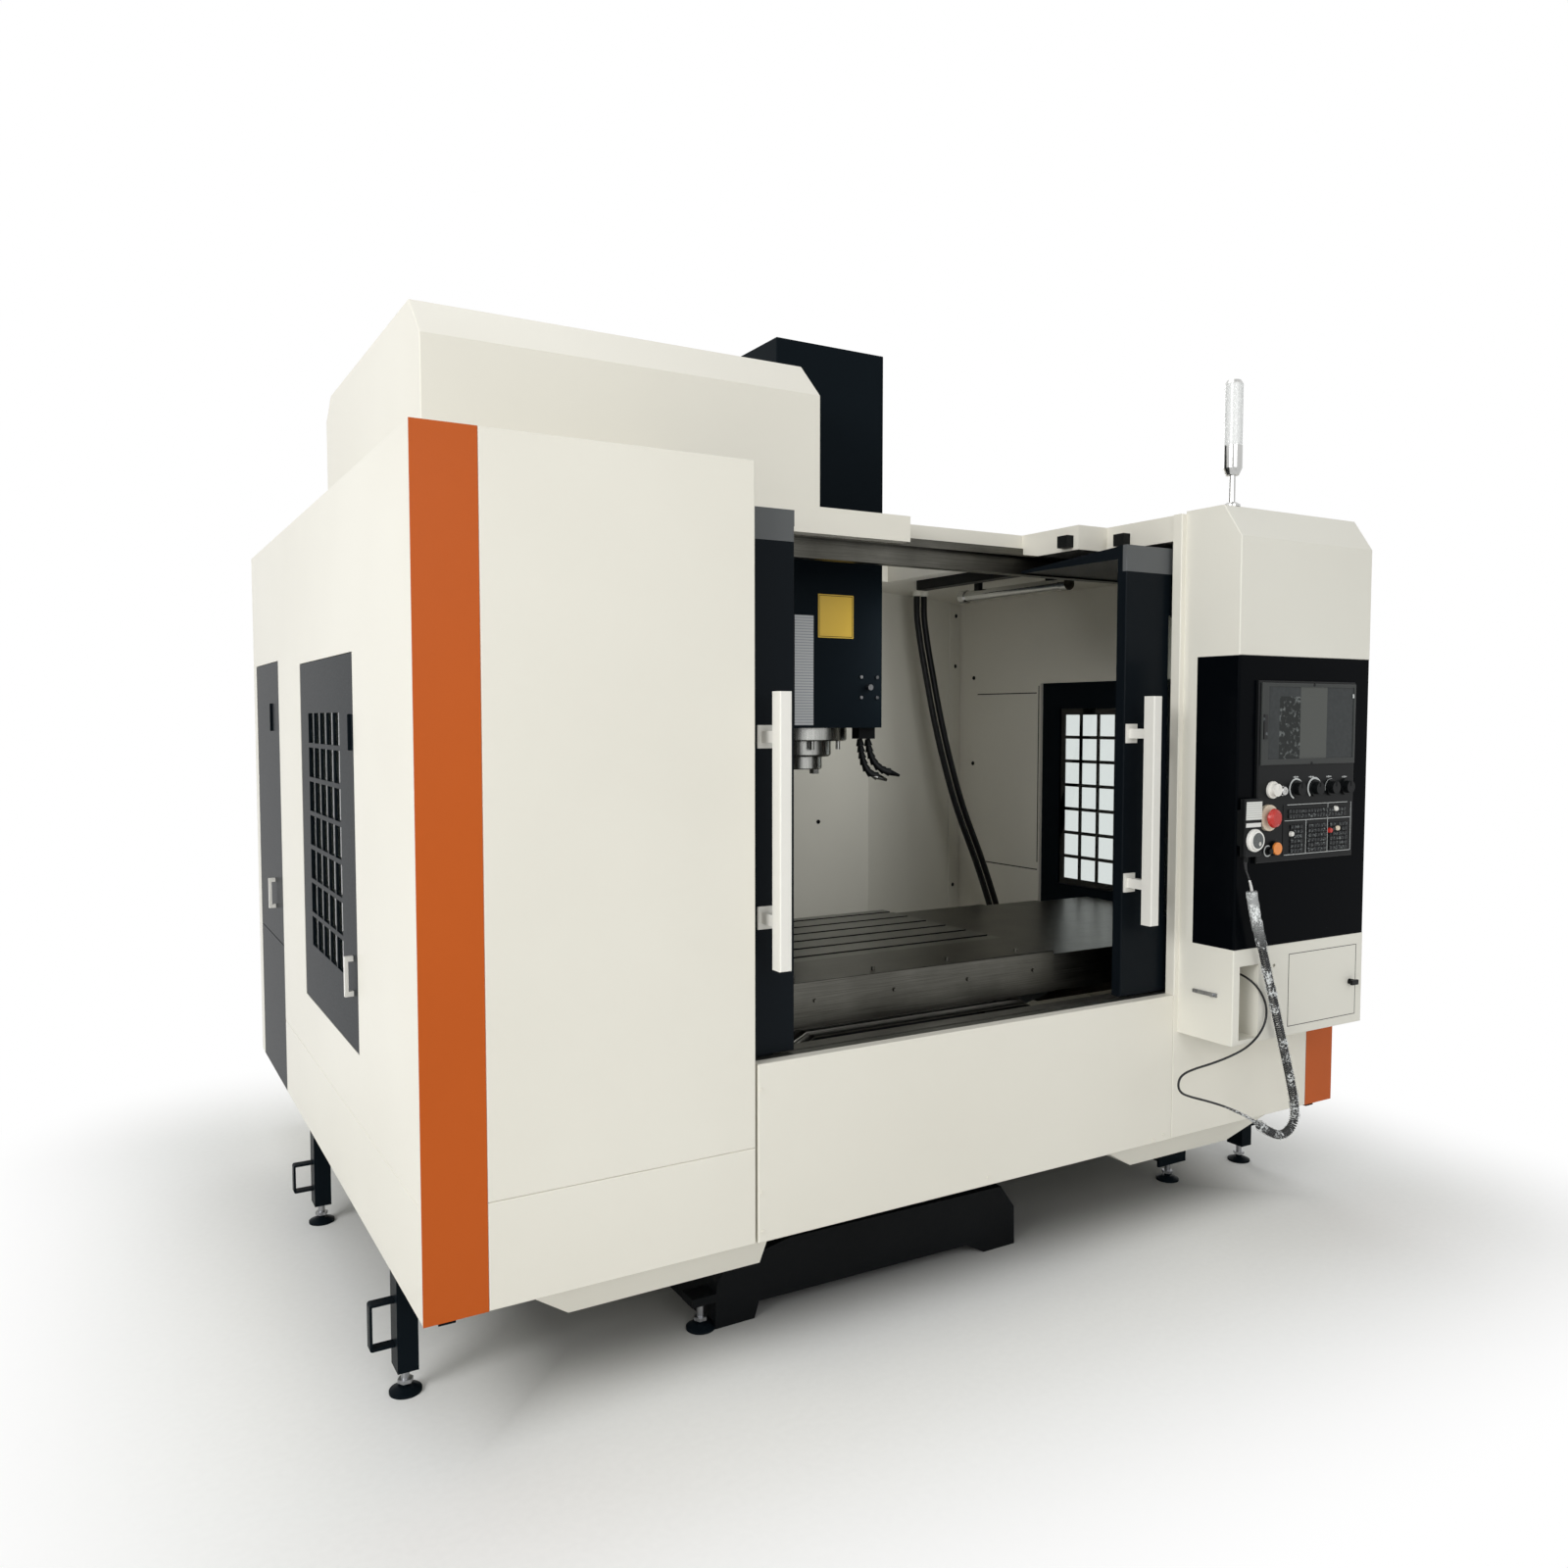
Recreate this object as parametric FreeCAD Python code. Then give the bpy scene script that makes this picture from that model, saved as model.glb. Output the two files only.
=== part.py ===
"""Vertical machining centre: bed, column, saddle, table, spindle head, tool magazine, enclosure, control.

Millimetres, +X right, +Y to the rear, +Z up. While modelling, x = 0 is the middle of the enclosure,
y = 0 is the front face of its sheet panels and z = 0 is the floor.
"""
import FreeCAD, Part
import math
import os

V = FreeCAD.Vector

# ---- Enclosure ---------------------------------------------------------------------------
HALF_WIDTH = 1386.0        # outer face of a side panel from the middle
DEPTH = 2289.0             # rear face of the cabinet behind the front face
SKIRT = 286.0              # lower edge of the sheet panels
ROOF = 2018.0              # upper edge of the enclosure
FASCIA = 70.0              # height of the roof's folded edge
PANEL = 30.0               # folded depth of a sheet panel
SEAM = 0.4                 # gap between neighbouring panels
BEND = 3.0                 # outside radius of a folded edge
SHEET = 4.0                # modelled thickness of single sheets
TOUCH = 0.3                # clearance of a sliding or swinging piece from its seat
STRIP_LEFT = 129.0         # width of the left corner strip
STRIP_RIGHT = 123.0        # width of the right corner strip
STRIP_COVER = 2.0          # thickness of a strip where it laps the side panel
OPENING_LEFT = -651.0      # left edge of the front opening
OPENING_RIGHT = 680.0      # right edge of the front opening
FRONT_SEAM = 505.0         # seam between the two left front panels
SIDE_SEAM = 515.0          # seam between the upper and the lower side panels
SIDE_END = 1710.0          # seam between the side panels and the cabinet
APRON_TOP = 692.0          # upper edge of the front apron
APRON_GAP = 6.0            # gap between the apron and the left front panel
SCREW_R = 4.0              # radius of the apron's screw heads
TRAY_DROP = 84.0           # depth of the drip trays below the panels
TRAY_RUN = 75.0            # how far a tray's front slopes to the rear
TRAY_REAR = 420.0          # rear end of the drip trays

# ---- Roof and magazine hood --------------------------------------------------------------
ROOF_INNER = ROOF - FASCIA
NOTCH_RIGHT = 688.0        # right side of the roof notch in front
NOTCH_STEP_X = 575.0       # right side of the deeper part of the notch
NOTCH_STEP_Y = 285.0       # where the notch steps inward
BEAM_LEFT_FRONT = 414.0    # front face of the left roof beam
BEAM_RIGHT_FRONT = 524.0   # front face of the right roof beam
BEAM_SPLIT = 71.0          # where the two beams meet
HATCH_X = (-222.0, 584.0)  # roof opening for the spindle head
HATCH_Y = (655.0, 1242.0)
HOOD_X = (-1260.0, -222.0)
HOOD_Y = (416.0, 1536.0)
HOOD_FRONT_SHOULDER = 2307.0
HOOD_REAR_SHOULDER = 2345.0
HOOD_TOP = 2405.0
HOOD_TOP_Y = (512.0, 1458.0)
HOOD_LEDGE = 40.0          # width of the roof ledge that carries the hood

# ---- Doors -------------------------------------------------------------------------------
DOOR_WIDTH = 700.0
DOOR_LEFT_EDGE = -524.0    # leading edge of the left door, opened
DOOR_RIGHT_EDGE = 520.0    # leading edge of the right door, opened
DOOR_Y = (46.0, 78.0)
DOOR_Z = (697.0, 1929.0)
WING_REAR = 465.0          # rear end of a door's roof wing
WING_DROP = 29.0           # how much lower the wing's rear end is
WING_THICK = 7.0
GLASS_LEAD = 165.0         # door frame's width at the leading edge
GLASS_TRAIL = 95.0         # door frame's width at the trailing edge
GLASS_Z = (905.0, 1745.0)
GLASS_THICK = 10.0
GLASS_REBATE = 12.0
SHOE = (20.0, 10.0)        # length ratio base and width of the door's bottom shoes
SILL_Y = (30.0, 110.0)
SILL_THICK = 16.0
GROOVE_DEPTH = 8.0
GROOVE_WIDTH = 11.0
HANDLE_BAR = (30.0, 35.0)  # width and depth of a door handle's bar
HANDLE_Z = (905.0, 1520.0)
HANDLE_Y = -50.0           # front face of the bars
HANDLE_LEFT = -617.0       # left side of the left bar
HANDLE_RIGHT = 530.0       # left side of the right bar
STANDOFF_Z = (1012.0, 1420.0)
STANDOFF = (20.0, 26.0)    # width and height of a handle's standoff

# ---- Side windows and cabinet door -------------------------------------------------------
WINDOW_Y = (568.0, 1300.0)
WINDOW_Z = (684.0, 1611.0)
WINDOW_THICK = 22.0
WINDOW_COLUMNS = 5
WINDOW_ROWS = 7
GRID_Y = (733.0, 1172.0)
GRID_Z = (842.0, 1475.0)
GRID_BAR = 12.0
CABINET_DOOR_Y = (1715.0, 2220.0)
CABINET_DOOR_Z = (290.0, 1637.0)
CABINET_PULL_Z = (848.0, 945.0)
LEAF_GAP = 2.0             # gap round a swinging door leaf
PULL = (12.0, 20.0)        # width and projection of a pull handle
WINDOW_PULL_Z = (810.0, 905.0)
WINDOW_LATCH_Z = (1387.0, 1471.0)
PIVOT_EDGE = 8.0           # half thickness of a swinging leaf, rounded about its pivots
PIVOT_PIN = 4.0            # radius of the pivot pins
PIVOT_FIT = 0.05           # radial clearance of the pivot pins
PIVOT_DEPTH = 10.0         # how far a pin reaches into the frame
WINDOW_STOP = 12.0         # overlap of the frame behind a leaf
GRID_RECESS = 10.0         # how far the grid is sunk from the leaf's inner face
PANE = 4.0                 # thickness of the window pane
CABINET_INNER = 760.0      # inner side wall of the electrical cabinet
DRIVE_COUNT = 4
DRIVE_PITCH = 100.0
DRIVE = (150.0, 72.0, 260.0)
DRIVE_Z = 980.0
Z_HATCH_HALF = 90.0        # half width of the roof hatch over the vertical motor
Z_HATCH_Y = (1470.0, 1720.0)
CAP_TOP = 2200.0
TRACK_GAP = 21.0           # upper track's web behind the wing's rear end
TRACK_LIP = 10.0           # how far the track's lip reaches under the wing
APRON_SCREWS = ((-636, 634), (-636, 398), (-633, 310), (19, 305), (649, 304), (607, 295))

# ---- Bed, column and axes ----------------------------------------------------------------
MIDDLE = -5.0              # middle plane of bed, column and spindle
BED_HALF = 480.0           # half width of the bed
BED_Y = (230.0, 2180.0)
BED_LEG_FRONT = 450.0      # front face of the bed below its shoulders
BED_SHOULDER_Z = (310.0, 400.0)
BED_TOP = 470.0            # seat of the Y rails
PEDESTAL_HALF = 380.0      # half width of the raised rail seats
BED_FLOOR_GAP = 60.0       # underside of the bed above the floor
FOOT_PLATE_Y = (200.0, 450.0)
RAIL = (45.0, 38.0)        # width and height of a guide rail
BLOCK = (86.0, 120.0)      # width and length of a guide block
BLOCK_RISE = 12.0          # guide block above the rail
BLOCK_FOOT = 8.0           # guide block above the rail's seat
RAIL_FIT = 0.3             # clearance between guide block and rail
Y_RAIL_OFFSET = 250.0
Y_RAIL_SPAN = (330.0, 1420.0)
SADDLE_Y = (515.0, 905.0)
SADDLE_HALF = 695.0
SADDLE_THICK = 130.0
X_RAIL_OFFSET = 140.0      # X rails from the saddle's middle
TABLE_X = (-595.0, 405.0)
TABLE_Y = (410.0, 1010.0)
TABLE_TOP = 815.0
TABLE_THICK = 115.0
SLOT_FIRST = 461.0         # first T-slot's middle
SLOT_PITCH = 100.0
SLOT_COUNT = 6
SLOT_WIDTH = 18.0
SLOT_HEAD = (30.0, 13.0)   # width and height of a T-slot's lower part
SLOT_DEPTH = 31.0
DECK_FRONT = 185.0         # front face of the table guard
DECK_DROP = 115.0          # height of the guard's front
SCREW_RADIUS = 20.0        # ball screws
SCREW_BORE_GAP = 1.0
SCREW_PITCH = 10.0         # lead of the ball screws
NUT_RADIUS = 36.0
MOTOR = (110.0, 200.0)     # square and length of an axis motor
BEARING_WALL = 40.0        # thickness of the ball screws' end bearing blocks

# ---- Telescopic way covers ---------------------------------------------------------------
COVER_STEP = SHEET + TOUCH # how far one cover section sits inside the next
X_COVER_LENGTH = 415.0
X_COVER_OUTER = (-1325.0, 1315.0)
X_COVER_TOP = 803.0
X_COVER_BOTTOM = 700.0
X_COVER_Y = (189.0, 996.0)
Y_COVER_LENGTH = 180.0
Y_COVER_RANKS = 4
Y_COVER_TOP = 676.0
Y_COVER_BOTTOM = 430.0
Y_COVER_HALF = 420.0
Y_FRONT_START = 230.0      # front end of the fixed front section
Y_REAR_END = 1489.0        # rear end of the fixed rear section
Z_COVER_LENGTH = 315.0
Z_COVER_HALF = 330.0
Z_FIXED_TOP = 1053.0       # upper end of the fixed Z cover
Z_COVER_FACE = 1466.0      # front face of the Z cover that hangs from the head

# ---- Column and spindle head -------------------------------------------------------------
COLUMN_HALF = 330.0
COLUMN_Y = (1560.0, 2080.0)
COLUMN_TOP = 1938.0
Z_RAIL_OFFSET = 230.0
Z_RAIL_SPAN = (760.0, 1930.0)
SPINDLE_Y = 870.0
HEAD_Z = (1437.0, 1700.0)
HEAD_HALF = 150.0
HEAD_FRONT = 742.0
HEAD_PLATE_HALF = 290.0
HEAD_PLATE = 52.0          # thickness of the head's rear plate
CARTRIDGE_FIT = 0.1        # radial gap between the head and the spindle cartridge
HEAD_COVER_X = (-190.0, 180.0)
HEAD_COVER_Y = (701.0, 1232.0)
HEAD_COVER_Z = (1433.0, 2541.0)
CARTRIDGE_RADIUS = 90.0
CARTRIDGE_FLANGE = (140.0, 1393.0)   # radius and lower face
CARTRIDGE_NOSE = (92.0, 1345.0)      # radius and lower face
CARTRIDGE_TOP = 1660.0
SPINDLE_BORE = 55.0
SPINDLE_FIT = 0.05         # running clearance of the spindle
SPINDLE_NOSE = (64.0, 1306.0)        # radius and lower face
SPINDLE_KEY = (24.0, 16.0) # width and height of a drive key
TAPER = (35.0, 22.0, 100.0)          # mouth radius, inner radius and depth
SPINDLE_MOTOR = (220.0, 420.0)       # square and height
NOZZLE_BALL = 13.0         # widest radius of a jointed coolant nozzle's links

# ---- Tool magazine -----------------------------------------------------------------------
DISC_CENTRE_Z = 1925.0
DISC_RADIUS = 345.0
DISC_X = (-680.0, -650.0)
POCKET_COUNT = 20
POCKET_RING = 315.0        # radius of the circle of tool pockets
POCKET_RADIUS = 39.0
POCKET_LENGTH = 100.0
HUB_RADIUS = 60.0
ARM_X = -285.0             # turning axis of the tool change arm
ARM_REACH = 280.0
ARM_Z = (1226.0, 1262.0)
ARM_WIDTH = 76.0
ARM_GRIP = 33.0            # radius of a gripper's mouth
ARM_SHAFT = 38.0
ARM_BOX = (170.0, 250.0, 380.0)      # width, depth and height of the arm's drive

# ---- Interior ----------------------------------------------------------------------------
BACK_WALL_Y = 1500.0
BACK_WALL_HALF = 681.0
BACK_CORNER_LEFT = 1690.0  # where the oblique rear panels meet the side walls
BACK_CORNER_RIGHT = 1790.0
FLOOR_PAN = 410.0          # underside of the coolant pan
LAMP_X = 845.0
LAMP_Y = (603.0, 1146.0)
LAMP_RADIUS = 19.0
LAMP_DROP = 50.0           # lamp's axis below the roof
LAMP_HOUSING_X = 672.0
LAMP_HOUSING_Y = (640.0, 1160.0)
SADDLE_BOTTOM = BED_TOP + RAIL[1] + BLOCK_RISE
SADDLE_TOP = SADDLE_BOTTOM + SADDLE_THICK
SADDLE_MID = sum(SADDLE_Y) / 2
Y_SCREW_SPAN = (290.0, 1460.0)
Y_SCREW_Z = 490.0
X_SCREW_SPAN = (MIDDLE - SADDLE_HALF, MIDDLE + SADDLE_HALF)
X_SCREW_Z = 632.0
X_TROUGH_HALF = 46.0
X_TROUGH_DEPTH = 62.0
Z_SCREW_SPAN = (745.0, COLUMN_TOP)
Z_SCREW_Y = 1555.0
SCREW_STEP = 6.0           # step down to a ball screw's journals
BEARING_HALF = 50.0
NUT_LENGTH = 90.0
NUT_FIT = 0.3
TROUGH_HALF = 60.0         # half width of the screw troughs in bed and column
TROUGH_DEPTH = 40.0
FOOT_OUTLINE = [(-445, 179), (-620, 145), (-646, 113), (-652, 0), (-544, 0), (-531, 40),
                (116, 32), (175, 0), (284, 0), (282, 106), (235, 171)]
FRONT_FOOT = (-678.0, 226.0)
FRONT_LUG = ((-712.0, -640.0), (200.0, 256.0), (66.0, 86.0))
FOOT_NECK = (-400.0, 200.0)  # x range of the foot's upper part under the shoulders
FOOT_TOP = 170.0
COLUMN_FLARE = 90.0        # how much the column widens towards the bed on each side
ARCH_HALF = 110.0
ARCH_HEIGHT = 180.0
TABLE_BLOCKS = 200.0       # X guide blocks from the table's middle
TABLE_RIM = 26.0           # width of the step along the table's lower edges
CARRIER_SPAN = (560.0, 860.0)
CARRIER_WIDTH = 40.0
CARRIER_Z = (560.0, 640.0)
Y_COVER_SLOPE = 30.0       # height of the sloped shoulders of the Y covers
DECK_STUDS = (-420.0, -180.0, 60.0, 300.0)
DECK_STUD_Y = 225.0
FRONT_STUDS = (-380.0, -140.0, 100.0, 330.0)
STUD = (5.0, 9.0)
WALL_CLEAR = 10.0          # clearance of what passes through the rear wall
FRAME_X = (-760.0, -740.0) # upright plate of the magazine frame
FRAME_Z = (1740.0, 1930.0)
ARM_BEAM_X = (-395.0, -345.0)
ARM_BEAM_Z = (1560.0, 1700.0)
HOSE_COUNT = 2
GLAND_WALL = 6.0
LAMP_CAP = 30.0
HEAD_LABEL = 1.5           # thickness of the plates on the head cover
WARNING_PLATE = ((-50.0, 74.0), (1698.0, 1825.0))
STRIPED_PLATE = ((-130.0, -66.0), (1441.0, 1761.0))
HEAD_SCREW_X = (103.0, 161.0)
HEAD_SCREW_Z = (1524.0, 1585.0)
AIR_OUTLET = (128.0, 1554.0)
JET_COUNT = 6
JET_START = 15.0
JET = (7.0, 26.0)          # radius and length of the flange's coolant jets
NOZZLE_BASE = (148.0, 752.0)
NOZZLE_LINK = 19.0
NOZZLE_TURNS = ((2, 2, 3, 6, 12, 20, 24), (4, 4, 8, 12, 16, 16, 12))
HUB_REACH = 24.0           # disc's hub towards the frame
DISC_HOLES = 6
DISC_HOLE = 50.0
DISC_HOLE_RING = 175.0
AXLE = 30.0
AXLE_FIT = 0.05
AXLE_REACH = 160.0
FRAME_HALF = 70.0
FRAME_SEAT = 90.0          # how far the frame lies along the column's side
ARM_BOX_LOW = 1310.0
ARM_COLLAR = (60.0, 20.0)
ARM_SOCKET = 60.0          # how deep the arm's shaft enters its drive
BED_FEET = ((-420.0, 1250.0), (410.0, 1250.0), (-420.0, 2080.0), (410.0, 2080.0))

# ---- Control -----------------------------------------------------------------------------
HOUSING_X = (697.0, 1251.0)
HOUSING_PLATE = 46.0       # thickness of the back part
HOUSING_FRONT = -183.0
HOUSING_Z = (587.0, 2025.0)
CASE_Z = (846.0, 1627.0)
HOOD_CHAMFER = (58.0, 88.0)  # depth and height of the housing's upper chamfer
PLATE_X = (766.0, 1176.0)
PLATE_Z = (1074.0, 1562.0)
PLATE_THICK = 10.0
SCREEN_X = (774.0, 1170.0)
SCREEN_Z = (1336.0, 1556.0)
SCREEN_PROUD = 6.0
DISPLAY_X = (798.0, 1160.0)
DISPLAY_Z = (1352.0, 1546.0)
DISPLAY_SUNK = 2.0
SELECTOR_Z = 1270.0
SELECTOR_X = (824.0, 925.0, 1003.0, 1073.0, 1137.0)
SELECTOR_RADIUS = (23.0, 17.0)
SELECTOR_HEIGHT = 20.0
SELECTOR_SHAFT = 4.0
JOINTED_SELECTORS = 3
KEY_Z = (1088.0, 1228.0)
KEY_X = (872.0, 1166.0)
KEY_SIZE = 11.0
KEY_PITCH = 13.0
KEY_PROUD = 2.0
ESTOP = (806.0, 1196.0)
ESTOP_COLLAR = (35.0, 10.0)
ESTOP_HEAD = (26.0, 16.0)
ESTOP_STEM = (12.0, 8.0)
START = (838.0, 1112.0)
START_RADIUS = 17.0
START_COLLAR = (20.0, 8.0)
START_PROUD = 10.0
BUTTON_FIT = 0.3
PENDANT_X = (700.0, 768.0)
PENDANT_Z = (1096.0, 1250.0)
PENDANT_DEPTH = 16.0
DIAL = (30.0, 14.0)        # radius and height of the hand wheel
DIAL_Z = 1140.0
LABEL_Z = (1194.0, 1242.0)   # blank plate on the hand unit
LABEL_PROUD = 1.0
BASE_DOOR_X = (925.0, 1220.0)
BASE_DOOR_Z = (614.0, 813.0)
BASE_DOOR_THICK = 14.0
POCKET_X = (723.0, 800.0)
POCKET_Z = (600.0, 800.0)
POCKET_REAR = -63.0
MAST = (750.0, -105.0)
MAST_POLE = 8.5
MAST_BASE = (22.0, 12.0)
LENS_Z = (2186.0, 2358.0)
LENS_RADIUS = 24.0
LENS_WALL = 3.0
MAST_COLLAR_Z = (2109.0, 2127.0)

# ---- Feet and cords ----------------------------------------------------------------------
LEG_SECTION = (45.0, 60.0)
LEG_X = 1330.0             # inner face of a support leg
LEG_Y = (278.0, 1306.0)
LEG_FOOT = (35.0, 14.0)
LEG_ROD = 9.0
LEG_BOTTOM = 56.0          # lower end of a leg's tube
BRACKET_REACH = 1428.0     # outer side of the legs' C brackets
BRACKET_BAR = (6.0, 26.0)  # thickness and width of the brackets' bar
BRACKET_Z = (110.0, 213.0)
BED_FOOT = (52.0, 22.0)
COIL_RADIUS = 14.5
CORD_RADIUS = 3.0
HOSE_RADIUS = 12.0
HOSE_PITCH = 34.0
HOSE_Y = 1455.0
ESTOP_TRAVEL_ROOM = ESTOP_COLLAR[1] + ESTOP_STEM[1]
DIAL_X = 735.0
DIAL_SHAFT = 5.0
STRIP_Z = (1175.0, 1186.0)
CARD_COVER_Z = (1406.0, 1471.0)
KEY_GROUPS = (((893, 1142), (1190, 1222)), ((902, 962), (1096, 1176)), ((976, 1054), (1096, 1176)),
              ((1070, 1158), (1096, 1176)))
EYE = (863.0, 789.0)       # small round hole of the base box
HOUSING_LATCH_Y = (-134.0, -54.0)
HOUSING_LATCH_Z = (711.0, 721.0)
BASE_PIN = 2.5
BASE_KNOB = (1194.0, 709.0)
CABINET_SEAM = 750.0
CABINET_PULL_Y = 1880.0
CABINET_LATCH_Z = (1421.0, 1509.0)
CORD_EXIT = (712.0, -201.0, 1084.0)

PLATE_FACE = HOUSING_FRONT - PLATE_THICK
FRONT_MOST = PLATE_FACE - ESTOP_COLLAR[1] - ESTOP_STEM[1] - ESTOP_HEAD[1]
ORIGIN_Y = (FRONT_MOST + DEPTH) / 2
INNER = HALF_WIDTH - PANEL


# ---- Shape helpers -----------------------------------------------------------------------
def block(x, y, z):
    """Rectangular block between the pairs x, y and z."""
    return Part.makeBox(x[1] - x[0], y[1] - y[0], z[1] - z[0], V(x[0], y[0], z[0]))


def rod(centre, radius, length, axis):
    """Cylinder from centre along axis ("x", "y" or "z"); a negative length runs backwards."""
    way = {"x": V(1, 0, 0), "y": V(0, 1, 0), "z": V(0, 0, 1)}[axis]
    if length < 0:
        way = way * -1
    return Part.makeCylinder(radius, abs(length), V(*centre), way)


def prism(points, axis, span):
    """Outline pushed along axis; its points are (y, z), (x, z) or (x, y) for axis x, y or z."""
    place = {
        "x": lambda p: V(span[0], p[0], p[1]),
        "y": lambda p: V(p[0], span[0], p[1]),
        "z": lambda p: V(p[0], p[1], span[0]),
    }[axis]
    way = {"x": V(1, 0, 0), "y": V(0, 1, 0), "z": V(0, 0, 1)}[axis]
    face = Part.Face(Part.makePolygon([place(p) for p in points + points[:1]]))
    return face.extrude(way * (span[1] - span[0]))


def turned(points, centre):
    """Solid turned about the vertical line through centre (x, y); points are (radius, z)."""
    ring = [V(centre[0] + r, centre[1], z) for r, z in points]
    face = Part.Face(Part.makePolygon(ring + ring[:1]))
    return face.revolve(V(centre[0], centre[1], 0), V(0, 0, 1), 360)


def tube(centre, outer, inner, length, axis):
    """Cylinder with a bore right through."""
    return rod(centre, outer, length, axis).cut(rod(centre, inner, length, axis))


def joined(first, *others):
    """One solid from pieces that touch or overlap."""
    return first.fuse(list(others)).removeSplitter()


def pieces(*shapes):
    """Separate solids kept together in one node."""
    return Part.makeCompound(list(shapes))


def mirrored(shape):
    """Mirror image on the other side of x = 0."""
    return shape.mirror(V(0, 0, 0), V(1, 0, 0))


def softened(shape, radius, wanted):
    """Shape with a fillet on the edges whose middle point satisfies wanted."""
    edges = [e for e in shape.Edges if wanted(e.valueAt((e.FirstParameter + e.LastParameter) / 2))]
    return shape.makeFillet(radius, edges) if edges else shape


def near(a, b):
    """Whether two lengths agree."""
    return abs(a - b) < 0.01


def front_panel(x, z, front=0.0):
    """Folded panel facing the front, with bent edges round its face."""
    return softened(block(x, (front, front + PANEL), z), BEND, lambda m: near(m.y, front))


def side_panel(y, z, edges="bt"):
    """Folded panel of the left side; the wanted long edges of its face are bent."""
    shape = block((-HALF_WIDTH, -INNER), y, z)
    ends = [h for k, h in zip("bt", z) if k in edges]
    return softened(shape, BEND, lambda m: near(m.x, -HALF_WIDTH) and any(near(m.z, h) for h in ends))


# ---- Enclosure sheet metal ---------------------------------------------------------------
def corner_strips():
    """Coloured strips on the two front corners; each laps the front edge of its side panel."""
    def strip(width):
        lap = block((-HALF_WIDTH, -HALF_WIDTH + width), (0, STRIP_COVER), (SKIRT, ROOF))
        body = block((-INNER + SEAM, -HALF_WIDTH + width), (0, PANEL), (SKIRT, ROOF))
        return joined(lap, body)
    return pieces(strip(STRIP_LEFT), mirrored(strip(STRIP_RIGHT)))


def window_opening():
    """Stepped opening of the left side panel, with the bores of the door's two pivots."""
    half = PIVOT_EDGE
    outer = block((-HALF_WIDTH - 1, -HALF_WIDTH + 2 * half + TOUCH),
                  (WINDOW_Y[0] - LEAF_GAP, WINDOW_Y[1] + LEAF_GAP),
                  (WINDOW_Z[0] - LEAF_GAP, WINDOW_Z[1] + LEAF_GAP))
    inner = block((-HALF_WIDTH, -INNER + 1),
                  (WINDOW_Y[0] + WINDOW_STOP, WINDOW_Y[1] - WINDOW_STOP),
                  (WINDOW_Z[0] + WINDOW_STOP, WINDOW_Z[1] - WINDOW_STOP))
    centre = (-HALF_WIDTH + half, WINDOW_Y[1] - half)
    bore = pivot_pins(centre, WINDOW_Z, PIVOT_PIN + PIVOT_FIT, PIVOT_DEPTH + PIVOT_FIT)
    return joined(outer, inner, bore)


def pivot_pins(centre, z, radius, depth):
    """Upright pin line through a leaf's two ends, reaching depth beyond both of its edges."""
    low = z[0] - LEAF_GAP - depth
    high = z[1] + LEAF_GAP + depth
    return rod((centre[0], centre[1], low), radius, high - low, "z")


def outer_panels():
    """Front panels beside the opening and the panels of both sides."""
    left_x = (-HALF_WIDTH + STRIP_LEFT + SEAM, OPENING_LEFT)
    right_x = (OPENING_RIGHT, HALF_WIDTH - STRIP_RIGHT - SEAM)
    side_y = (STRIP_COVER + SEAM, SIDE_END)
    upper = side_panel(side_y, (SIDE_SEAM, ROOF)).cut(window_opening())
    lower = side_panel(side_y, (SKIRT, SIDE_SEAM - SEAM))
    return pieces(front_panel(left_x, (SKIRT, FRONT_SEAM - SEAM)),
                  front_panel(left_x, (FRONT_SEAM, ROOF)),
                  front_panel(right_x, (SKIRT, ROOF)),
                  upper, lower, mirrored(upper), mirrored(lower))


def drip_tray(top, bottom):
    """Sloped pan under the front panels; top and bottom are its x ranges."""
    low = SKIRT - TRAY_DROP
    rim = Part.makePolygon([V(top[0], PANEL, SKIRT), V(top[1], PANEL, SKIRT),
                            V(top[1], TRAY_REAR, SKIRT), V(top[0], TRAY_REAR, SKIRT),
                            V(top[0], PANEL, SKIRT)])
    base = Part.makePolygon([V(bottom[0], TRAY_RUN, low), V(bottom[1], TRAY_RUN, low),
                             V(bottom[1], TRAY_REAR, low), V(bottom[0], TRAY_REAR, low),
                             V(bottom[0], TRAY_RUN, low)])
    return Part.makeLoft([base, rim], True, True)


def front_apron():
    """Front panel below the doors with its screws, and the two drip trays."""
    x = (OPENING_LEFT + APRON_GAP, OPENING_RIGHT - SEAM)
    apron = front_panel(x, (SKIRT - 1, APRON_TOP))
    heads = [rod((sx, SEAM * 5, sz), SCREW_R, -SEAM * 10, "y")
             for sx, sz in APRON_SCREWS]
    apron = joined(apron, *heads)
    left = drip_tray((-1174, -600), (-1065, -600))
    right = drip_tray((445, 1171), (600, 1002))
    return pieces(apron, left, right)


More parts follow.
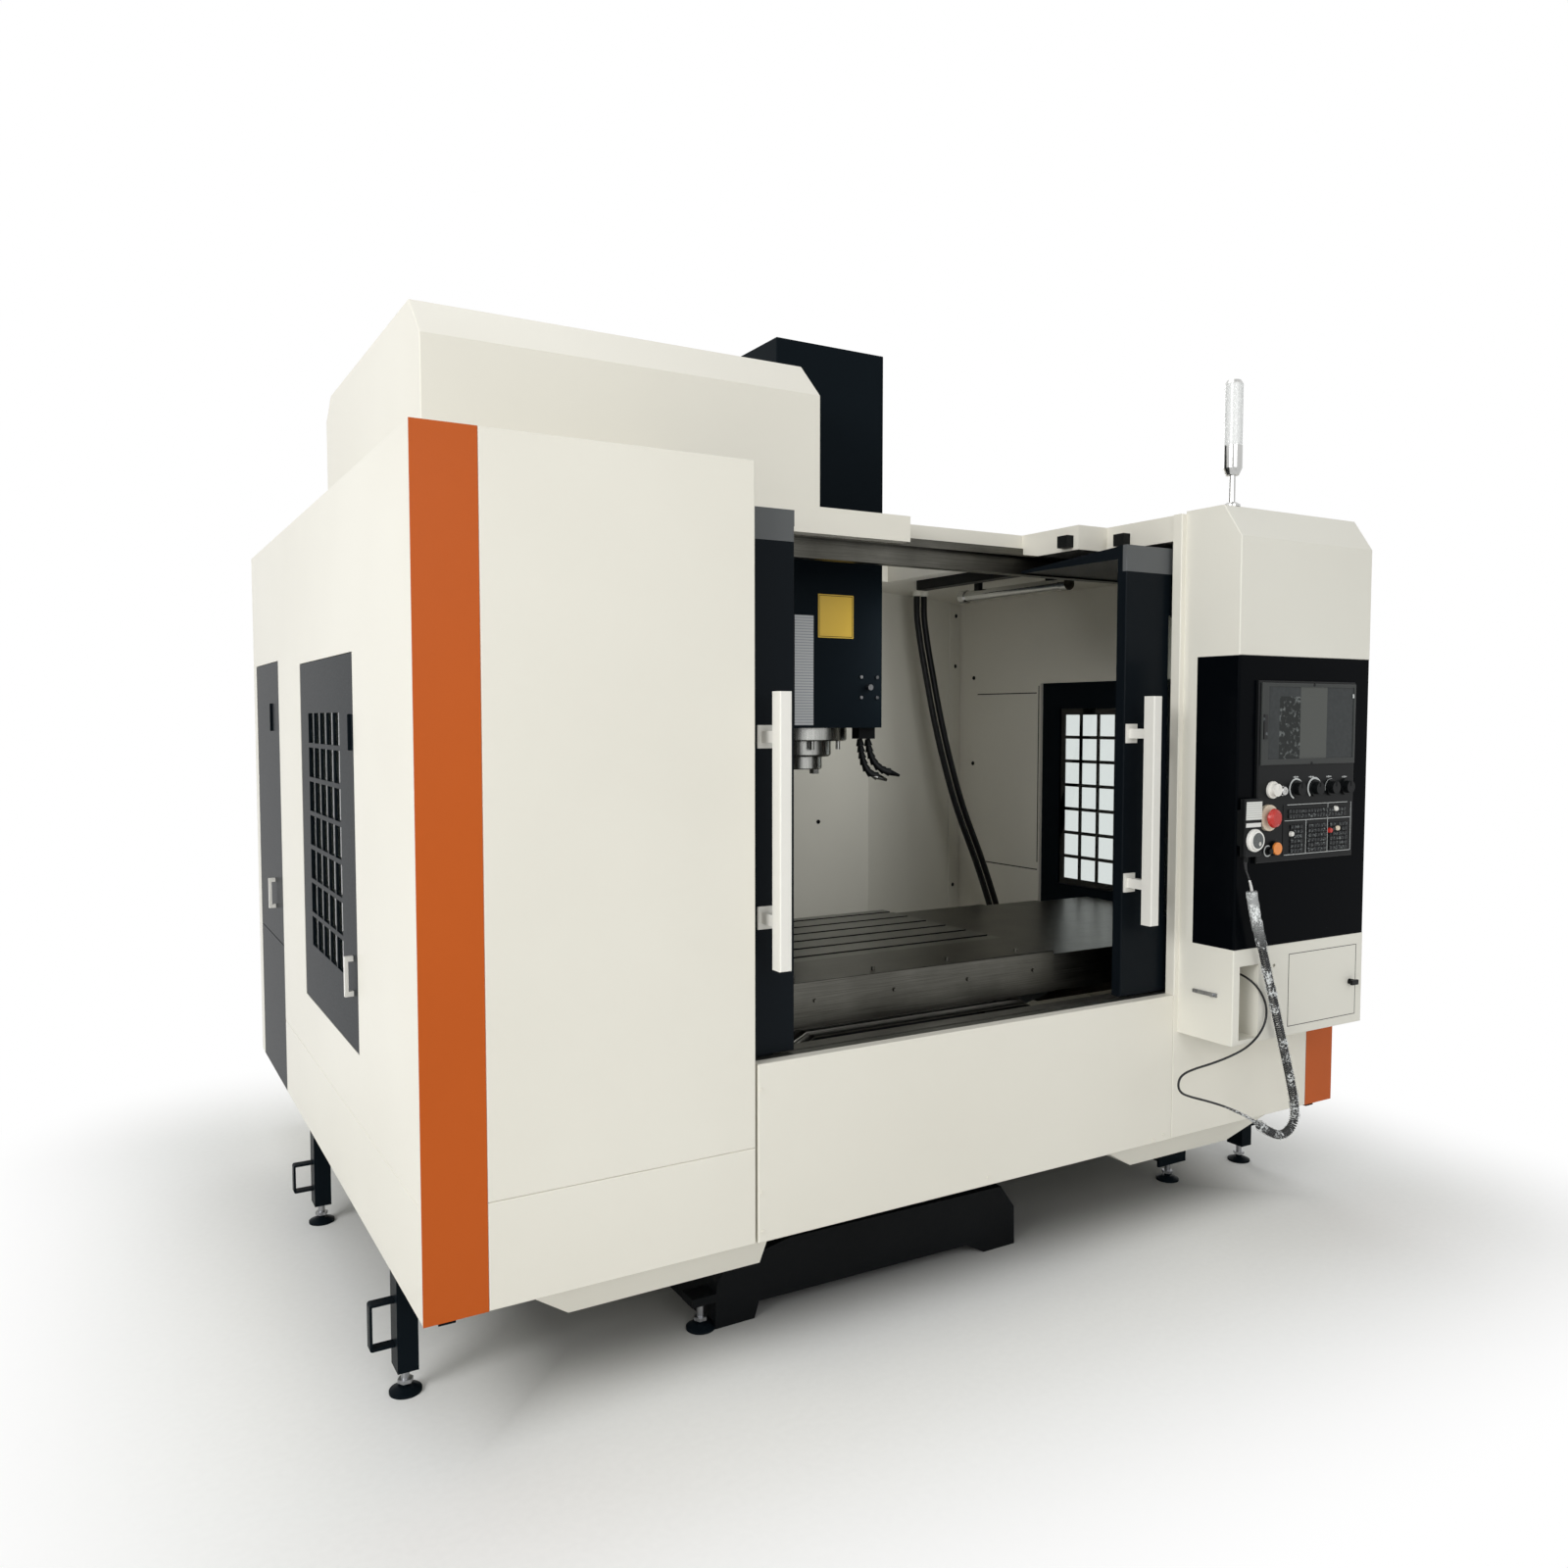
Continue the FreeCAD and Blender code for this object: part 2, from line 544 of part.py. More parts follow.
def door_tracks():
    """Stainless sill with the groove of the door shoes, and the upper track under the roof."""
    span = (-INNER + PANEL, INNER - PANEL)
    sill = block(span, SILL_Y, (APRON_TOP - SILL_THICK, APRON_TOP))
    middle = sum(DOOR_Y) / 2
    groove = block((span[0] - 1, span[1] + 1),
                   (middle - GROOVE_WIDTH / 2, middle + GROOVE_WIDTH / 2),
                   (APRON_TOP - GROOVE_DEPTH, APRON_TOP + 1))
    sill = sill.cut(groove)
    low = DOOR_Z[1] - WING_DROP - WING_THICK - TOUCH - SHEET
    rear = WING_REAR + TRACK_GAP
    web = block(span, (rear, rear + SHEET), (low, ROOF_INNER))
    lip = block(span, (WING_REAR - TRACK_LIP, rear), (low, low + SHEET))
    head = block(span, (WING_REAR - TRACK_LIP, rear), (ROOF_INNER - SHEET, ROOF_INNER))
    hanger = block((BEAM_SPLIT, NOTCH_STEP_X), (rear + SHEET, BEAM_RIGHT_FRONT),
                   (ROOF_INNER - SHEET, ROOF_INNER))
    ear = block((BEAM_SPLIT, NOTCH_STEP_X), (BEAM_RIGHT_FRONT - SHEET, BEAM_RIGHT_FRONT),
                (ROOF_INNER - SHEET, ROOF_INNER + PANEL))
    track = joined(web, lip, head, hanger, ear)
    lock_a = block((NOTCH_STEP_X - 26, NOTCH_STEP_X), (NOTCH_STEP_Y + 20, NOTCH_STEP_Y + 60),
                   (ROOF_INNER + 8, ROOF_INNER + 42))
    lock_b = block((NOTCH_RIGHT - 26, NOTCH_RIGHT), (NOTCH_STEP_Y - 90, NOTCH_STEP_Y - 50),
                   (ROOF_INNER + 8, ROOF_INNER + 42))
    return pieces(sill, track, lock_a, lock_b)


def roof_panels():
    """Roof with its folded edge, the stepped front notch and the openings for head and magazine."""
    z = (ROOF_INNER, ROOF)
    roof = block((-INNER + SEAM, INNER - SEAM), (PANEL + SEAM, DEPTH - PANEL - SEAM), z)
    notch = prism([(OPENING_LEFT, 0), (NOTCH_RIGHT, 0), (NOTCH_RIGHT, NOTCH_STEP_Y),
                   (NOTCH_STEP_X, NOTCH_STEP_Y), (NOTCH_STEP_X, BEAM_RIGHT_FRONT),
                   (BEAM_SPLIT, BEAM_RIGHT_FRONT), (BEAM_SPLIT, BEAM_LEFT_FRONT),
                   (OPENING_LEFT, BEAM_LEFT_FRONT)], "z", (z[0] - 1, z[1] + 1))
    hatch = block(HATCH_X, HATCH_Y, (z[0] - 1, z[1] + 1))
    magazine = block((HOOD_X[0] + HOOD_LEDGE, HOOD_X[1] - HOOD_LEDGE),
                     (HOOD_Y[0] + HOOD_LEDGE, HOOD_Y[1] - HOOD_LEDGE), (z[0] - 1, z[1] + 1))
    motor = block((MIDDLE - Z_HATCH_HALF, MIDDLE + Z_HATCH_HALF), Z_HATCH_Y, (z[0] - 1, z[1] + 1))
    sight = block((-204, -142), (533, 582), (z[0] - 1, z[1] + 1))
    seam = block((BEAM_SPLIT - SEAM / 2, BEAM_SPLIT + SEAM / 2),
                 (BEAM_RIGHT_FRONT - 1, HATCH_Y[0] + 1), (z[0] - 1, z[1] + 1))
    return roof.cut([notch, hatch, magazine, motor, sight, seam])


def motor_cap():
    """Box over the vertical axis motor where it passes the roof."""
    x = (MIDDLE - Z_HATCH_HALF - PANEL, MIDDLE + Z_HATCH_HALF + PANEL)
    y = (Z_HATCH_Y[0] - PANEL, Z_HATCH_Y[1] + PANEL)
    outer = block(x, y, (ROOF, CAP_TOP))
    inner = block((x[0] + SHEET, x[1] - SHEET), (y[0] + SHEET, y[1] - SHEET),
                  (ROOF - 1, CAP_TOP - SHEET))
    return softened(outer, BEND, lambda m: near(m.z, CAP_TOP)).cut(inner)


def magazine_hood():
    """Hood over the tool magazine, sloped at its upper front and rear edges."""
    outline = [(HOOD_Y[0], ROOF), (HOOD_Y[0], HOOD_FRONT_SHOULDER), (HOOD_TOP_Y[0], HOOD_TOP),
               (HOOD_TOP_Y[1], HOOD_TOP), (HOOD_Y[1], HOOD_REAR_SHOULDER), (HOOD_Y[1], ROOF)]
    outer = prism(outline, "x", HOOD_X)
    outer = softened(outer, BEND, lambda m: m.z > ROOF + 1 and not near(m.z, ROOF))
    hollow = [(HOOD_Y[0] + SHEET, ROOF - 1), (HOOD_Y[0] + SHEET, HOOD_FRONT_SHOULDER - 2),
              (HOOD_TOP_Y[0] + 2, HOOD_TOP - SHEET), (HOOD_TOP_Y[1] - 2, HOOD_TOP - SHEET),
              (HOOD_Y[1] - SHEET, HOOD_REAR_SHOULDER - 2), (HOOD_Y[1] - SHEET, ROOF - 1)]
    return outer.cut(prism(hollow, "x", (HOOD_X[0] + SHEET, HOOD_X[1] - SHEET)))


def rear_cabinet():
    """Walls behind the side panels, rear wall, and the electrical cabinet at the left rear."""
    side_y = (SIDE_END + SEAM, DEPTH)
    left = side_panel(side_y, (SKIRT, ROOF))
    right = mirrored(left)
    opening = block((-HALF_WIDTH - 1, -HALF_WIDTH + 2 * PIVOT_EDGE + TOUCH),
                    (CABINET_DOOR_Y[0] - LEAF_GAP, CABINET_DOOR_Y[1] + LEAF_GAP),
                    (CABINET_DOOR_Z[0] - LEAF_GAP, CABINET_DOOR_Z[1] + LEAF_GAP))
    inside = block((-HALF_WIDTH, -INNER + 1),
                   (CABINET_DOOR_Y[0] + WINDOW_STOP, CABINET_DOOR_Y[1] - WINDOW_STOP),
                   (CABINET_DOOR_Z[0] + WINDOW_STOP, CABINET_DOOR_Z[1] - WINDOW_STOP))
    centre = (-HALF_WIDTH + PIVOT_EDGE, CABINET_DOOR_Y[1] - PIVOT_EDGE)
    bore = pivot_pins(centre, CABINET_DOOR_Z, PIVOT_PIN + PIVOT_FIT, PIVOT_DEPTH + PIVOT_FIT)
    left = left.cut([opening, inside, bore])
    rear = block((-INNER, INNER), (DEPTH - PANEL, DEPTH), (SKIRT, ROOF))
    floor = block((-INNER, -CABINET_INNER), (SIDE_END + SEAM, DEPTH - PANEL),
                  (SKIRT, SKIRT + SHEET))
    wall = block((-CABINET_INNER - SHEET, -CABINET_INNER), (SIDE_END + SEAM, DEPTH - PANEL),
                 (SKIRT + SHEET, ROOF_INNER))
    front = block((-INNER, -CABINET_INNER - SHEET), (SIDE_END + SEAM, SIDE_END + SEAM + SHEET),
                  (SKIRT + SHEET, ROOF_INNER))
    plate = block((-CABINET_INNER - SHEET - PANEL, -CABINET_INNER - SHEET),
                  (SIDE_END + 60, DEPTH - PANEL - 60), (SKIRT + 120, ROOF_INNER - 240))
    drives = [drive_unit(i) for i in range(DRIVE_COUNT)]
    return joined(left, right, rear, floor, wall, front, plate, *drives)


def drive_unit(index):
    """One finned drive on the cabinet's mounting plate."""
    face = -CABINET_INNER - SHEET - PANEL
    y = SIDE_END + 90 + index * DRIVE_PITCH
    body = block((face - DRIVE[0], face), (y, y + DRIVE[1]), (DRIVE_Z, DRIVE_Z + DRIVE[2]))
    return softened(body, BEND, lambda m: near(m.x, face - DRIVE[0]))


# ---- Interior ----------------------------------------------------------------------------
def back_wall():
    """Rear wall of the work space: a middle sheet and two oblique ones."""
    z = (FLOOR_PAN + SHEET, ROOF_INNER)
    outline = [(-INNER, BACK_CORNER_LEFT), (-BACK_WALL_HALF, BACK_WALL_Y),
               (BACK_WALL_HALF, BACK_WALL_Y), (INNER, BACK_CORNER_RIGHT),
               (INNER, BACK_CORNER_RIGHT + SHEET), (BACK_WALL_HALF, BACK_WALL_Y + SHEET),
               (-BACK_WALL_HALF, BACK_WALL_Y + SHEET), (-INNER, BACK_CORNER_LEFT + SHEET)]
    wall = prism(outline, "z", z)
    slot_half = HEAD_PLATE_HALF + WALL_CLEAR
    span = (BACK_WALL_Y - 1, BACK_WALL_Y + SHEET + 1)
    slot = block((MIDDLE - slot_half, MIDDLE + slot_half), span, (Z_FIXED_TOP - Z_COVER_LENGTH, z[1] + 1))
    low = block((MIDDLE - Y_COVER_HALF - WALL_CLEAR, MIDDLE + Y_COVER_HALF + WALL_CLEAR), span,
                (z[0] - 1, Y_COVER_TOP + WALL_CLEAR))
    beam = block((ARM_BEAM_X[0] - 1, ARM_BEAM_X[1] + 1), span, (ARM_BEAM_Z[0] - 1, ARM_BEAM_Z[1] + 1))
    frame = block((FRAME_X[0] - 1, FRAME_X[1] + 1), (BACK_WALL_Y - 1, COLUMN_Y[0]),
                  (FRAME_Z[0] - 1, FRAME_Z[1] + 1))
    return wall.cut([slot, low, beam, frame])


def coolant_pan():
    """Floor of the work space round the bed."""
    z = (FLOOR_PAN, FLOOR_PAN + SHEET)
    pan = block((-INNER, INNER), (SILL_Y[0], BACK_WALL_Y), z)
    wings = prism([(-INNER, BACK_WALL_Y), (-BACK_WALL_HALF, BACK_WALL_Y), (-INNER, BACK_CORNER_LEFT)],
                  "z", z)
    right = prism([(INNER, BACK_WALL_Y), (BACK_WALL_HALF, BACK_WALL_Y), (INNER, BACK_CORNER_RIGHT)],
                  "z", z)
    well = block((MIDDLE - BED_HALF - SEAM, MIDDLE + BED_HALF + SEAM), (BED_Y[0] - SEAM, BACK_WALL_Y + 1),
                 (z[0] - 1, z[1] + 1))
    return joined(pan, wings, right).cut(well)


def inner_walls():
    """Rear wall, floor pan and the two glands of the hoses."""
    glands = []
    for i in range(HOSE_COUNT):
        top = hose_points(i)[0]
        foot = hose_points(i)[-1]
        glands.append(rod((foot[0], foot[1], FLOOR_PAN + SHEET), HOSE_RADIUS + GLAND_WALL,
                          foot[2] - FLOOR_PAN - SHEET, "z"))
        glands.append(rod((top[0], top[1], top[2]), HOSE_RADIUS + GLAND_WALL,
                          ROOF_INNER - top[2], "z"))
    return pieces(back_wall(), joined(coolant_pan(), *glands[0::2]), *glands[1::2])


def work_lamp():
    """Lamp tube with end caps on two clips, and the dark housing beside it."""
    z = ROOF_INNER - LAMP_DROP
    glass = rod((LAMP_X, LAMP_Y[0], z), LAMP_RADIUS, LAMP_Y[1] - LAMP_Y[0], "y")
    caps = [rod((LAMP_X, y, z), LAMP_RADIUS + 4, LAMP_CAP, "y")
            for y in (LAMP_Y[0], LAMP_Y[1] - LAMP_CAP)]
    clips = [block((LAMP_X - 9, LAMP_X + 9), (y - 12, y + 12), (z, ROOF_INNER))
             for y in (LAMP_Y[0] + 90, LAMP_Y[1] - 90)]
    tube_light = joined(glass, *caps, *clips)
    housing = block((LAMP_HOUSING_X - 22, LAMP_HOUSING_X + 22), LAMP_HOUSING_Y,
                    (ROOF_INNER - 34, ROOF_INNER))
    return pieces(tube_light, softened(housing, BEND, lambda m: near(m.z, ROOF_INNER - 34)))


# ---- Bed and column ----------------------------------------------------------------------
def rail(axis, offset, seat, span):
    """Guide rail with its two side grooves; offset is its middle across the travel."""
    half = RAIL[0] / 2
    top = RAIL[1]
    waist = half - 6
    outline = [(-half, 0), (half, 0), (half, top * 0.42), (waist, top * 0.5), (waist, top * 0.68),
               (half, top * 0.76), (half, top), (-half, top), (-half, top * 0.76),
               (-waist, top * 0.68), (-waist, top * 0.5), (-half, top * 0.42)]
    if axis == "x":
        return prism([(offset + a, seat + b) for a, b in outline], "x", span)
    if axis == "y":
        return prism([(offset + a, seat + b) for a, b in outline], "y", span)
    return prism([(offset + a, seat - b) for a, b in outline], "z", span)


def guide_block(axis, offset, seat, middle):
    """Guide block astride a rail, as high above its seat as the moving casting."""
    half = BLOCK[0] / 2
    gap = RAIL[0] / 2 + RAIL_FIT
    roof = RAIL[1] + RAIL_FIT
    top = RAIL[1] + BLOCK_RISE
    outline = [(-half, BLOCK_FOOT), (-gap, BLOCK_FOOT), (-gap, roof), (gap, roof), (gap, BLOCK_FOOT),
               (half, BLOCK_FOOT), (half, top), (-half, top)]
    span = (middle - BLOCK[1] / 2, middle + BLOCK[1] / 2)
    if axis == "z":
        return prism([(offset + a, seat - b) for a, b in outline], "z", span)
    return prism([(offset + a, seat + b) for a, b in outline], axis, span)


def bed_casting():
    """Bed with its shoulders, rail pedestals, screw trough, chamfered front foot and Y rails."""
    x = (MIDDLE - BED_HALF, MIDDLE + BED_HALF)
    lower = block(x, (BED_LEG_FRONT, BED_Y[1]), (BED_FLOOR_GAP, BED_SHOULDER_Z[0]))
    shoulders = block(x, BED_Y, BED_SHOULDER_Z)
    pedestal = block((MIDDLE - PEDESTAL_HALF, MIDDLE + PEDESTAL_HALF), BED_Y,
                     (BED_SHOULDER_Z[1], BED_TOP))
    foot = joined(prism(FOOT_OUTLINE, "y", FOOT_PLATE_Y), block(*FRONT_LUG))
    foot = foot.cut(rod((FRONT_FOOT[0], FRONT_FOOT[1], -1), LEG_FOOT[0] + SEAM, LEG_FOOT[1] + SEAM + 1, "z"))
    neck = block((FOOT_NECK[0], FOOT_NECK[1]), (BED_Y[0], BED_LEG_FRONT), (FOOT_TOP - 1, BED_SHOULDER_Z[0]))
    body = joined(lower, shoulders, pedestal, foot, neck)
    body = body.cut(block((MIDDLE - TROUGH_HALF, MIDDLE + TROUGH_HALF), (BED_Y[0] - 1, COLUMN_Y[1]),
                          (BED_TOP - TROUGH_DEPTH, BED_TOP + 1)))
    rails = [rail("y", MIDDLE + side * Y_RAIL_OFFSET, BED_TOP, Y_RAIL_SPAN) for side in (-1, 1)]
    supports = [bearing_block("y", y) for y in Y_SCREW_SPAN]
    return joined(body, *rails, *supports)


def bearing_block(axis, end):
    """End support of a ball screw, bored for the screw; end is the supported end's position."""
    half = BEARING_HALF
    inward = BEARING_WALL if end in (Y_SCREW_SPAN[0], X_SCREW_SPAN[0], Z_SCREW_SPAN[0]) else -BEARING_WALL
    span = tuple(sorted((end, end + inward)))
    radius = SCREW_RADIUS + SCREW_BORE_GAP
    if axis == "y":
        body = block((MIDDLE - half, MIDDLE + half), span, (BED_TOP - TROUGH_DEPTH, Y_SCREW_Z + half))
        return body.cut(rod((MIDDLE, span[0] - 1, Y_SCREW_Z), radius, BEARING_WALL + 2, "y"))
    if axis == "x":
        body = block(span, (SADDLE_MID - X_TROUGH_HALF, SADDLE_MID + X_TROUGH_HALF),
                     (SADDLE_TOP - X_TROUGH_DEPTH, X_SCREW_Z + half))
        return body.cut(rod((span[0] - 1, SADDLE_MID, X_SCREW_Z), radius, BEARING_WALL + 2, "x"))
    body = block((MIDDLE - half, MIDDLE + half), (Z_SCREW_Y - half + 10, COLUMN_Y[0] + TROUGH_DEPTH), span)
    return body.cut(rod((MIDDLE, Z_SCREW_Y, span[0] - 1), radius, BEARING_WALL + 2, "z"))


def column_casting():
    """Column with the arch at its foot, the trough of the vertical screw, and the Z rails."""
    flank = COLUMN_FLARE
    outline = [(MIDDLE - COLUMN_HALF - flank, BED_TOP), (MIDDLE + COLUMN_HALF + flank, BED_TOP),
               (MIDDLE + COLUMN_HALF, BED_TOP + 260), (MIDDLE + COLUMN_HALF, COLUMN_TOP),
               (MIDDLE - COLUMN_HALF, COLUMN_TOP), (MIDDLE - COLUMN_HALF, BED_TOP + 260)]
    body = prism(outline, "y", COLUMN_Y)
    arch = block((MIDDLE - ARCH_HALF, MIDDLE + ARCH_HALF), (COLUMN_Y[0] - 1, COLUMN_Y[1] + 1),
                 (BED_TOP - 1, BED_TOP + ARCH_HEIGHT))
    trough = block((MIDDLE - TROUGH_HALF, MIDDLE + TROUGH_HALF),
                   (COLUMN_Y[0] - 1, COLUMN_Y[0] + TROUGH_DEPTH), (Z_SCREW_SPAN[0], COLUMN_TOP + 1))
    body = body.cut([arch, trough])
    rails = [rail("z", MIDDLE + side * Z_RAIL_OFFSET, COLUMN_Y[0], Z_RAIL_SPAN) for side in (-1, 1)]
    supports = [bearing_block("z", z) for z in Z_SCREW_SPAN]
    return joined(body, *rails, *supports)


def motor(square, length, flange=16.0):
    """Servo motor with its mounting flange at z = 0, standing up, with a plug box on one side."""
    half = square / 2
    body = softened(block((-half + 4, half - 4), (-half + 4, half - 4), (flange, length)),
                    10, lambda m: near(abs(m.x), half - 4) and near(abs(m.y), half - 4))
    plate = block((-half, half), (-half, half), (0, flange))
    plug = block((half - 5, half + 22), (-18, 18), (length - 74, length - 30))
    return joined(body, plate, plug)


def axis_motors():
    """Motors of the Y screw, in the column's arch, and of the Z screw, on the column."""
    y_motor = motor(*MOTOR)
    y_motor.rotate(V(0, 0, 0), V(1, 0, 0), -90)
    y_motor.translate(V(MIDDLE, Y_SCREW_SPAN[1], Y_SCREW_Z))
    plate_y = (Z_SCREW_Y - MOTOR[0] / 2, COLUMN_Y[0] + 120)
    bracket = block((MIDDLE - MOTOR[0] / 2, MIDDLE + MOTOR[0] / 2), plate_y,
                    (COLUMN_TOP, COLUMN_TOP + 18))
    hole = rod((MIDDLE, Z_SCREW_Y, COLUMN_TOP - 1), SCREW_RADIUS + SCREW_BORE_GAP, 20, "z")
    z_motor = motor(*MOTOR)
    z_motor.translate(V(MIDDLE, Z_SCREW_Y, COLUMN_TOP + 18))
    return pieces(y_motor, joined(bracket.cut(hole), z_motor))


def ball_screw(axis, span, centre):
    """Ball screw with stepped ends; centre is its place across, in the order x, y, z."""
    journal = SCREW_RADIUS - SCREW_STEP
    start = {"x": (span[0], *centre), "y": (centre[0], span[0], centre[1]), "z": (*centre, span[0])}
    body = {"x": (span[0] + BEARING_WALL, *centre), "y": (centre[0], span[0] + BEARING_WALL, centre[1]),
            "z": (*centre, span[0] + BEARING_WALL)}
    length = span[1] - span[0]
    return joined(rod(start[axis], journal, length, axis),
                  rod(body[axis], SCREW_RADIUS, length - 2 * BEARING_WALL, axis))


# ---- Saddle, table and way covers --------------------------------------------------------
def saddle_casting():
    """Saddle with its four Y guide blocks, nut bracket, X rails, screw supports and X motor."""
    x = (MIDDLE - SADDLE_HALF, MIDDLE + SADDLE_HALF)
    body = block(x, SADDLE_Y, (SADDLE_BOTTOM, SADDLE_TOP))
    flank = SADDLE_BOTTOM + SADDLE_THICK * 0.55
    for side in (-1, 1):
        edge = MIDDLE + side * SADDLE_HALF
        inner = MIDDLE + side * (Y_RAIL_OFFSET + BLOCK[0])
        wedge = prism([(edge + side, SADDLE_BOTTOM - 1), (inner, SADDLE_BOTTOM - 1),
                       (inner, SADDLE_BOTTOM), (edge + side, flank)], "y",
                      (SADDLE_Y[0] - 1, SADDLE_Y[1] + 1))
        body = body.cut(wedge)
    trough = block((x[0] - 1, x[1] + 1), (SADDLE_MID - X_TROUGH_HALF, SADDLE_MID + X_TROUGH_HALF),
                   (SADDLE_TOP - X_TROUGH_DEPTH, SADDLE_TOP + 1))
    body = body.cut(trough)
    parts = [guide_block("y", MIDDLE + side * Y_RAIL_OFFSET, BED_TOP, y)
             for side in (-1, 1) for y in (SADDLE_Y[0] + BLOCK[1] / 2, SADDLE_Y[1] - BLOCK[1] / 2)]
    nut = block((MIDDLE - NUT_RADIUS, MIDDLE + NUT_RADIUS), (SADDLE_MID - NUT_LENGTH / 2,
                SADDLE_MID + NUT_LENGTH / 2), (Y_SCREW_Z - NUT_RADIUS, SADDLE_BOTTOM))
    nut = nut.cut(rod((MIDDLE, SADDLE_MID - NUT_LENGTH, Y_SCREW_Z), SCREW_RADIUS + NUT_FIT,
                      2 * NUT_LENGTH, "y"))
    rails = [rail("x", SADDLE_MID + side * X_RAIL_OFFSET, SADDLE_TOP, (x[0], x[1])) for side in (-1, 1)]
    supports = [bearing_block("x", end) for end in X_SCREW_SPAN]
    drive = motor(*MOTOR)
    drive.rotate(V(0, 0, 0), V(0, 1, 0), 90)
    drive.translate(V(X_SCREW_SPAN[1], SADDLE_MID, X_SCREW_Z))
    return joined(body, nut, *parts, *rails, *supports, drive)


def hood_section(y, top, bottom, rank, x):
    """Arched sheet section of an X way cover; rank 0 is the outermost."""
    inset = rank * COVER_STEP
    outer = (y[0] + inset, y[1] - inset)
    height = top - inset
    body = block(x, outer, (bottom, height))
    hollow = block((x[0] - 1, x[1] + 1), (outer[0] + SHEET, outer[1] - SHEET),
                   (bottom - 1, height - SHEET))
    return softened(body, BEND, lambda m: near(m.z, height) and not near(m.x, x[0])
                    and not near(m.x, x[1])).cut(hollow)


def x_cover(rank, side):
    """One section of the X way covers at rest; side is -1 or 1, rank 0 is next to the table."""
    ends = {-1: (X_COVER_OUTER[0], TABLE_X[0] - X_COVER_LENGTH),
            1: (X_COVER_OUTER[1] - X_COVER_LENGTH, TABLE_X[1])}[side]
    start = ends[1] + (ends[0] - ends[1]) * rank / 2
    return hood_section(X_COVER_Y, X_COVER_TOP, X_COVER_BOTTOM, rank, (start, start + X_COVER_LENGTH))


def y_section(rank, start):
    """Arched sheet section of a Y way cover; rank 0 is the outermost."""
    inset = rank * COVER_STEP
    x = (MIDDLE - Y_COVER_HALF + inset, MIDDLE + Y_COVER_HALF - inset)
    top = Y_COVER_TOP - inset
    y = (start, start + Y_COVER_LENGTH)
    slope = Y_COVER_SLOPE
    outer = [(x[0], Y_COVER_BOTTOM), (x[0], top - slope), (x[0] + 2 * slope, top),
             (x[1] - 2 * slope, top), (x[1], top - slope), (x[1], Y_COVER_BOTTOM)]
    s = SHEET
    inner = [(x[0] + s, Y_COVER_BOTTOM - 1), (x[0] + s, top - slope - s * 0.6),
             (x[0] + 2 * slope + s * 0.2, top - s), (x[1] - 2 * slope - s * 0.2, top - s),
             (x[1] - s, top - slope - s * 0.6), (x[1] - s, Y_COVER_BOTTOM - 1)]
    return prism(outer, "y", y).cut(prism(inner, "y", (y[0] - 1, y[1] + 1)))


def y_start(side, rank):
    """Front end of a Y cover section at rest; side is -1 in front of the saddle, 1 behind it."""
    if side < 0:
        moving = SADDLE_Y[0] - Y_COVER_LENGTH
        fixed = Y_FRONT_START
    else:
        moving = SADDLE_Y[1]
        fixed = Y_REAR_END - Y_COVER_LENGTH
    return moving + (fixed - moving) * rank / (Y_COVER_RANKS - 1)


def y_cover(rank):
    """Front and rear section of one rank of the Y way covers."""
    return [y_section(rank, y_start(side, rank)) for side in (-1, 1)]


def z_section(rank, low):
    """Section of the Z way cover, folded back at both sides; rank 0 is the outermost."""
    inset = rank * COVER_STEP
    x = (MIDDLE - Z_COVER_HALF + inset, MIDDLE + Z_COVER_HALF - inset)
    y = (Z_COVER_FACE + inset, BACK_WALL_Y - TOUCH)
    z = (low, low + Z_COVER_LENGTH)
    outer = softened(block(x, y, z), BEND, lambda m: near(m.y, y[0]) and (near(m.x, x[0]) or near(m.x, x[1])))
    return outer.cut(block((x[0] + SHEET, x[1] - SHEET), (y[0] + SHEET, y[1] + 1), (z[0] - 1, z[1] + 1)))


def z_low(rank):
    """Lower end of a Z cover section at rest."""
    moving = HEAD_Z[0] - Z_COVER_LENGTH
    fixed = Z_FIXED_TOP - Z_COVER_LENGTH
    return moving + (fixed - moving) * rank / 2


def fixed_way_covers():
    """Innermost Y sections with their end walls, and the lowest Z section."""
    rank = Y_COVER_RANKS - 1
    front, rear = y_cover(rank)
    inset = rank * COVER_STEP
    x = (MIDDLE - Y_COVER_HALF + inset + SHEET, MIDDLE + Y_COVER_HALF - inset - SHEET)
    top = Y_COVER_TOP - inset - SHEET - Y_COVER_SLOPE
    front_wall = block(x, (Y_FRONT_START, Y_FRONT_START + SHEET), (BED_TOP, top))
    rear_wall = block(x, (Y_REAR_END - SHEET, Y_REAR_END), (BED_TOP, top))
    gap = block((MIDDLE - MOTOR[0], MIDDLE + MOTOR[0]), (Y_REAR_END - 9, Y_REAR_END + 1),
                (BED_TOP - 1, Y_SCREW_Z + MOTOR[0]))
    return pieces(joined(front, front_wall), joined(rear, rear_wall.cut(gap)), z_section(2, z_low(2)))


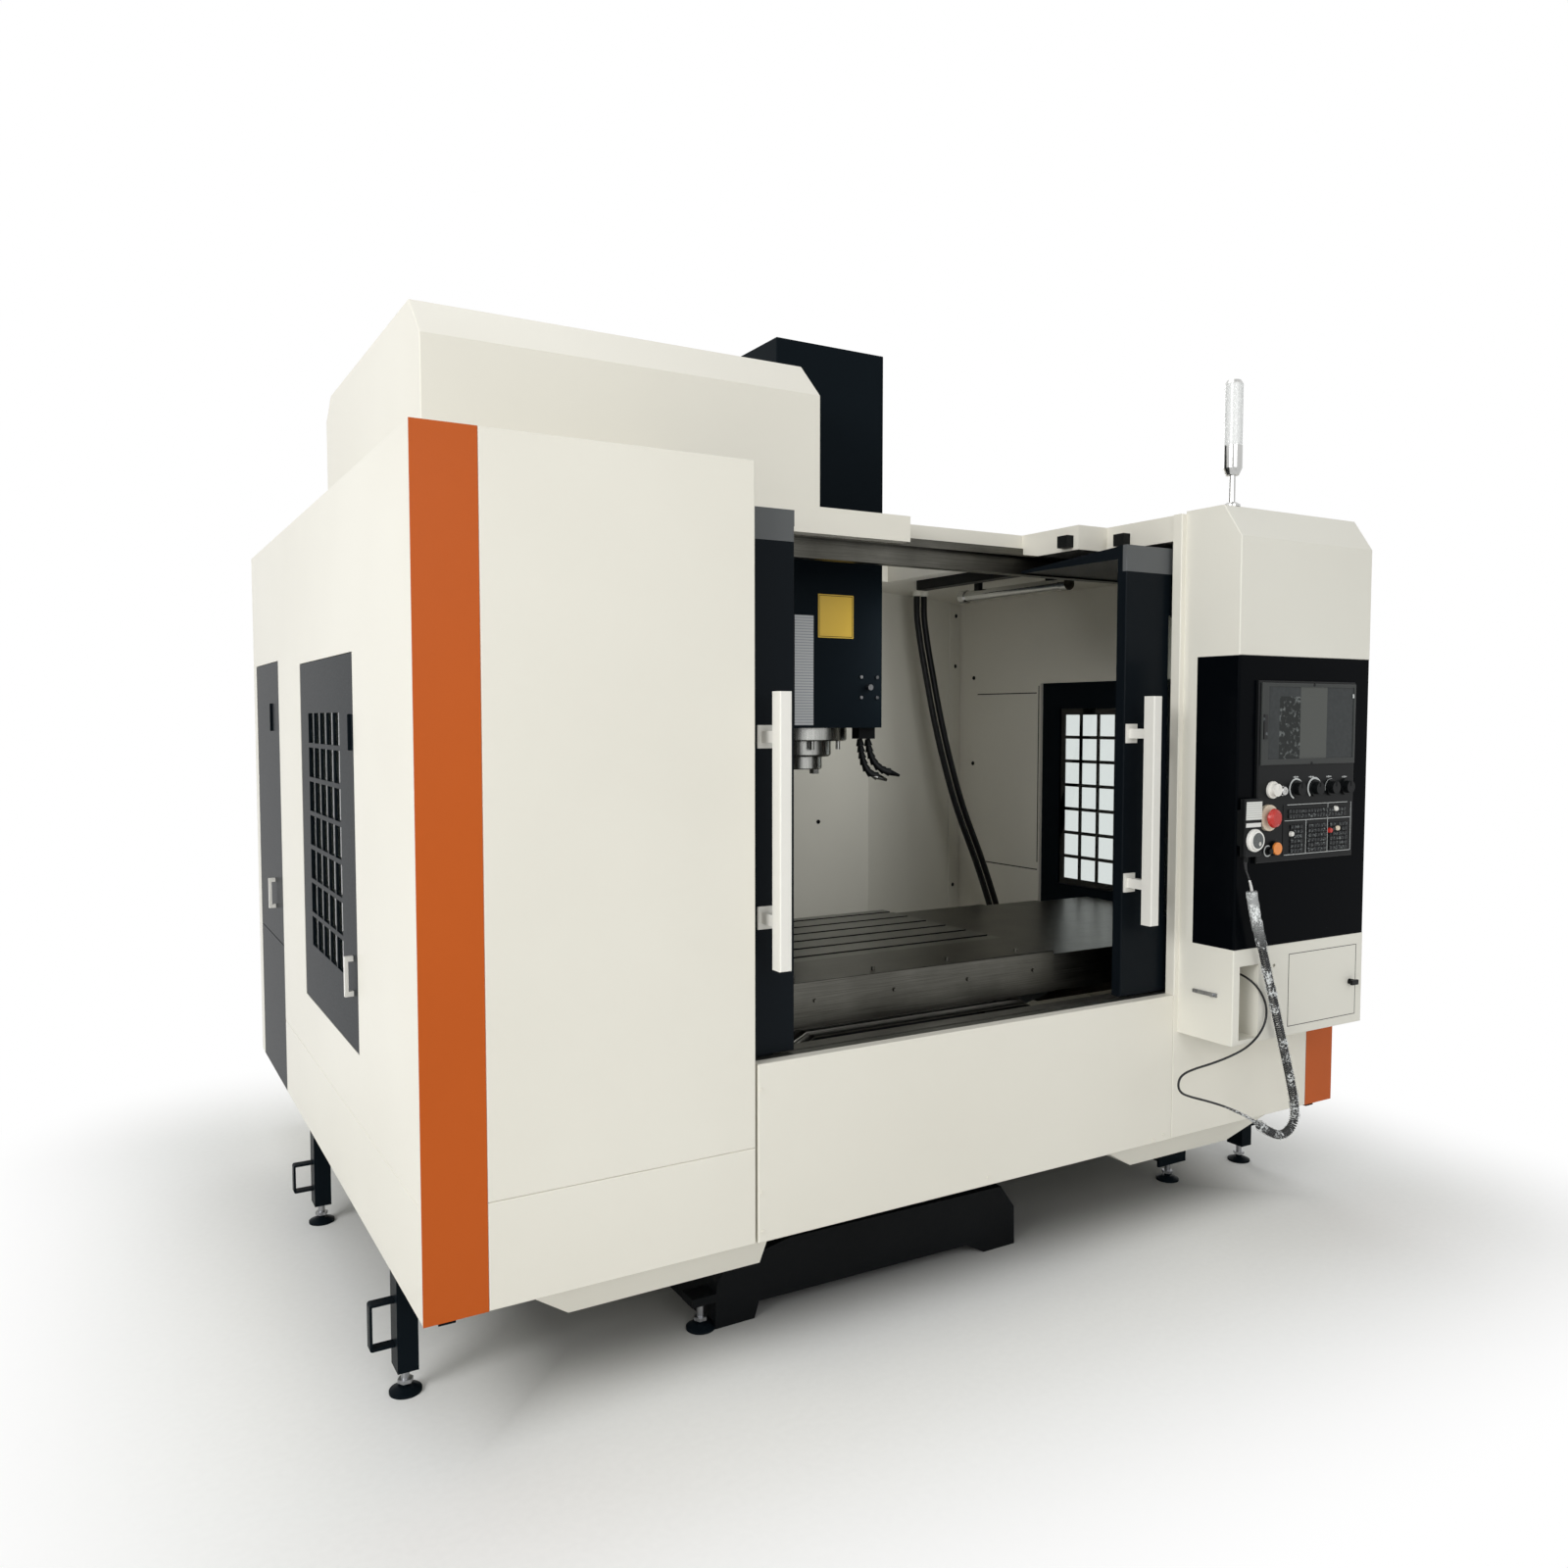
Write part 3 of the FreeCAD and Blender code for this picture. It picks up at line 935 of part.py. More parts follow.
def saddle_covers():
    """Cover sections and carriers that travel with the saddle."""
    shapes = y_cover(0)
    for side in (-1, 1):
        section = x_cover(2, side)
        outer = X_COVER_OUTER[(side + 1) // 2]
        wall = tuple(sorted((outer, outer - side * SHEET)))
        inset = 2 * COVER_STEP + SHEET
        end = block(wall, (X_COVER_Y[0] + inset, X_COVER_Y[1] - inset), (X_COVER_BOTTOM, X_COVER_TOP - inset))
        tab = block(wall, CARRIER_SPAN, (CARRIER_Z[0], X_COVER_BOTTOM))
        edge = MIDDLE + side * SADDLE_HALF
        reach = tuple(sorted((edge, outer - side * SHEET)))
        arms = [block(reach, (y, y + CARRIER_WIDTH), CARRIER_Z) for y in (CARRIER_SPAN[0],
                CARRIER_SPAN[1] - CARRIER_WIDTH)]
        shapes.append(joined(section, end, tab, *arms))
    return pieces(*shapes)


def table():
    """Table with its T-slots, four X guide blocks and the nut bracket."""
    bottom = TABLE_TOP - TABLE_THICK
    body = block(TABLE_X, TABLE_Y, (bottom, TABLE_TOP))
    rim = TABLE_RIM
    body = body.cut([block((TABLE_X[0] - 1, TABLE_X[1] + 1), y, (bottom - 1, bottom + rim * 1.6))
                     for y in ((TABLE_Y[0] - 1, TABLE_Y[0] + rim), (TABLE_Y[1] - rim, TABLE_Y[1] + 1))])
    slots = []
    for i in range(SLOT_COUNT):
        y = SLOT_FIRST + i * SLOT_PITCH
        span = (TABLE_X[0] - 1, TABLE_X[1] + 1)
        slots.append(block(span, (y - SLOT_WIDTH / 2, y + SLOT_WIDTH / 2),
                           (TABLE_TOP - SLOT_DEPTH, TABLE_TOP + 1)))
        slots.append(block(span, (y - SLOT_HEAD[0] / 2, y + SLOT_HEAD[0] / 2),
                           (TABLE_TOP - SLOT_DEPTH, TABLE_TOP - SLOT_DEPTH + SLOT_HEAD[1])))
    body = body.cut(slots)
    middle = sum(TABLE_X) / 2
    blocks = [guide_block("x", SADDLE_MID + side * X_RAIL_OFFSET, SADDLE_TOP, middle + way * TABLE_BLOCKS)
              for side in (-1, 1) for way in (-1, 1)]
    nut = block((middle - NUT_LENGTH / 2, middle + NUT_LENGTH / 2),
                (SADDLE_MID - NUT_RADIUS, SADDLE_MID + NUT_RADIUS), (X_SCREW_Z - NUT_RADIUS, bottom))
    nut = nut.cut(rod((middle - NUT_LENGTH, SADDLE_MID, X_SCREW_Z), SCREW_RADIUS + NUT_FIT,
                      2 * NUT_LENGTH, "x"))
    return joined(body, nut, *blocks)


def table_guards():
    """Folded guard in front of the table, and the cover sections on both ends of the table."""
    top = TABLE_TOP
    outer = block(TABLE_X, (DECK_FRONT, TABLE_Y[0]), (top - DECK_DROP, top))
    hollow = block((TABLE_X[0] - 1, TABLE_X[1] + 1), (DECK_FRONT + SHEET, TABLE_Y[0] - SHEET),
                   (top - DECK_DROP - 1, top - SHEET))
    deck = softened(outer, BEND * 2, lambda m: near(m.z, top) and near(m.y, DECK_FRONT)).cut(hollow)
    ends = [block(x, (DECK_FRONT + SHEET, TABLE_Y[0] - SHEET), (top - DECK_DROP, top - SHEET))
            for x in ((TABLE_X[0], TABLE_X[0] + SHEET), (TABLE_X[1] - SHEET, TABLE_X[1]))]
    studs = [rod((x, DECK_STUD_Y, top), STUD[0], STUD[1], "z") for x in DECK_STUDS]
    studs += [rod((x, DECK_FRONT, top - DECK_DROP * 0.42), STUD[0], -STUD[1] / 2, "y") for x in FRONT_STUDS]
    deck = joined(deck, *ends, *studs)
    return pieces(deck, x_cover(0, -1), x_cover(0, 1))


# ---- Spindle head ------------------------------------------------------------------------
def head_casting():
    """Head arm, rear plate, four Z guide blocks, nut bracket, spindle motor and hanging cover."""
    plate_rear = COLUMN_Y[0] - RAIL[1] - BLOCK_RISE
    arm = block((MIDDLE - HEAD_HALF, MIDDLE + HEAD_HALF), (HEAD_FRONT, plate_rear), HEAD_Z)
    arm = softened(arm, 30, lambda m: near(m.y, HEAD_FRONT) and not near(m.z, HEAD_Z[0])
                   and not near(m.z, HEAD_Z[1]))
    plate = block((MIDDLE - HEAD_PLATE_HALF, MIDDLE + HEAD_PLATE_HALF),
                  (plate_rear - HEAD_PLATE, plate_rear), HEAD_Z)
    gusset = prism([(plate_rear - HEAD_PLATE - 180, HEAD_Z[0]), (plate_rear - HEAD_PLATE, HEAD_Z[0]),
                    (plate_rear - HEAD_PLATE, HEAD_Z[1])], "x",
                   (MIDDLE - HEAD_HALF - 60, MIDDLE + HEAD_HALF + 60))
    blocks = [guide_block("z", MIDDLE + side * Z_RAIL_OFFSET, COLUMN_Y[0], z)
              for side in (-1, 1) for z in (HEAD_Z[0] + BLOCK[1] / 2, HEAD_Z[1] - BLOCK[1] / 2)]
    middle = sum(HEAD_Z) / 2
    nut = block((MIDDLE - NUT_RADIUS, MIDDLE + NUT_RADIUS), (plate_rear, Z_SCREW_Y + NUT_RADIUS),
                (middle - NUT_LENGTH / 2, middle + NUT_LENGTH / 2))
    nut = nut.cut(rod((MIDDLE, Z_SCREW_Y, middle - NUT_LENGTH), SCREW_RADIUS + NUT_FIT,
                      2 * NUT_LENGTH, "z"))
    half = SPINDLE_MOTOR[0] / 2
    drive = block((MIDDLE - half, MIDDLE + half), (SPINDLE_Y - half, SPINDLE_Y + half),
                  (HEAD_Z[1], HEAD_Z[1] + SPINDLE_MOTOR[1]))
    drive = softened(drive, 24, lambda m: near(abs(m.x - MIDDLE), half) and near(abs(m.y - SPINDLE_Y), half))
    bore = rod((MIDDLE, SPINDLE_Y, HEAD_Z[0] - 1), CARTRIDGE_RADIUS + CARTRIDGE_FIT,
               CARTRIDGE_TOP - HEAD_Z[0] + 1, "z")
    return joined(arm.cut(bore), plate, gusset, nut, drive, *blocks)


def head_cover():
    """Tall cover of the head, open at the rear round the arm, with a ring hole below."""
    outer = softened(block(HEAD_COVER_X, HEAD_COVER_Y, HEAD_COVER_Z), BEND,
                     lambda m: not near(m.z, HEAD_COVER_Z[0]))
    inner = block((HEAD_COVER_X[0] + SHEET, HEAD_COVER_X[1] - SHEET),
                  (HEAD_COVER_Y[0] + SHEET, HEAD_COVER_Y[1] - SHEET),
                  (HEAD_Z[0], HEAD_COVER_Z[1] - SHEET))
    ring = rod((MIDDLE, SPINDLE_Y, HEAD_COVER_Z[0] - 1), CARTRIDGE_FLANGE[0] + TOUCH, SHEET + 2, "z")
    gap = block((MIDDLE - HEAD_HALF - TOUCH, MIDDLE + HEAD_HALF + TOUCH),
                (HEAD_COVER_Y[1] - SHEET - 1, HEAD_COVER_Y[1] + 1), (HEAD_COVER_Z[0] - 1, HEAD_Z[1] + TOUCH))
    return outer.cut([inner, ring, gap])


def head_details():
    """Blank plates, four screws and the air outlet on the head cover's front."""
    face = HEAD_COVER_Y[0]
    plates = [block(x, (face - HEAD_LABEL, face), z) for x, z in (WARNING_PLATE, STRIPED_PLATE)]
    screws = [rod((x, face, z), 5, -4, "y") for x in HEAD_SCREW_X for z in HEAD_SCREW_Z]
    outlet = rod((AIR_OUTLET[0], face, AIR_OUTLET[1]), 9, -16, "y")
    return plates + screws + [outlet]


def spindle_cartridge():
    """Flanged cartridge with its stepped nose and the bore of the spindle."""
    bore = SPINDLE_BORE + SPINDLE_FIT
    low = CARTRIDGE_NOSE[1]
    flange_r, flange_z = CARTRIDGE_FLANGE
    outline = [(bore, low), (CARTRIDGE_NOSE[0] - 6, low), (CARTRIDGE_NOSE[0], low + 6),
               (CARTRIDGE_NOSE[0], flange_z), (flange_r - 4, flange_z), (flange_r, flange_z + 4),
               (flange_r, HEAD_Z[0]), (CARTRIDGE_RADIUS, HEAD_Z[0]), (CARTRIDGE_RADIUS, CARTRIDGE_TOP),
               (bore, CARTRIDGE_TOP)]
    body = turned(outline, (MIDDLE, SPINDLE_Y))
    jets = []
    for i in range(JET_COUNT):
        angle = math.radians(JET_START + i * 360 / JET_COUNT)
        ring = (CARTRIDGE_NOSE[0] + flange_r) / 2
        jets.append(rod((MIDDLE + ring * math.cos(angle), SPINDLE_Y + ring * math.sin(angle), flange_z),
                        JET[0], -JET[1], "z"))
    return joined(body, *jets)


def spindle():
    """Rotating spindle with its nose, drive keys and tapered bore."""
    low = SPINDLE_NOSE[1]
    nose = SPINDLE_NOSE[0]
    outline = [(TAPER[0], low), (nose - 3, low), (nose, low + 3), (nose, CARTRIDGE_NOSE[1] - TOUCH),
               (SPINDLE_BORE, CARTRIDGE_NOSE[1] - TOUCH), (SPINDLE_BORE, CARTRIDGE_TOP - 12),
               (TAPER[1], CARTRIDGE_TOP - 12), (TAPER[1], low + TAPER[2])]
    body = turned(outline, (MIDDLE, SPINDLE_Y))
    half = SPINDLE_KEY[0] / 2
    keys = [block((MIDDLE + a, MIDDLE + b), (SPINDLE_Y - half, SPINDLE_Y + half),
                  (low - SPINDLE_KEY[1], low + 1))
            for a, b in ((-nose + 6, -TAPER[0] - 4), (TAPER[0] + 4, nose - 6))]
    return joined(body, *keys)


def coolant_nozzles():
    """Two jointed coolant hoses of flared links, hanging from a block under the head cover."""
    base_x, base_y = NOZZLE_BASE
    top = HEAD_COVER_Z[0]
    base = block((base_x - 30, base_x + 28), (base_y - 20, base_y + 20), (top - 34, top))
    shapes = [base]
    for x, turns in ((base_x - 15, NOZZLE_TURNS[0]), (base_x + 14, NOZZLE_TURNS[1])):
        point = V(x, base_y, top - 35)
        lean = 0.0
        for turn in turns:
            lean += turn
            way = V(math.sin(math.radians(lean)), -0.15, -math.cos(math.radians(lean)))
            shapes.append(Part.makeCone(NOZZLE_BALL * 0.6, NOZZLE_BALL, NOZZLE_LINK * 1.1, point, way))
            point = point + way * NOZZLE_LINK
        shapes.append(Part.makeCone(NOZZLE_BALL * 0.8, NOZZLE_BALL * 0.35, NOZZLE_LINK * 2, point, way))
    return joined(*shapes)


# ---- Tool magazine -----------------------------------------------------------------------
def tool_disc():
    """Disc of tool pockets with lightening holes, turning about its hub."""
    disc = rod((DISC_X[0], SPINDLE_Y, DISC_CENTRE_Z), DISC_RADIUS, DISC_X[1] - DISC_X[0], "x")
    hub = rod((DISC_X[0] - HUB_REACH, SPINDLE_Y, DISC_CENTRE_Z), HUB_RADIUS,
              HUB_REACH + POCKET_LENGTH * 0.6, "x")
    shapes = [hub]
    holes = []
    for i in range(POCKET_COUNT):
        angle = 2 * math.pi * (i + 0.5) / POCKET_COUNT
        y = SPINDLE_Y + POCKET_RING * math.cos(angle)
        z = DISC_CENTRE_Z + POCKET_RING * math.sin(angle)
        shapes.append(rod((DISC_X[1], y, z), POCKET_RADIUS, POCKET_LENGTH, "x"))
    for i in range(DISC_HOLES):
        angle = 2 * math.pi * i / DISC_HOLES
        holes.append(rod((DISC_X[0] - 1, SPINDLE_Y + DISC_HOLE_RING * math.cos(angle),
                          DISC_CENTRE_Z + DISC_HOLE_RING * math.sin(angle)), DISC_HOLE, 40, "x"))
    shaft = rod((DISC_X[0] - HUB_REACH - 1, SPINDLE_Y, DISC_CENTRE_Z), AXLE + AXLE_FIT,
                HUB_REACH + POCKET_LENGTH, "x")
    return joined(disc, *shapes).cut(holes + [shaft])


def magazine_frame():
    """Frame from the column to the disc's axle, and the drive box of the change arm."""
    column_side = MIDDLE - COLUMN_HALF
    plate = block(FRAME_X, (SPINDLE_Y - FRAME_HALF, COLUMN_Y[0] + FRAME_SEAT), FRAME_Z)
    lobe = rod((FRAME_X[0], SPINDLE_Y, DISC_CENTRE_Z), HUB_RADIUS * 2, FRAME_X[1] - FRAME_X[0], "x")
    axle = rod((FRAME_X[1], SPINDLE_Y, DISC_CENTRE_Z), AXLE, AXLE_REACH, "x")
    cap = rod((DISC_X[0] - HUB_REACH - TOUCH, SPINDLE_Y, DISC_CENTRE_Z), AXLE + 16,
              FRAME_X[1] - DISC_X[0] + HUB_REACH + TOUCH, "x")
    cross = block((FRAME_X[1], column_side), (COLUMN_Y[0] + 10, COLUMN_Y[0] + FRAME_SEAT), FRAME_Z)
    beam = block(ARM_BEAM_X, (SPINDLE_Y + ARM_BOX[1] / 2, COLUMN_Y[0] + FRAME_SEAT), ARM_BEAM_Z)
    seat = block((ARM_BEAM_X[0], column_side), (COLUMN_Y[0] + 10, COLUMN_Y[0] + FRAME_SEAT), ARM_BEAM_Z)
    box = block((ARM_X - ARM_BOX[0] / 2, ARM_X + ARM_BOX[0] / 2),
                (SPINDLE_Y - ARM_BOX[1] / 2, SPINDLE_Y + ARM_BOX[1] / 2),
                (ARM_BOX_LOW, ARM_BOX_LOW + ARM_BOX[2]))
    tie = block((ARM_BEAM_X[0], ARM_X - ARM_BOX[0] / 2 + 1),
                (SPINDLE_Y - ARM_BOX[1] / 2, SPINDLE_Y + ARM_BOX[1] / 2), ARM_BEAM_Z)
    collar = rod((ARM_X, SPINDLE_Y, ARM_BOX_LOW - ARM_COLLAR[1]), ARM_COLLAR[0], ARM_COLLAR[1], "z")
    bore = rod((ARM_X, SPINDLE_Y, ARM_BOX_LOW - ARM_COLLAR[1] - 1), ARM_SHAFT + SPINDLE_FIT,
               ARM_COLLAR[1] + ARM_SOCKET + 1, "z")
    frame = joined(plate, lobe, axle, cap, cross, seat)
    drive = joined(box, beam, tie, seat, collar).cut(bore)
    return joined(frame, drive)


def tool_arm():
    """Two-handed tool change arm on its shaft, parked clear of the head."""
    low, high = ARM_Z
    half = ARM_WIDTH / 2
    bar = block((ARM_X - half * 0.8, ARM_X + half * 0.8),
                (SPINDLE_Y - ARM_REACH, SPINDLE_Y + ARM_REACH), ARM_Z)
    hub = rod((ARM_X, SPINDLE_Y, low), ARM_SHAFT + 14, high - low, "z")
    heads = []
    mouths = []
    for side in (-1, 1):
        centre = (ARM_X, SPINDLE_Y + side * ARM_REACH, low)
        heads.append(rod(centre, ARM_GRIP + 16, high - low, "z"))
        mouths.append(rod((centre[0], centre[1], low - 1), ARM_GRIP, high - low + 2, "z"))
        y = tuple(sorted((centre[1], centre[1] + side * (ARM_GRIP + 20))))
        mouths.append(block((ARM_X - ARM_GRIP * 0.85, ARM_X + ARM_GRIP * 0.85), y, (low - 1, high + 1)))
    shaft = rod((ARM_X, SPINDLE_Y, high - 1), ARM_SHAFT,
                ARM_BOX_LOW + ARM_SOCKET - high - TOUCH, "z")
    return joined(bar, hub, *heads).cut(mouths).fuse(shaft).removeSplitter()


# ---- Sliding doors -----------------------------------------------------------------------
def door_frame():
    """Left door, opened: leaf with the glass opening, bottom shoes and the roof wing."""
    x = (DOOR_LEFT_EDGE - DOOR_WIDTH, DOOR_LEFT_EDGE)
    leaf = block(x, DOOR_Y, DOOR_Z)
    leaf = softened(leaf, BEND, lambda m: near(m.y, DOOR_Y[0]))
    sight = block((x[0] + GLASS_TRAIL, x[1] - GLASS_LEAD), (DOOR_Y[0] - 1, DOOR_Y[1] + 1), GLASS_Z)
    rebate = glass_block(x, GLASS_REBATE, DOOR_Y[1] + 1)
    wing = prism([(DOOR_Y[0], DOOR_Z[1]), (WING_REAR, DOOR_Z[1] - WING_DROP),
                  (WING_REAR, DOOR_Z[1] - WING_DROP - WING_THICK),
                  (DOOR_Y[0], DOOR_Z[1] - WING_DROP - WING_THICK)], "x", x)
    low = APRON_TOP - GROOVE_DEPTH + TOUCH
    middle = sum(DOOR_Y) / 2
    shoes = [block((at - SHOE[0] * 2, at + SHOE[0] * 2), (middle - SHOE[1] / 2, middle + SHOE[1] / 2),
                   (low, DOOR_Z[0])) for at in (x[0] + 90, x[1] - 90)]
    return joined(leaf.cut([sight, rebate]), wing, *shoes)


def glass_block(x, margin, rear):
    """Block of the door glass, larger than the sight opening by margin."""
    return block((x[0] + GLASS_TRAIL - margin, x[1] - GLASS_LEAD + margin),
                 (DOOR_Y[1] - GLASS_THICK, rear), (GLASS_Z[0] - margin, GLASS_Z[1] + margin))


def door_glass():
    """Pane of the left door in its rebate."""
    x = (DOOR_LEFT_EDGE - DOOR_WIDTH, DOOR_LEFT_EDGE)
    return glass_block(x, GLASS_REBATE - TOUCH, DOOR_Y[1])


def door_handle(left):
    """Long bar handle on two standoffs; left is the bar's left side."""
    x = (left, left + HANDLE_BAR[0])
    bar = block(x, (HANDLE_Y, HANDLE_Y + HANDLE_BAR[1]), HANDLE_Z)
    bar = softened(bar, BEND, lambda m: near(m.y, HANDLE_Y))
    middle = sum(x) / 2
    arms = [block((middle - STANDOFF[0] / 2, middle + STANDOFF[0] / 2),
                  (HANDLE_Y + HANDLE_BAR[1], DOOR_Y[0]), (z - STANDOFF[1] / 2, z + STANDOFF[1] / 2))
            for z in STANDOFF_Z]
    feet = [block((middle - STANDOFF[0], middle + STANDOFF[0]), (DOOR_Y[0] - 5, DOOR_Y[0]),
                  (z - STANDOFF[1], z + STANDOFF[1])) for z in STANDOFF_Z]
    return joined(bar, *arms, *feet)


# ---- Swinging doors ----------------------------------------------------------------------
def leaf(y, z):
    """Swinging leaf of the left side, its rear edge round about its pivot pins."""
    x = (-HALF_WIDTH, -HALF_WIDTH + 2 * PIVOT_EDGE)
    body = block(x, y, z)
    body = softened(body, PIVOT_EDGE - 0.01, lambda m: near(m.y, y[1]) and not near(m.z, z[0])
                    and not near(m.z, z[1]))
    pins = pivot_pins((x[0] + PIVOT_EDGE, y[1] - PIVOT_EDGE), z, PIVOT_PIN, PIVOT_DEPTH)
    return joined(body, pins)


def pull_handle(y, z):
    """Bow handle on a leaf's outer face."""
    face = -HALF_WIDTH
    bar = PULL[0]
    outline = [(face, z[0]), (face - PULL[1], z[0]), (face - PULL[1], z[1]), (face, z[1]),
               (face, z[1] - bar), (face - PULL[1] + bar * 0.7, z[1] - bar),
               (face - PULL[1] + bar * 0.7, z[0] + bar), (face, z[0] + bar)]
    return prism(outline, "y", (y - bar / 2, y + bar / 2))


def latch(y, z):
    """Flat latch on a leaf's outer face."""
    body = block((-HALF_WIDTH - 7, -HALF_WIDTH), (y - 11, y + 11), z)
    return softened(body, 2, lambda m: near(m.x, -HALF_WIDTH - 7))


def window_door():
    """Side door with its punched grid and the pane behind it."""
    body = leaf(WINDOW_Y, WINDOW_Z)
    width = (GRID_Y[1] - GRID_Y[0] + GRID_BAR) / WINDOW_COLUMNS
    height = (GRID_Z[1] - GRID_Z[0] + GRID_BAR) / WINDOW_ROWS
    outer = -HALF_WIDTH
    inner = outer + 2 * PIVOT_EDGE
    holes = [block((outer - 1, inner + 1),
                   (GRID_Y[0] + c * width, GRID_Y[0] + (c + 1) * width - GRID_BAR),
                   (GRID_Z[0] + r * height, GRID_Z[0] + (r + 1) * height - GRID_BAR))
             for c in range(WINDOW_COLUMNS) for r in range(WINDOW_ROWS)]
    margin = GRID_BAR * 2
    field = ((GRID_Y[0] - margin, GRID_Y[1] + margin), (GRID_Z[0] - margin, GRID_Z[1] + margin))
    recess = block((inner - GRID_RECESS, inner + 1), *field)
    pane = block((inner - GRID_RECESS, inner - GRID_RECESS + PANE), (field[0][0] + TOUCH, field[0][1] - TOUCH),
                 (field[1][0] + TOUCH, field[1][1] - TOUCH))
    body = body.cut(holes + [recess])
    handle = pull_handle(WINDOW_Y[0] + 54, WINDOW_PULL_Z)
    lock = latch(WINDOW_Y[0] + 38, WINDOW_LATCH_Z)
    return [joined(body, handle, lock), pane]


def cabinet_door():
    """Door of the electrical cabinet, with a seam, a pull and a latch."""
    body = leaf(CABINET_DOOR_Y, CABINET_DOOR_Z)
    seam = block((-HALF_WIDTH - 1, -HALF_WIDTH + 1.5), (CABINET_DOOR_Y[0] - 1, CABINET_DOOR_Y[1] + 1),
                 (CABINET_SEAM - 2, CABINET_SEAM + 2))
    handle = pull_handle(CABINET_PULL_Y, CABINET_PULL_Z)
    return joined(body.cut(seam), handle, latch(CABINET_PULL_Y - 8, CABINET_LATCH_Z))


# ---- Control -----------------------------------------------------------------------------
def control_housing():
    """White housing: back part, chamfered top box, and base box with its pocket and door rebate."""
    x = HOUSING_X
    front = HOUSING_FRONT
    low, high = HOUSING_Z
    outline = [(0, low), (front, low), (front, CASE_Z[0]), (-HOUSING_PLATE, CASE_Z[0]),
               (-HOUSING_PLATE, CASE_Z[1]), (front, CASE_Z[1]), (front, high - HOOD_CHAMFER[1]),
               (front + HOOD_CHAMFER[0], high), (0, high)]
    body = prism(outline, "x", x)
    body = softened(body, BEND, lambda m: near(m.y, front) or near(m.y, front + HOOD_CHAMFER[0])
                    or near(m.y, front + HOOD_CHAMFER[0] / 2))
    pocket = block(POCKET_X, (front - 1, POCKET_REAR), POCKET_Z)
    rebate = block((BASE_DOOR_X[0] - SEAM * 2, BASE_DOOR_X[1] + SEAM * 2),
                   (front - 1, front + BASE_DOOR_THICK + TOUCH),
                   (BASE_DOOR_Z[0] - SEAM * 2, BASE_DOOR_Z[1] + SEAM * 2))
    locker = block((BASE_DOOR_X[0] + 20, BASE_DOOR_X[1] - 20), (front, -HOUSING_PLATE),
                   (BASE_DOOR_Z[0] + 16, BASE_DOOR_Z[1] - 16))
    eye = rod((EYE[0], front - 1, EYE[1]), 5, 30, "y")
    bores = [rod((BASE_DOOR_X[0] + base_pivot(), front + base_pivot(), z), BASE_PIN + PIVOT_FIT, 14, "z")
             for z in (BASE_DOOR_Z[0] - 10, BASE_DOOR_Z[1] - 4)]
    body = body.cut([pocket, rebate, locker, eye] + bores)
    lock = block((x[0] - 6, x[0]), (HOUSING_LATCH_Y[0], HOUSING_LATCH_Y[1]), HOUSING_LATCH_Z)
    knob = rod((x[0] - 6, HOUSING_LATCH_Y[0] + 12, sum(HOUSING_LATCH_Z) / 2), 5, -7, "x")
    return joined(body, lock, knob)


def base_pivot():
    """Distance of the base door's pivot line from its edge and its face."""
    return BASE_DOOR_THICK / 2


def base_box_door():
    """Small door of the base box with its knob, round along its hinge edge."""
    y = (HOUSING_FRONT, HOUSING_FRONT + BASE_DOOR_THICK)
    body = block(BASE_DOOR_X, y, BASE_DOOR_Z)
    body = softened(body, base_pivot() - 0.01, lambda m: near(m.x, BASE_DOOR_X[0])
                    and not near(m.z, BASE_DOOR_Z[0]) and not near(m.z, BASE_DOOR_Z[1]))
    pin = rod((BASE_DOOR_X[0] + base_pivot(), y[0] + base_pivot(), BASE_DOOR_Z[0] - 8), BASE_PIN,
              BASE_DOOR_Z[1] - BASE_DOOR_Z[0] + 16, "z")
    knob = rod((BASE_KNOB[0], y[0], BASE_KNOB[1]), 8, -14, "y")
    grip = block((BASE_KNOB[0] - 14, BASE_KNOB[0] + 14), (y[0] - 20, y[0] - 13),
                 (BASE_KNOB[1] - 7, BASE_KNOB[1] + 7))
    return joined(body, pin, knob, grip)


def control_case():
    """Black case between the housing's top and base boxes."""
    body = block(HOUSING_X, (HOUSING_FRONT, -HOUSING_PLATE), CASE_Z)
    return softened(body, 2 * BEND, lambda m: near(m.y, HOUSING_FRONT) and not near(m.z, CASE_Z[0])
                    and not near(m.z, CASE_Z[1]))


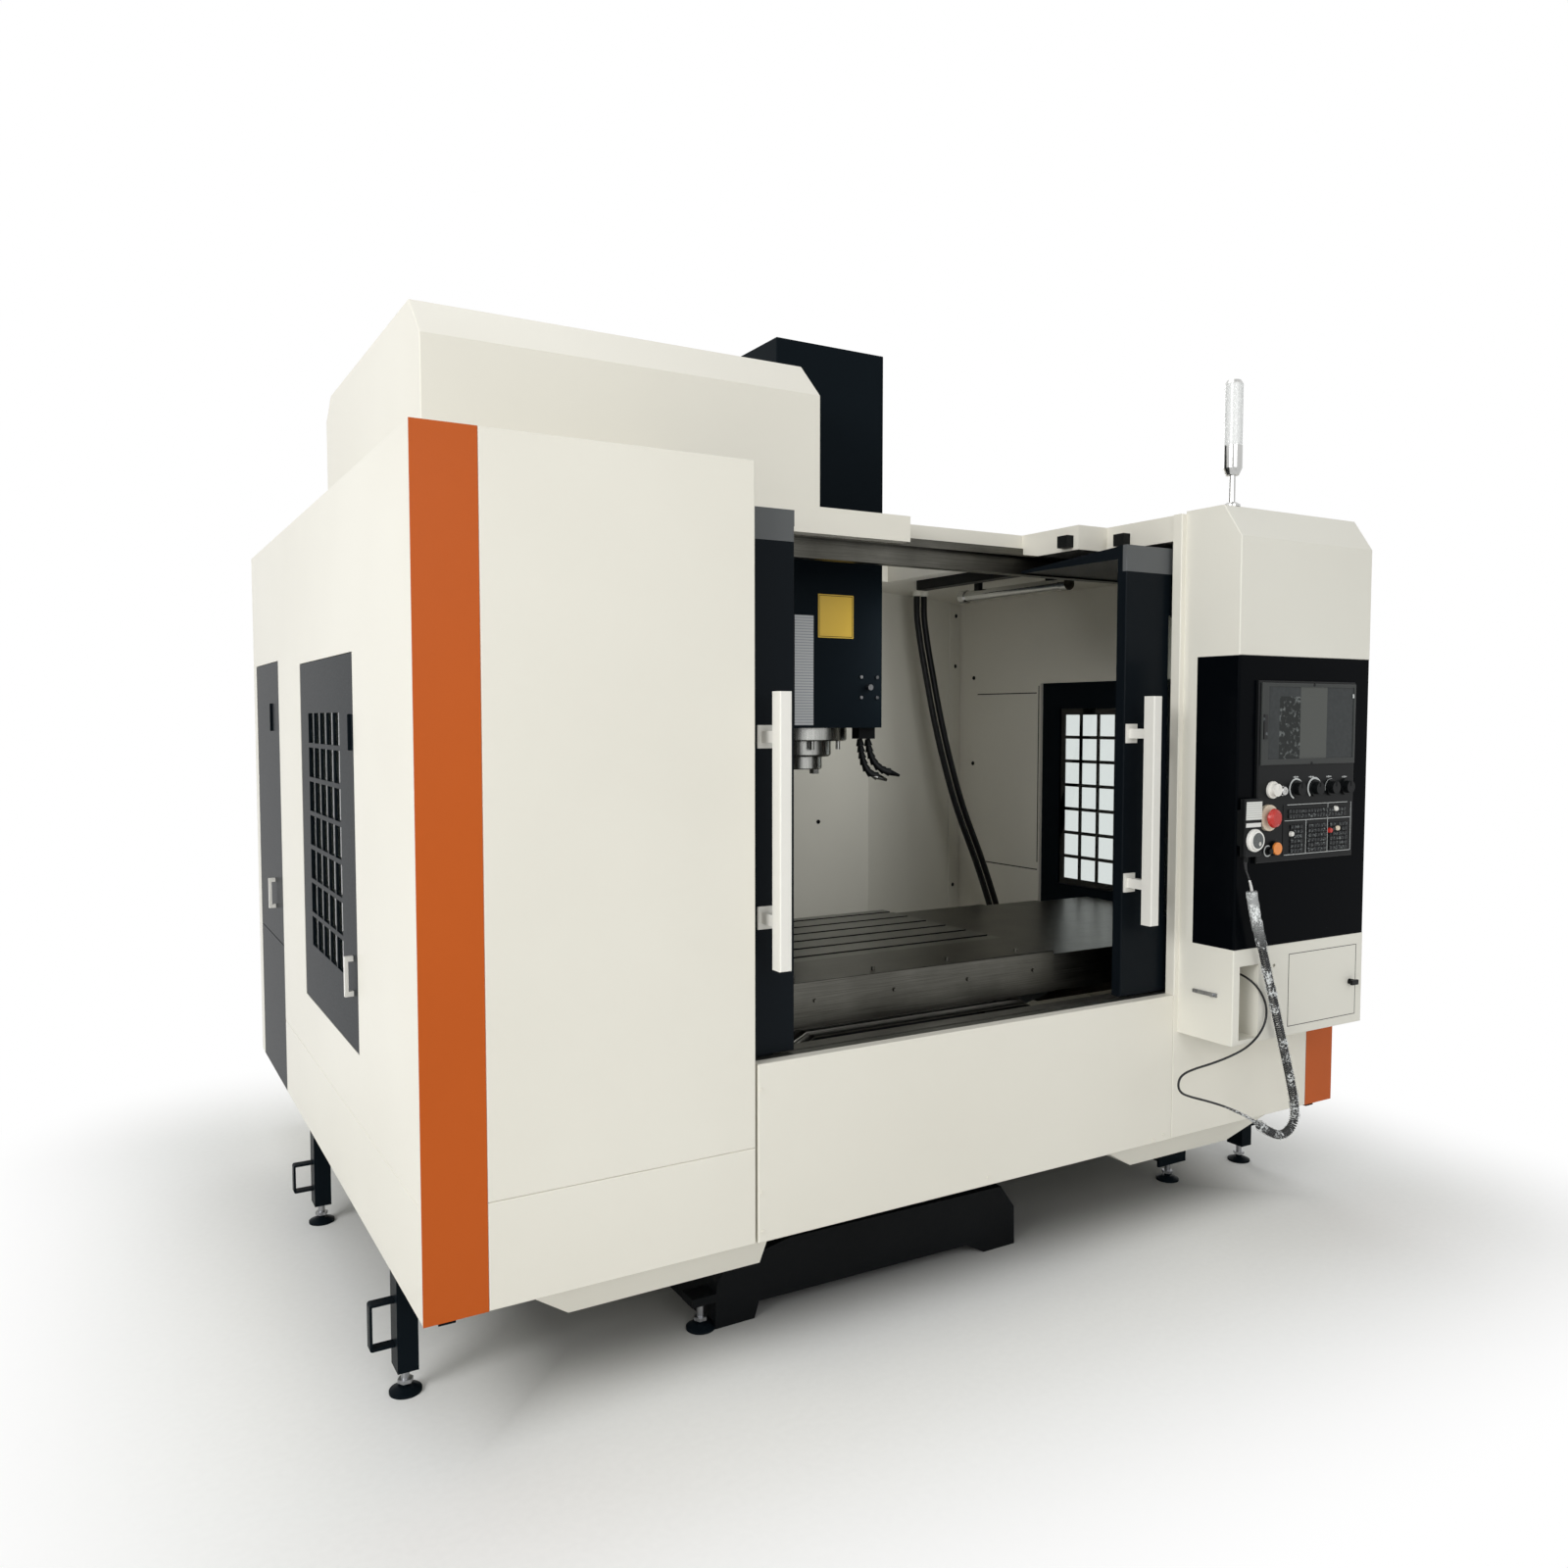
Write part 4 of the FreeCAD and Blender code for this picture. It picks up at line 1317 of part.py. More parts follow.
def operator_panel():
    """Operator plate with its bores, key field, key groups and the two fixed selectors."""
    y = (PLATE_FACE, HOUSING_FRONT)
    plate = softened(block(PLATE_X, y, PLATE_Z), 4, lambda m: near(m.y, PLATE_FACE))
    bores = [rod((x, PLATE_FACE - 1, SELECTOR_Z), SELECTOR_SHAFT + PIVOT_FIT, PLATE_THICK, "y")
             for x in SELECTOR_X[:JOINTED_SELECTORS]]
    bores.append(rod((ESTOP[0], PLATE_FACE - 1, ESTOP[1]), ESTOP_STEM[0] + BUTTON_FIT, PLATE_THICK, "y"))
    bores.append(rod((START[0], PLATE_FACE - 1, START[1]), START_RADIUS + BUTTON_FIT, PLATE_THICK, "y"))
    collar = tube((ESTOP[0], PLATE_FACE - ESTOP_COLLAR[1], ESTOP[1]), ESTOP_COLLAR[0],
                  ESTOP_STEM[0] + BUTTON_FIT, ESTOP_COLLAR[1], "y")
    ring = tube((START[0], PLATE_FACE - START_COLLAR[1], START[1]), START_COLLAR[0],
                START_RADIUS + BUTTON_FIT, START_COLLAR[1], "y")
    field = block(KEY_X, (PLATE_FACE - 1, PLATE_FACE), KEY_Z)
    fixed = [selector(x, 0) for x in SELECTOR_X[JOINTED_SELECTORS:]]
    return joined(plate.cut(bores), collar, ring, field, *keys(), *fixed)


def keys():
    """Key caps of the operator plate, in their groups."""
    caps = []
    for (x0, x1), (z0, z1) in KEY_GROUPS:
        columns = int((x1 - x0) // KEY_PITCH)
        rows = max(1, int((z1 - z0) // KEY_PITCH))
        for c in range(columns):
            for r in range(rows):
                x = x0 + c * KEY_PITCH
                z = z0 + r * KEY_PITCH
                caps.append(block((x, x + KEY_SIZE), (PLATE_FACE - 1 - KEY_PROUD, PLATE_FACE - 1),
                                  (z, z + KEY_SIZE)))
    return caps


def selector(x, depth):
    """Rotary selector with its skirt, grip and shaft; depth is the shaft's length in the plate."""
    skirt, grip = SELECTOR_RADIUS
    base = PLATE_FACE if depth == 0 else PLATE_FACE - TOUCH
    foot = rod((x, base, SELECTOR_Z), skirt, -SELECTOR_HEIGHT * 0.3, "y")
    knob = rod((x, base, SELECTOR_Z), grip, -SELECTOR_HEIGHT, "y")
    mark = block((x - 1.5, x + 1.5), (base - SELECTOR_HEIGHT - 1, base - SELECTOR_HEIGHT + 1),
                 (SELECTOR_Z + 3, SELECTOR_Z + grip - 1))
    parts = [knob, mark]
    if depth:
        parts.append(rod((x, base - 1, SELECTOR_Z), SELECTOR_SHAFT, depth + 1, "y"))
    return joined(foot, *parts)


def screen_unit():
    """Screen frame with its sunk display and the cover of the card slot."""
    y = (PLATE_FACE - SCREEN_PROUD, PLATE_FACE)
    body = softened(block(SCREEN_X, y, SCREEN_Z), 3, lambda m: near(m.y, y[0]))
    display = block(DISPLAY_X, (y[0] - 1, y[0] + DISPLAY_SUNK), DISPLAY_Z)
    cover = block((SCREEN_X[0] + 3, DISPLAY_X[0] - 7), (y[0] - 3, y[0]), CARD_COVER_Z)
    return joined(body.cut(display), cover)


def e_stop_button():
    """Mushroom head on its stem."""
    face = PLATE_FACE - ESTOP_COLLAR[1]
    outline = [(0, 0), (ESTOP_STEM[0], 0), (ESTOP_STEM[0], ESTOP_TRAVEL_ROOM), (ESTOP_HEAD[0] - 4, ESTOP_TRAVEL_ROOM),
               (ESTOP_HEAD[0], ESTOP_TRAVEL_ROOM + 5), (ESTOP_HEAD[0] - 3, ESTOP_TRAVEL_ROOM + ESTOP_HEAD[1] - 4),
               (ESTOP_HEAD[0] - 10, ESTOP_TRAVEL_ROOM + ESTOP_HEAD[1]), (0, ESTOP_TRAVEL_ROOM + ESTOP_HEAD[1])]
    head = turned(outline, (0, 0))
    head.rotate(V(0, 0, 0), V(1, 0, 0), 90)
    head.translate(V(ESTOP[0], PLATE_FACE, ESTOP[1]))
    return head


def start_button():
    """Lit push button in its ring."""
    length = START_COLLAR[1] + START_PROUD - 4
    body = rod((START[0], PLATE_FACE, START[1]), START_RADIUS, -length, "y")
    return softened(body, 2, lambda m: near(m.y, PLATE_FACE - length))


def pendant():
    """Hand unit on the operator plate with its blank label and cable gland."""
    y = (PLATE_FACE - PENDANT_DEPTH, PLATE_FACE)
    left = block((PENDANT_X[0], PENDANT_X[1]), y, PENDANT_Z)
    body = softened(left, 4, lambda m: near(m.y, y[0]) or (near(m.z, PENDANT_Z[0]) or near(m.z, PENDANT_Z[1])) and
                    (near(m.x, PENDANT_X[0]) or near(m.x, PENDANT_X[1])))
    hook = block((PENDANT_X[0], PLATE_X[0] - SEAM), (PLATE_FACE, HOUSING_FRONT),
                 (PENDANT_Z[0] + 30, PENDANT_Z[1] - 30))
    label = block((PENDANT_X[0] + 3, PENDANT_X[1] - 3), (y[0] - LABEL_PROUD, y[0]), LABEL_Z)
    strip = block((PENDANT_X[0] + 3, PENDANT_X[1] - 6), (y[0] - LABEL_PROUD, y[0]), STRIP_Z)
    bore = rod((DIAL_X, y[0] - 1, DIAL_Z), DIAL_SHAFT + PIVOT_FIT, 9, "y")
    exit_x, exit_y, exit_z = CORD_EXIT
    gland = rod((exit_x, exit_y, exit_z), 7, PENDANT_Z[0] - exit_z, "z")
    return joined(body, hook, label, strip, gland).cut(bore)


def pulse_dial():
    """Hand wheel of the unit, with a scalloped rim, a finger dimple and its shaft."""
    face = PLATE_FACE - PENDANT_DEPTH - TOUCH
    radius, height = DIAL
    skirt = rod((DIAL_X, face, DIAL_Z), radius, -height * 0.45, "y")
    wheel = rod((DIAL_X, face, DIAL_Z), radius - 5, -height, "y")
    dimple = rod((DIAL_X + 9, face - height, DIAL_Z - 9), 6, 4, "y")
    shaft = rod((DIAL_X, face - 1, DIAL_Z), DIAL_SHAFT, 8, "y")
    return joined(skirt, wheel).cut(dimple).fuse(shaft).removeSplitter()


def stack_light_mast():
    """Base, pole, collar and silver lower part of the stack light."""
    x, y = MAST
    low = HOUSING_Z[1]
    base_r, base_h = MAST_BASE
    collar_low, collar_high = MAST_COLLAR_Z
    outline = [(0, low), (base_r, low), (base_r, low + base_h * 0.5), (base_r * 0.6, low + base_h),
               (MAST_POLE, low + base_h), (MAST_POLE, collar_low), (LENS_RADIUS * 0.7, collar_low),
               (LENS_RADIUS + 1, collar_high), (LENS_RADIUS + 1, LENS_Z[0]), (0, LENS_Z[0])]
    return turned(outline, MAST)


def stack_light_lens():
    """Clear tube of the stack light with its lamp column inside and its cap."""
    low, high = LENS_Z
    r = LENS_RADIUS
    core = LENS_RADIUS * 0.45
    outline = [(0, low), (r, low), (r, high - 10), (r - 6, high), (0, high), (0, high - 12),
               (r - LENS_WALL, high - 12), (r - LENS_WALL, low + 6), (core, low + 6),
               (core, high - 30), (0, high - 30)]
    return turned(outline, MAST)


# ---- Cords and hoses ---------------------------------------------------------------------
UPPER_CORD = [CORD_EXIT, (712, -201, 1068), (715.5, -210, 1044), (719.8, -215, 1019.7), (723, -215, 1005)]
COIL = [(723, -215, 1005), (735, -215, 950), (762, -215, 875), (792, -216, 784), (823, -217, 690),
        (861, -217, 580), (898, -216, 475), (922, -216, 395), (915, -215, 345), (870, -215, 325),
        (815, -215, 345), (775, -215, 372)]
LOWER_CORD = [(775, -215, 372), (741.8, -215, 394.4), (660, -208, 436), (590, -204, 463), (520, -200, 486),
              (484, -199, 502), (475, -198, 525), (487, -198, 547), (531, -198, 556), (600, -198, 560),
              (668, -198, 568), (735, -197, 581), (786, -196, 606), (816, -196, 641), (821, -195, 681),
              (804, -193, 718), (788, -182, 745), (779, -160, 762), (775, -133, 770), (775, -103, 770)]
HOSE = [(872, 1930), (872, 1855), (893, 1735), (968, 1413), (1064, 1121), (1176, 888), (1262, 672),
        (1298, 530), (1298, 446)]


def tangent_path(points):
    """Wire of straight runs joined by tangent arcs, and the smallest arc radius."""
    pts = [V(*p) for p in points]
    edges = []
    start = pts[0]
    smallest = 1e9
    for before, corner, after in zip(pts, pts[1:], pts[2:]):
        back = before - corner
        ahead = after - corner
        cut = 0.45 * min(back.Length, ahead.Length)
        turn = math.pi - back.getAngle(ahead)
        radius = cut / math.tan(turn / 2)
        smallest = min(smallest, radius)
        back.normalize()
        ahead.normalize()
        enter = corner + back * cut
        leave = corner + ahead * cut
        inward = back + ahead
        inward.normalize()
        middle = corner + inward * (radius / math.cos(turn / 2) - radius)
        edges.append(Part.LineSegment(start, enter).toShape())
        edges.append(Part.Arc(enter, middle, leave).toShape())
        start = leave
    edges.append(Part.LineSegment(start, pts[-1]).toShape())
    return Part.Wire(edges), smallest


def cord(points, radius, name):
    """Round cord along its route; prints its smallest bend radius, length and volume check."""
    wire, smallest = tangent_path(points)
    way = V(*points[1]) - V(*points[0])
    profile = Part.Wire(Part.makeCircle(radius, V(*points[0]), way))
    solid = wire.makePipeShell([profile], True, False)
    share = solid.Volume / (math.pi * radius ** 2 * wire.Length)
    print(f"{name}: smallest radius {smallest:.1f}, length {wire.Length:.0f}, volume ratio {share:.4f}")
    return solid


def hose_points(index):
    """Route of one of the parallel hoses."""
    return [(x + index * HOSE_PITCH, HOSE_Y, z) for x, z in HOSE]


def cord_socket():
    """Plug and socket on the pocket's rear wall, where the cord of the hand unit ends."""
    x, y, z = LOWER_CORD[-1]
    plug = rod((x, y, z), 9, POCKET_REAR - y - 8, "y")
    socket = rod((x, POCKET_REAR - 8, z), 14, 8, "y")
    return joined(plug, socket)


# ---- Feet --------------------------------------------------------------------------------
def foot(x, y, disc, top, stem):
    """Levelling foot: domed disc, stem up to top, and a lock nut."""
    radius, height = disc
    outline = [(0, 0), (radius, 0), (radius, height * 0.4), (radius * 0.45, height), (stem, height),
               (stem, top), (0, top)]
    nut = Part.makePolygon([V(x + stem * 1.9 * math.cos(math.radians(a)),
                              y + stem * 1.9 * math.sin(math.radians(a)), height + 8)
                            for a in range(0, 361, 60)])
    nut = Part.Face(nut).extrude(V(0, 0, stem * 0.9))
    return joined(turned(outline, (x, y)), nut)


def support_leg(y, bracket_z):
    """Left support leg with its top plate, C bracket and levelling foot."""
    x = (-LEG_X - LEG_SECTION[0], -LEG_X)
    span = (y, y + LEG_SECTION[1])
    post = block(x, span, (LEG_BOTTOM, SKIRT))
    middle = (sum(x) / 2, sum(span) / 2)
    bar, width = BRACKET_BAR
    band = (middle[1] - width / 2, middle[1] + width / 2)
    outer = block((-BRACKET_REACH, x[0]), band, bracket_z)
    inner = block((-BRACKET_REACH + bar, x[0] + 1), (band[0] - 1, band[1] + 1),
                  (bracket_z[0] + bar, bracket_z[1] - bar))
    outer = softened(outer, bar, lambda m: near(m.x, -BRACKET_REACH) and not near(m.y, band[0])
                     and not near(m.y, band[1]))
    return joined(post, outer.cut(inner), foot(middle[0], middle[1], LEG_FOOT, LEG_BOTTOM + 1, LEG_ROD))


def side_rail():
    """Rail along the inside of the left side panel's lower edge, which the legs carry."""
    x = (-INNER, -LEG_X + 10)
    body = block(x, (PANEL, SIDE_END), (SKIRT, SKIRT + 50))
    return body.cut(block((x[0] - 1, x[1] - SHEET), (PANEL - 1, DEPTH), (SKIRT + SHEET, SKIRT + 46)))


def feet_and_legs():
    """Support legs and rails of both sides, corner brackets, and the bed's levelling feet."""
    rear_low = BRACKET_Z[0] - 10
    legs = [support_leg(LEG_Y[0], BRACKET_Z), support_leg(LEG_Y[1], (rear_low, rear_low + 82))]
    side = joined(side_rail(), *legs)
    lug = block((-1348, -1314), (PANEL + 4, PANEL + 50), (SKIRT - 22, SKIRT))
    side = joined(side, lug)
    bed = [joined(foot(x, y, BED_FOOT, BED_FLOOR_GAP, 18),
                  block((x - 45, x + 45), (y - 45, y + 45), (BED_FLOOR_GAP - 10, BED_FLOOR_GAP)))
           for x, y in BED_FEET]
    gusset = joined(prism([(947, 60), (1067, 60), (1067, 88), (1040, SKIRT - TRAY_DROP),
                           (996, SKIRT - TRAY_DROP), (947, 88)], "y", (282, 290)),
                    block((985, 1050), (282, 340), (60, 70)),
                    foot(1018, 311, LEG_FOOT, 66, LEG_ROD))
    front = foot(*FRONT_FOOT, LEG_FOOT, FRONT_LUG[2][0], LEG_ROD)
    return pieces(side, mirrored(side), gusset, front, *bed)


# ---- Assembly ----------------------------------------------------------------------------
def selector_node(index):
    """One of the jointed selectors."""
    return selector(SELECTOR_X[index], PLATE_THICK - 2)


def parts():
    """Every node with its shape, in modelling coordinates."""
    left_window = pieces(*window_door())
    left_door = door_frame()
    shift = DOOR_RIGHT_EDGE + DOOR_LEFT_EDGE
    right_door = mirrored(left_door)
    right_door.translate(V(shift, 0, 0))
    left_glass = door_glass()
    right_glass = mirrored(left_glass)
    right_glass.translate(V(shift, 0, 0))
    nodes = {
        "bed_casting": bed_casting(),
        "column_casting": column_casting(),
        "feet_and_legs": feet_and_legs(),
        "corner_strips": corner_strips(),
        "outer_panels": outer_panels(),
        "front_apron": front_apron(),
        "door_tracks": door_tracks(),
        "fixed_way_covers": fixed_way_covers(),
        "rear_cabinet": rear_cabinet(),
        "inner_walls": inner_walls(),
        "roof_panels": pieces(roof_panels(), motor_cap()),
        "magazine_hood": magazine_hood(),
        "control_housing": pieces(control_housing(), cord_socket()),
        "control_case": control_case(),
        "screen_unit": screen_unit(),
        "operator_panel": operator_panel(),
        "stack_light_mast": stack_light_mast(),
        "stack_light_lens": stack_light_lens(),
        "work_lamp": work_lamp(),
        "axis_motors": axis_motors(),
        "pendant": pendant(),
        "coiled_cable": cord(COIL, COIL_RADIUS, "coiled_cable"),
        "loop_cable": pieces(cord(UPPER_CORD, CORD_RADIUS, "upper cord"),
                             cord(LOWER_CORD, CORD_RADIUS, "lower cord")),
        "hose_left": cord(hose_points(0), HOSE_RADIUS, "hose_left"),
        "hose_right": cord(hose_points(1), HOSE_RADIUS, "hose_right"),
        "magazine_frame": magazine_frame(),
        "saddle_casting": saddle_casting(),
        "saddle_covers": saddle_covers(),
        "table": table(),
        "table_guards": table_guards(),
        "x_cover_middle": pieces(x_cover(1, -1), x_cover(1, 1)),
        "y_cover_2": pieces(*y_cover(1)),
        "y_cover_3": pieces(*y_cover(2)),
        "z_cover_middle": z_section(1, z_low(1)),
        "head_casting": pieces(head_casting(), z_section(0, z_low(0))),
        "head_cover": joined(head_cover(), *head_details()),
        "spindle_cartridge": spindle_cartridge(),
        "coolant_nozzles": coolant_nozzles(),
        "spindle": spindle(),
        "x_ballscrew": ball_screw("x", X_SCREW_SPAN, (SADDLE_MID, X_SCREW_Z)),
        "y_ballscrew": ball_screw("y", Y_SCREW_SPAN, (MIDDLE, Y_SCREW_Z)),
        "z_ballscrew": ball_screw("z", Z_SCREW_SPAN, (MIDDLE, Z_SCREW_Y)),
        "tool_disc": tool_disc(),
        "tool_arm": tool_arm(),
        "left_door": left_door,
        "right_door": right_door,
        "left_door_handle": door_handle(HANDLE_LEFT),
        "right_door_handle": door_handle(HANDLE_RIGHT),
        "left_door_glass": left_glass,
        "right_door_glass": right_glass,
        "left_window_door": left_window,
        "right_window_door": mirrored(left_window),
        "cabinet_door": cabinet_door(),
        "base_box_door": base_box_door(),
        "e_stop_button": e_stop_button(),
        "start_button": start_button(),
        "pulse_dial": pulse_dial(),
    }
    for i in range(JOINTED_SELECTORS):
        nodes[f"selector_{i + 1}"] = selector_node(i)
    return nodes


def main():
    os.makedirs("parts", exist_ok=True)
    for name, shape in parts().items():
        shape = shape.copy()
        shape.translate(V(0, -ORIGIN_Y, 0))
        shape.exportStep(f"parts/{name}.step")


main()
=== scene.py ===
# %% [markdown]
# # Dressing an enclosed machining centre
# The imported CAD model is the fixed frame: it says where every panel, door and button is. This
# lesson gives each of those parts the finish that it has on a real machine, adds the small things
# that a CAD model leaves out, and sets up a plain studio to look at them in.

# %% Load the frame
import bpy
import bmesh
import math
from mathutils import Matrix, Vector, noise


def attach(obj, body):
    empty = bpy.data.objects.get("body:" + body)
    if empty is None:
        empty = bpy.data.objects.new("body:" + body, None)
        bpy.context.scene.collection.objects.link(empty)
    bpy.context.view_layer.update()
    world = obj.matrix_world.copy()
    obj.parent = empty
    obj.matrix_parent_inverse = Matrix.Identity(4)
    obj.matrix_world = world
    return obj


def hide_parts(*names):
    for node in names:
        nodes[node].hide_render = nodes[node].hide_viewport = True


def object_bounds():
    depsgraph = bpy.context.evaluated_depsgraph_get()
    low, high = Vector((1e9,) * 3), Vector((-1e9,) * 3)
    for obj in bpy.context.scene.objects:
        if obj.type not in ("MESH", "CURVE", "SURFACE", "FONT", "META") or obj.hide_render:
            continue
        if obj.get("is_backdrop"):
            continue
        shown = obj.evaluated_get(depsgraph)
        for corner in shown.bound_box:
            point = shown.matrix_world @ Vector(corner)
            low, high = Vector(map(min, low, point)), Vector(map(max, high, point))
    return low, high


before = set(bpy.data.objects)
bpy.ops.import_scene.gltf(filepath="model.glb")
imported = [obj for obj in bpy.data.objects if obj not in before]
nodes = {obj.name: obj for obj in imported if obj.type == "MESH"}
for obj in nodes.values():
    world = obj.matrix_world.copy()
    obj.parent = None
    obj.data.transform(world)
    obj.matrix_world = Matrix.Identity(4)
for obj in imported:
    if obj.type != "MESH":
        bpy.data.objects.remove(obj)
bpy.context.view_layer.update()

# %% [markdown]
# ## Places
# The builder's drawing measures in millimetres from the front face of the sheet panels, and the
# frame measures in metres from the middle of the floor. One function turns the first into the
# second, so the numbers below can be read against the drawing. In Blender, data such as a mesh or
# a lamp shows only once an object carries it and that object is linked to the scene, which the
# last function does.

# %% From the drawing to the frame
FRAME_MIDDLE_Y = 1031.0      # the frame's middle, behind the front face of the panels


def at(x, y, z):
    """Point of the drawing, in millimetres, as a point of the frame, in metres."""
    return Vector((x / 1000, (y - FRAME_MIDDLE_Y) / 1000, z / 1000))


def mm(value):
    """Millimetres as metres."""
    return value / 1000


def placed(name, data):
    """New object that carries that data, linked to the scene."""
    item = bpy.data.objects.new(name, data)
    bpy.context.scene.collection.objects.link(item)
    return item


print("front face of the panels at y =", round(at(0, 0, 0).y, 3), "m")

# %% [markdown]
# ## The camera
# The photograph was taken from the left front corner at head height with a short lens. A camera
# looks along its own -Z, so it is tipped up by a right angle less its downward pitch, and then
# turned about the vertical.

# %% Camera
CAMERA_PLACE = (-1.934, -3.331, 1.4605)
CAMERA_TURN = 30.515         # degrees to the right of straight ahead
CAMERA_PITCH = -3.112        # degrees, looking slightly down
CAMERA_LENS = 27.62          # mm on a 36 mm wide sensor

camera_data = bpy.data.cameras.new("camera")
camera_data.lens = CAMERA_LENS
camera_data.sensor_width = 36
camera = placed("camera", camera_data)
camera.matrix_world = (Matrix.Translation(CAMERA_PLACE)
                       @ Matrix.Rotation(-math.radians(CAMERA_TURN), 4, "Z")
                       @ Matrix.Rotation(math.radians(90 + CAMERA_PITCH), 4, "X"))
bpy.context.scene.camera = camera
print("lens", CAMERA_LENS, "mm")

# %% [markdown]
# ## Tools for materials
# A colour is written as the sRGB hex value that a colour picker shows. Blender's shaders want
# linear light, so one function turns the one into the other. Another adds a node: it takes the
# node's settings by name, and for each socket either a value or the output that feeds it. The
# third starts an empty material, and the last ends one: the same fine pattern drives the
# roughness and a shallow relief, as it does on a real surface, and whatever is the same all over
# is set on the shader itself. All patterns read Object coordinates, which stay on the part when
# it moves.

# %% Colour and nodes
def linear(hex_colour):
    """Linear RGBA of an sRGB hex colour."""
    parts = [int(hex_colour[i:i + 2], 16) / 255 for i in (1, 3, 5)]
    return [c / 12.92 if c <= 0.04045 else ((c + 0.055) / 1.055) ** 2.4 for c in parts] + [1.0]


def add(tree, kind, sockets=None, **settings):
    """Node of that kind with its settings; sockets maps an input to a value or an output."""
    node = tree.nodes.new(kind)
    for key, value in settings.items():
        setattr(node, key, value)
    for key, value in (sockets or {}).items():
        if isinstance(value, bpy.types.NodeSocket):
            tree.links.new(value, node.inputs[key])
        else:
            node.inputs[key].default_value = value
    return node


def blank(name):
    """Empty material; returns it with its node tree and its Object coordinates."""
    made = bpy.data.materials.new(name)
    made.use_nodes = True
    made.node_tree.nodes.clear()
    return made, made.node_tree, add(made.node_tree, "ShaderNodeTexCoord").outputs["Object"]


def surface(made, tone, pattern, rough, depth_mm=0.0, more=None):
    """Ends a material: a pattern drives its roughness between two values, and its relief."""
    tree = made.node_tree
    gloss = add(tree, "ShaderNodeMapRange",
                {"Value": pattern, "To Min": rough[0], "To Max": rough[1]})
    sockets = {"Base Color": tone, "Roughness": gloss.outputs[0], **(more or {})}
    if depth_mm:
        relief = add(tree, "ShaderNodeBump", {"Height": pattern, "Distance": mm(depth_mm)})
        sockets["Normal"] = relief.outputs[0]
    shader = add(tree, "ShaderNodeBsdfPrincipled", sockets)
    add(tree, "ShaderNodeOutputMaterial", {"Surface": shader.outputs[0]})
    return made


print("mid grey #808080 is", round(linear("#808080")[0], 3), "in linear light")

# %% [markdown]
# ## Paint
# The sheet panels are powder coated: dry powder is melted on, and the coat draws together into a
# fine orange-peel grain a millimetre or two wide. At this distance the grain shows as a soft
# sparkle in the reflections and not as bumps, so it is drawn a little coarser than it is and very
# shallow. Broad, faint changes of tone keep a large panel from looking like a flat fill. Dark
# coats mirror less of the bright room than the default would give them, so their specular level
# is low.

# %% Powder coat
PEEL_MM = 5.0                # grain of the orange peel, drawn coarser than its real 2 mm
CLOUD_MM = 700.0             # broad changes of tone
PEEL_GLOSS = 0.06            # the grain moves the roughness this far up and down


def powder_coat(name, colour, dark, rough, peel=0.10, shine=0.5):
    """Powder coat between two tones; peel is its grain's depth in mm, shine its specular level."""
    made, tree, place = blank(name)
    cloud = add(tree, "ShaderNodeTexNoise", {"Vector": place, "Scale": 1000 / CLOUD_MM}).outputs[0]
    grain = add(tree, "ShaderNodeTexNoise", {"Vector": place, "Scale": 1000 / PEEL_MM}).outputs[0]
    tone = add(tree, "ShaderNodeMix", {0: cloud, 6: linear(dark), 7: linear(colour)},
               data_type="RGBA")
    return surface(made, tone.outputs[2], grain, (rough - PEEL_GLOSS, rough + PEEL_GLOSS), peel,
                   {"Specular IOR Level": shine})


white_coat = powder_coat("powder_coat_off_white", "#E9E6DB", "#DCD8CC", 0.34, shine=0.35)
# The inside wears the same off-white coat as the outside, painted a shade darker: painted shade
# inside the enclosure.
inner_coat_shaded = powder_coat("powder_coat_off_white_inside_shaded", "#DAD8CD", "#C9C7BC", 0.34, shine=0.4)
orange_coat = powder_coat("powder_coat_orange", "#C25A16", "#B14F10", 0.42, shine=0.2)
black_coat = powder_coat("powder_coat_blue_black", "#141B20", "#0B1014", 0.32, peel=0.04,
                         shine=0.02)
control_coat = powder_coat("powder_coat_white_fine", "#E6E4DA", "#D9D6CB", 0.36, peel=0.06,
                           shine=0.3)
handle_coat = powder_coat("aluminium_white_enamel", "#EDEBE5", "#DEDCD4", 0.30, peel=0.03)
print("coats:", [m.name for m in bpy.data.materials])

# %% [markdown]
# The sliding doors wear the same blue-black coat, and a grey strip crosses them just under the
# roof. The strip follows a height and not a face, so the material itself changes there. It is
# only on the front of the door; the deep inner side is black up to the top.

# %% Door coat
GREY_STRIP_Z = 1858.0        # the grey starts at this height of the drawing
DOOR_EDGE_Y = 60.0           # and covers only what lies in front of this
DOOR_ROUGH = (0.24, 0.36)


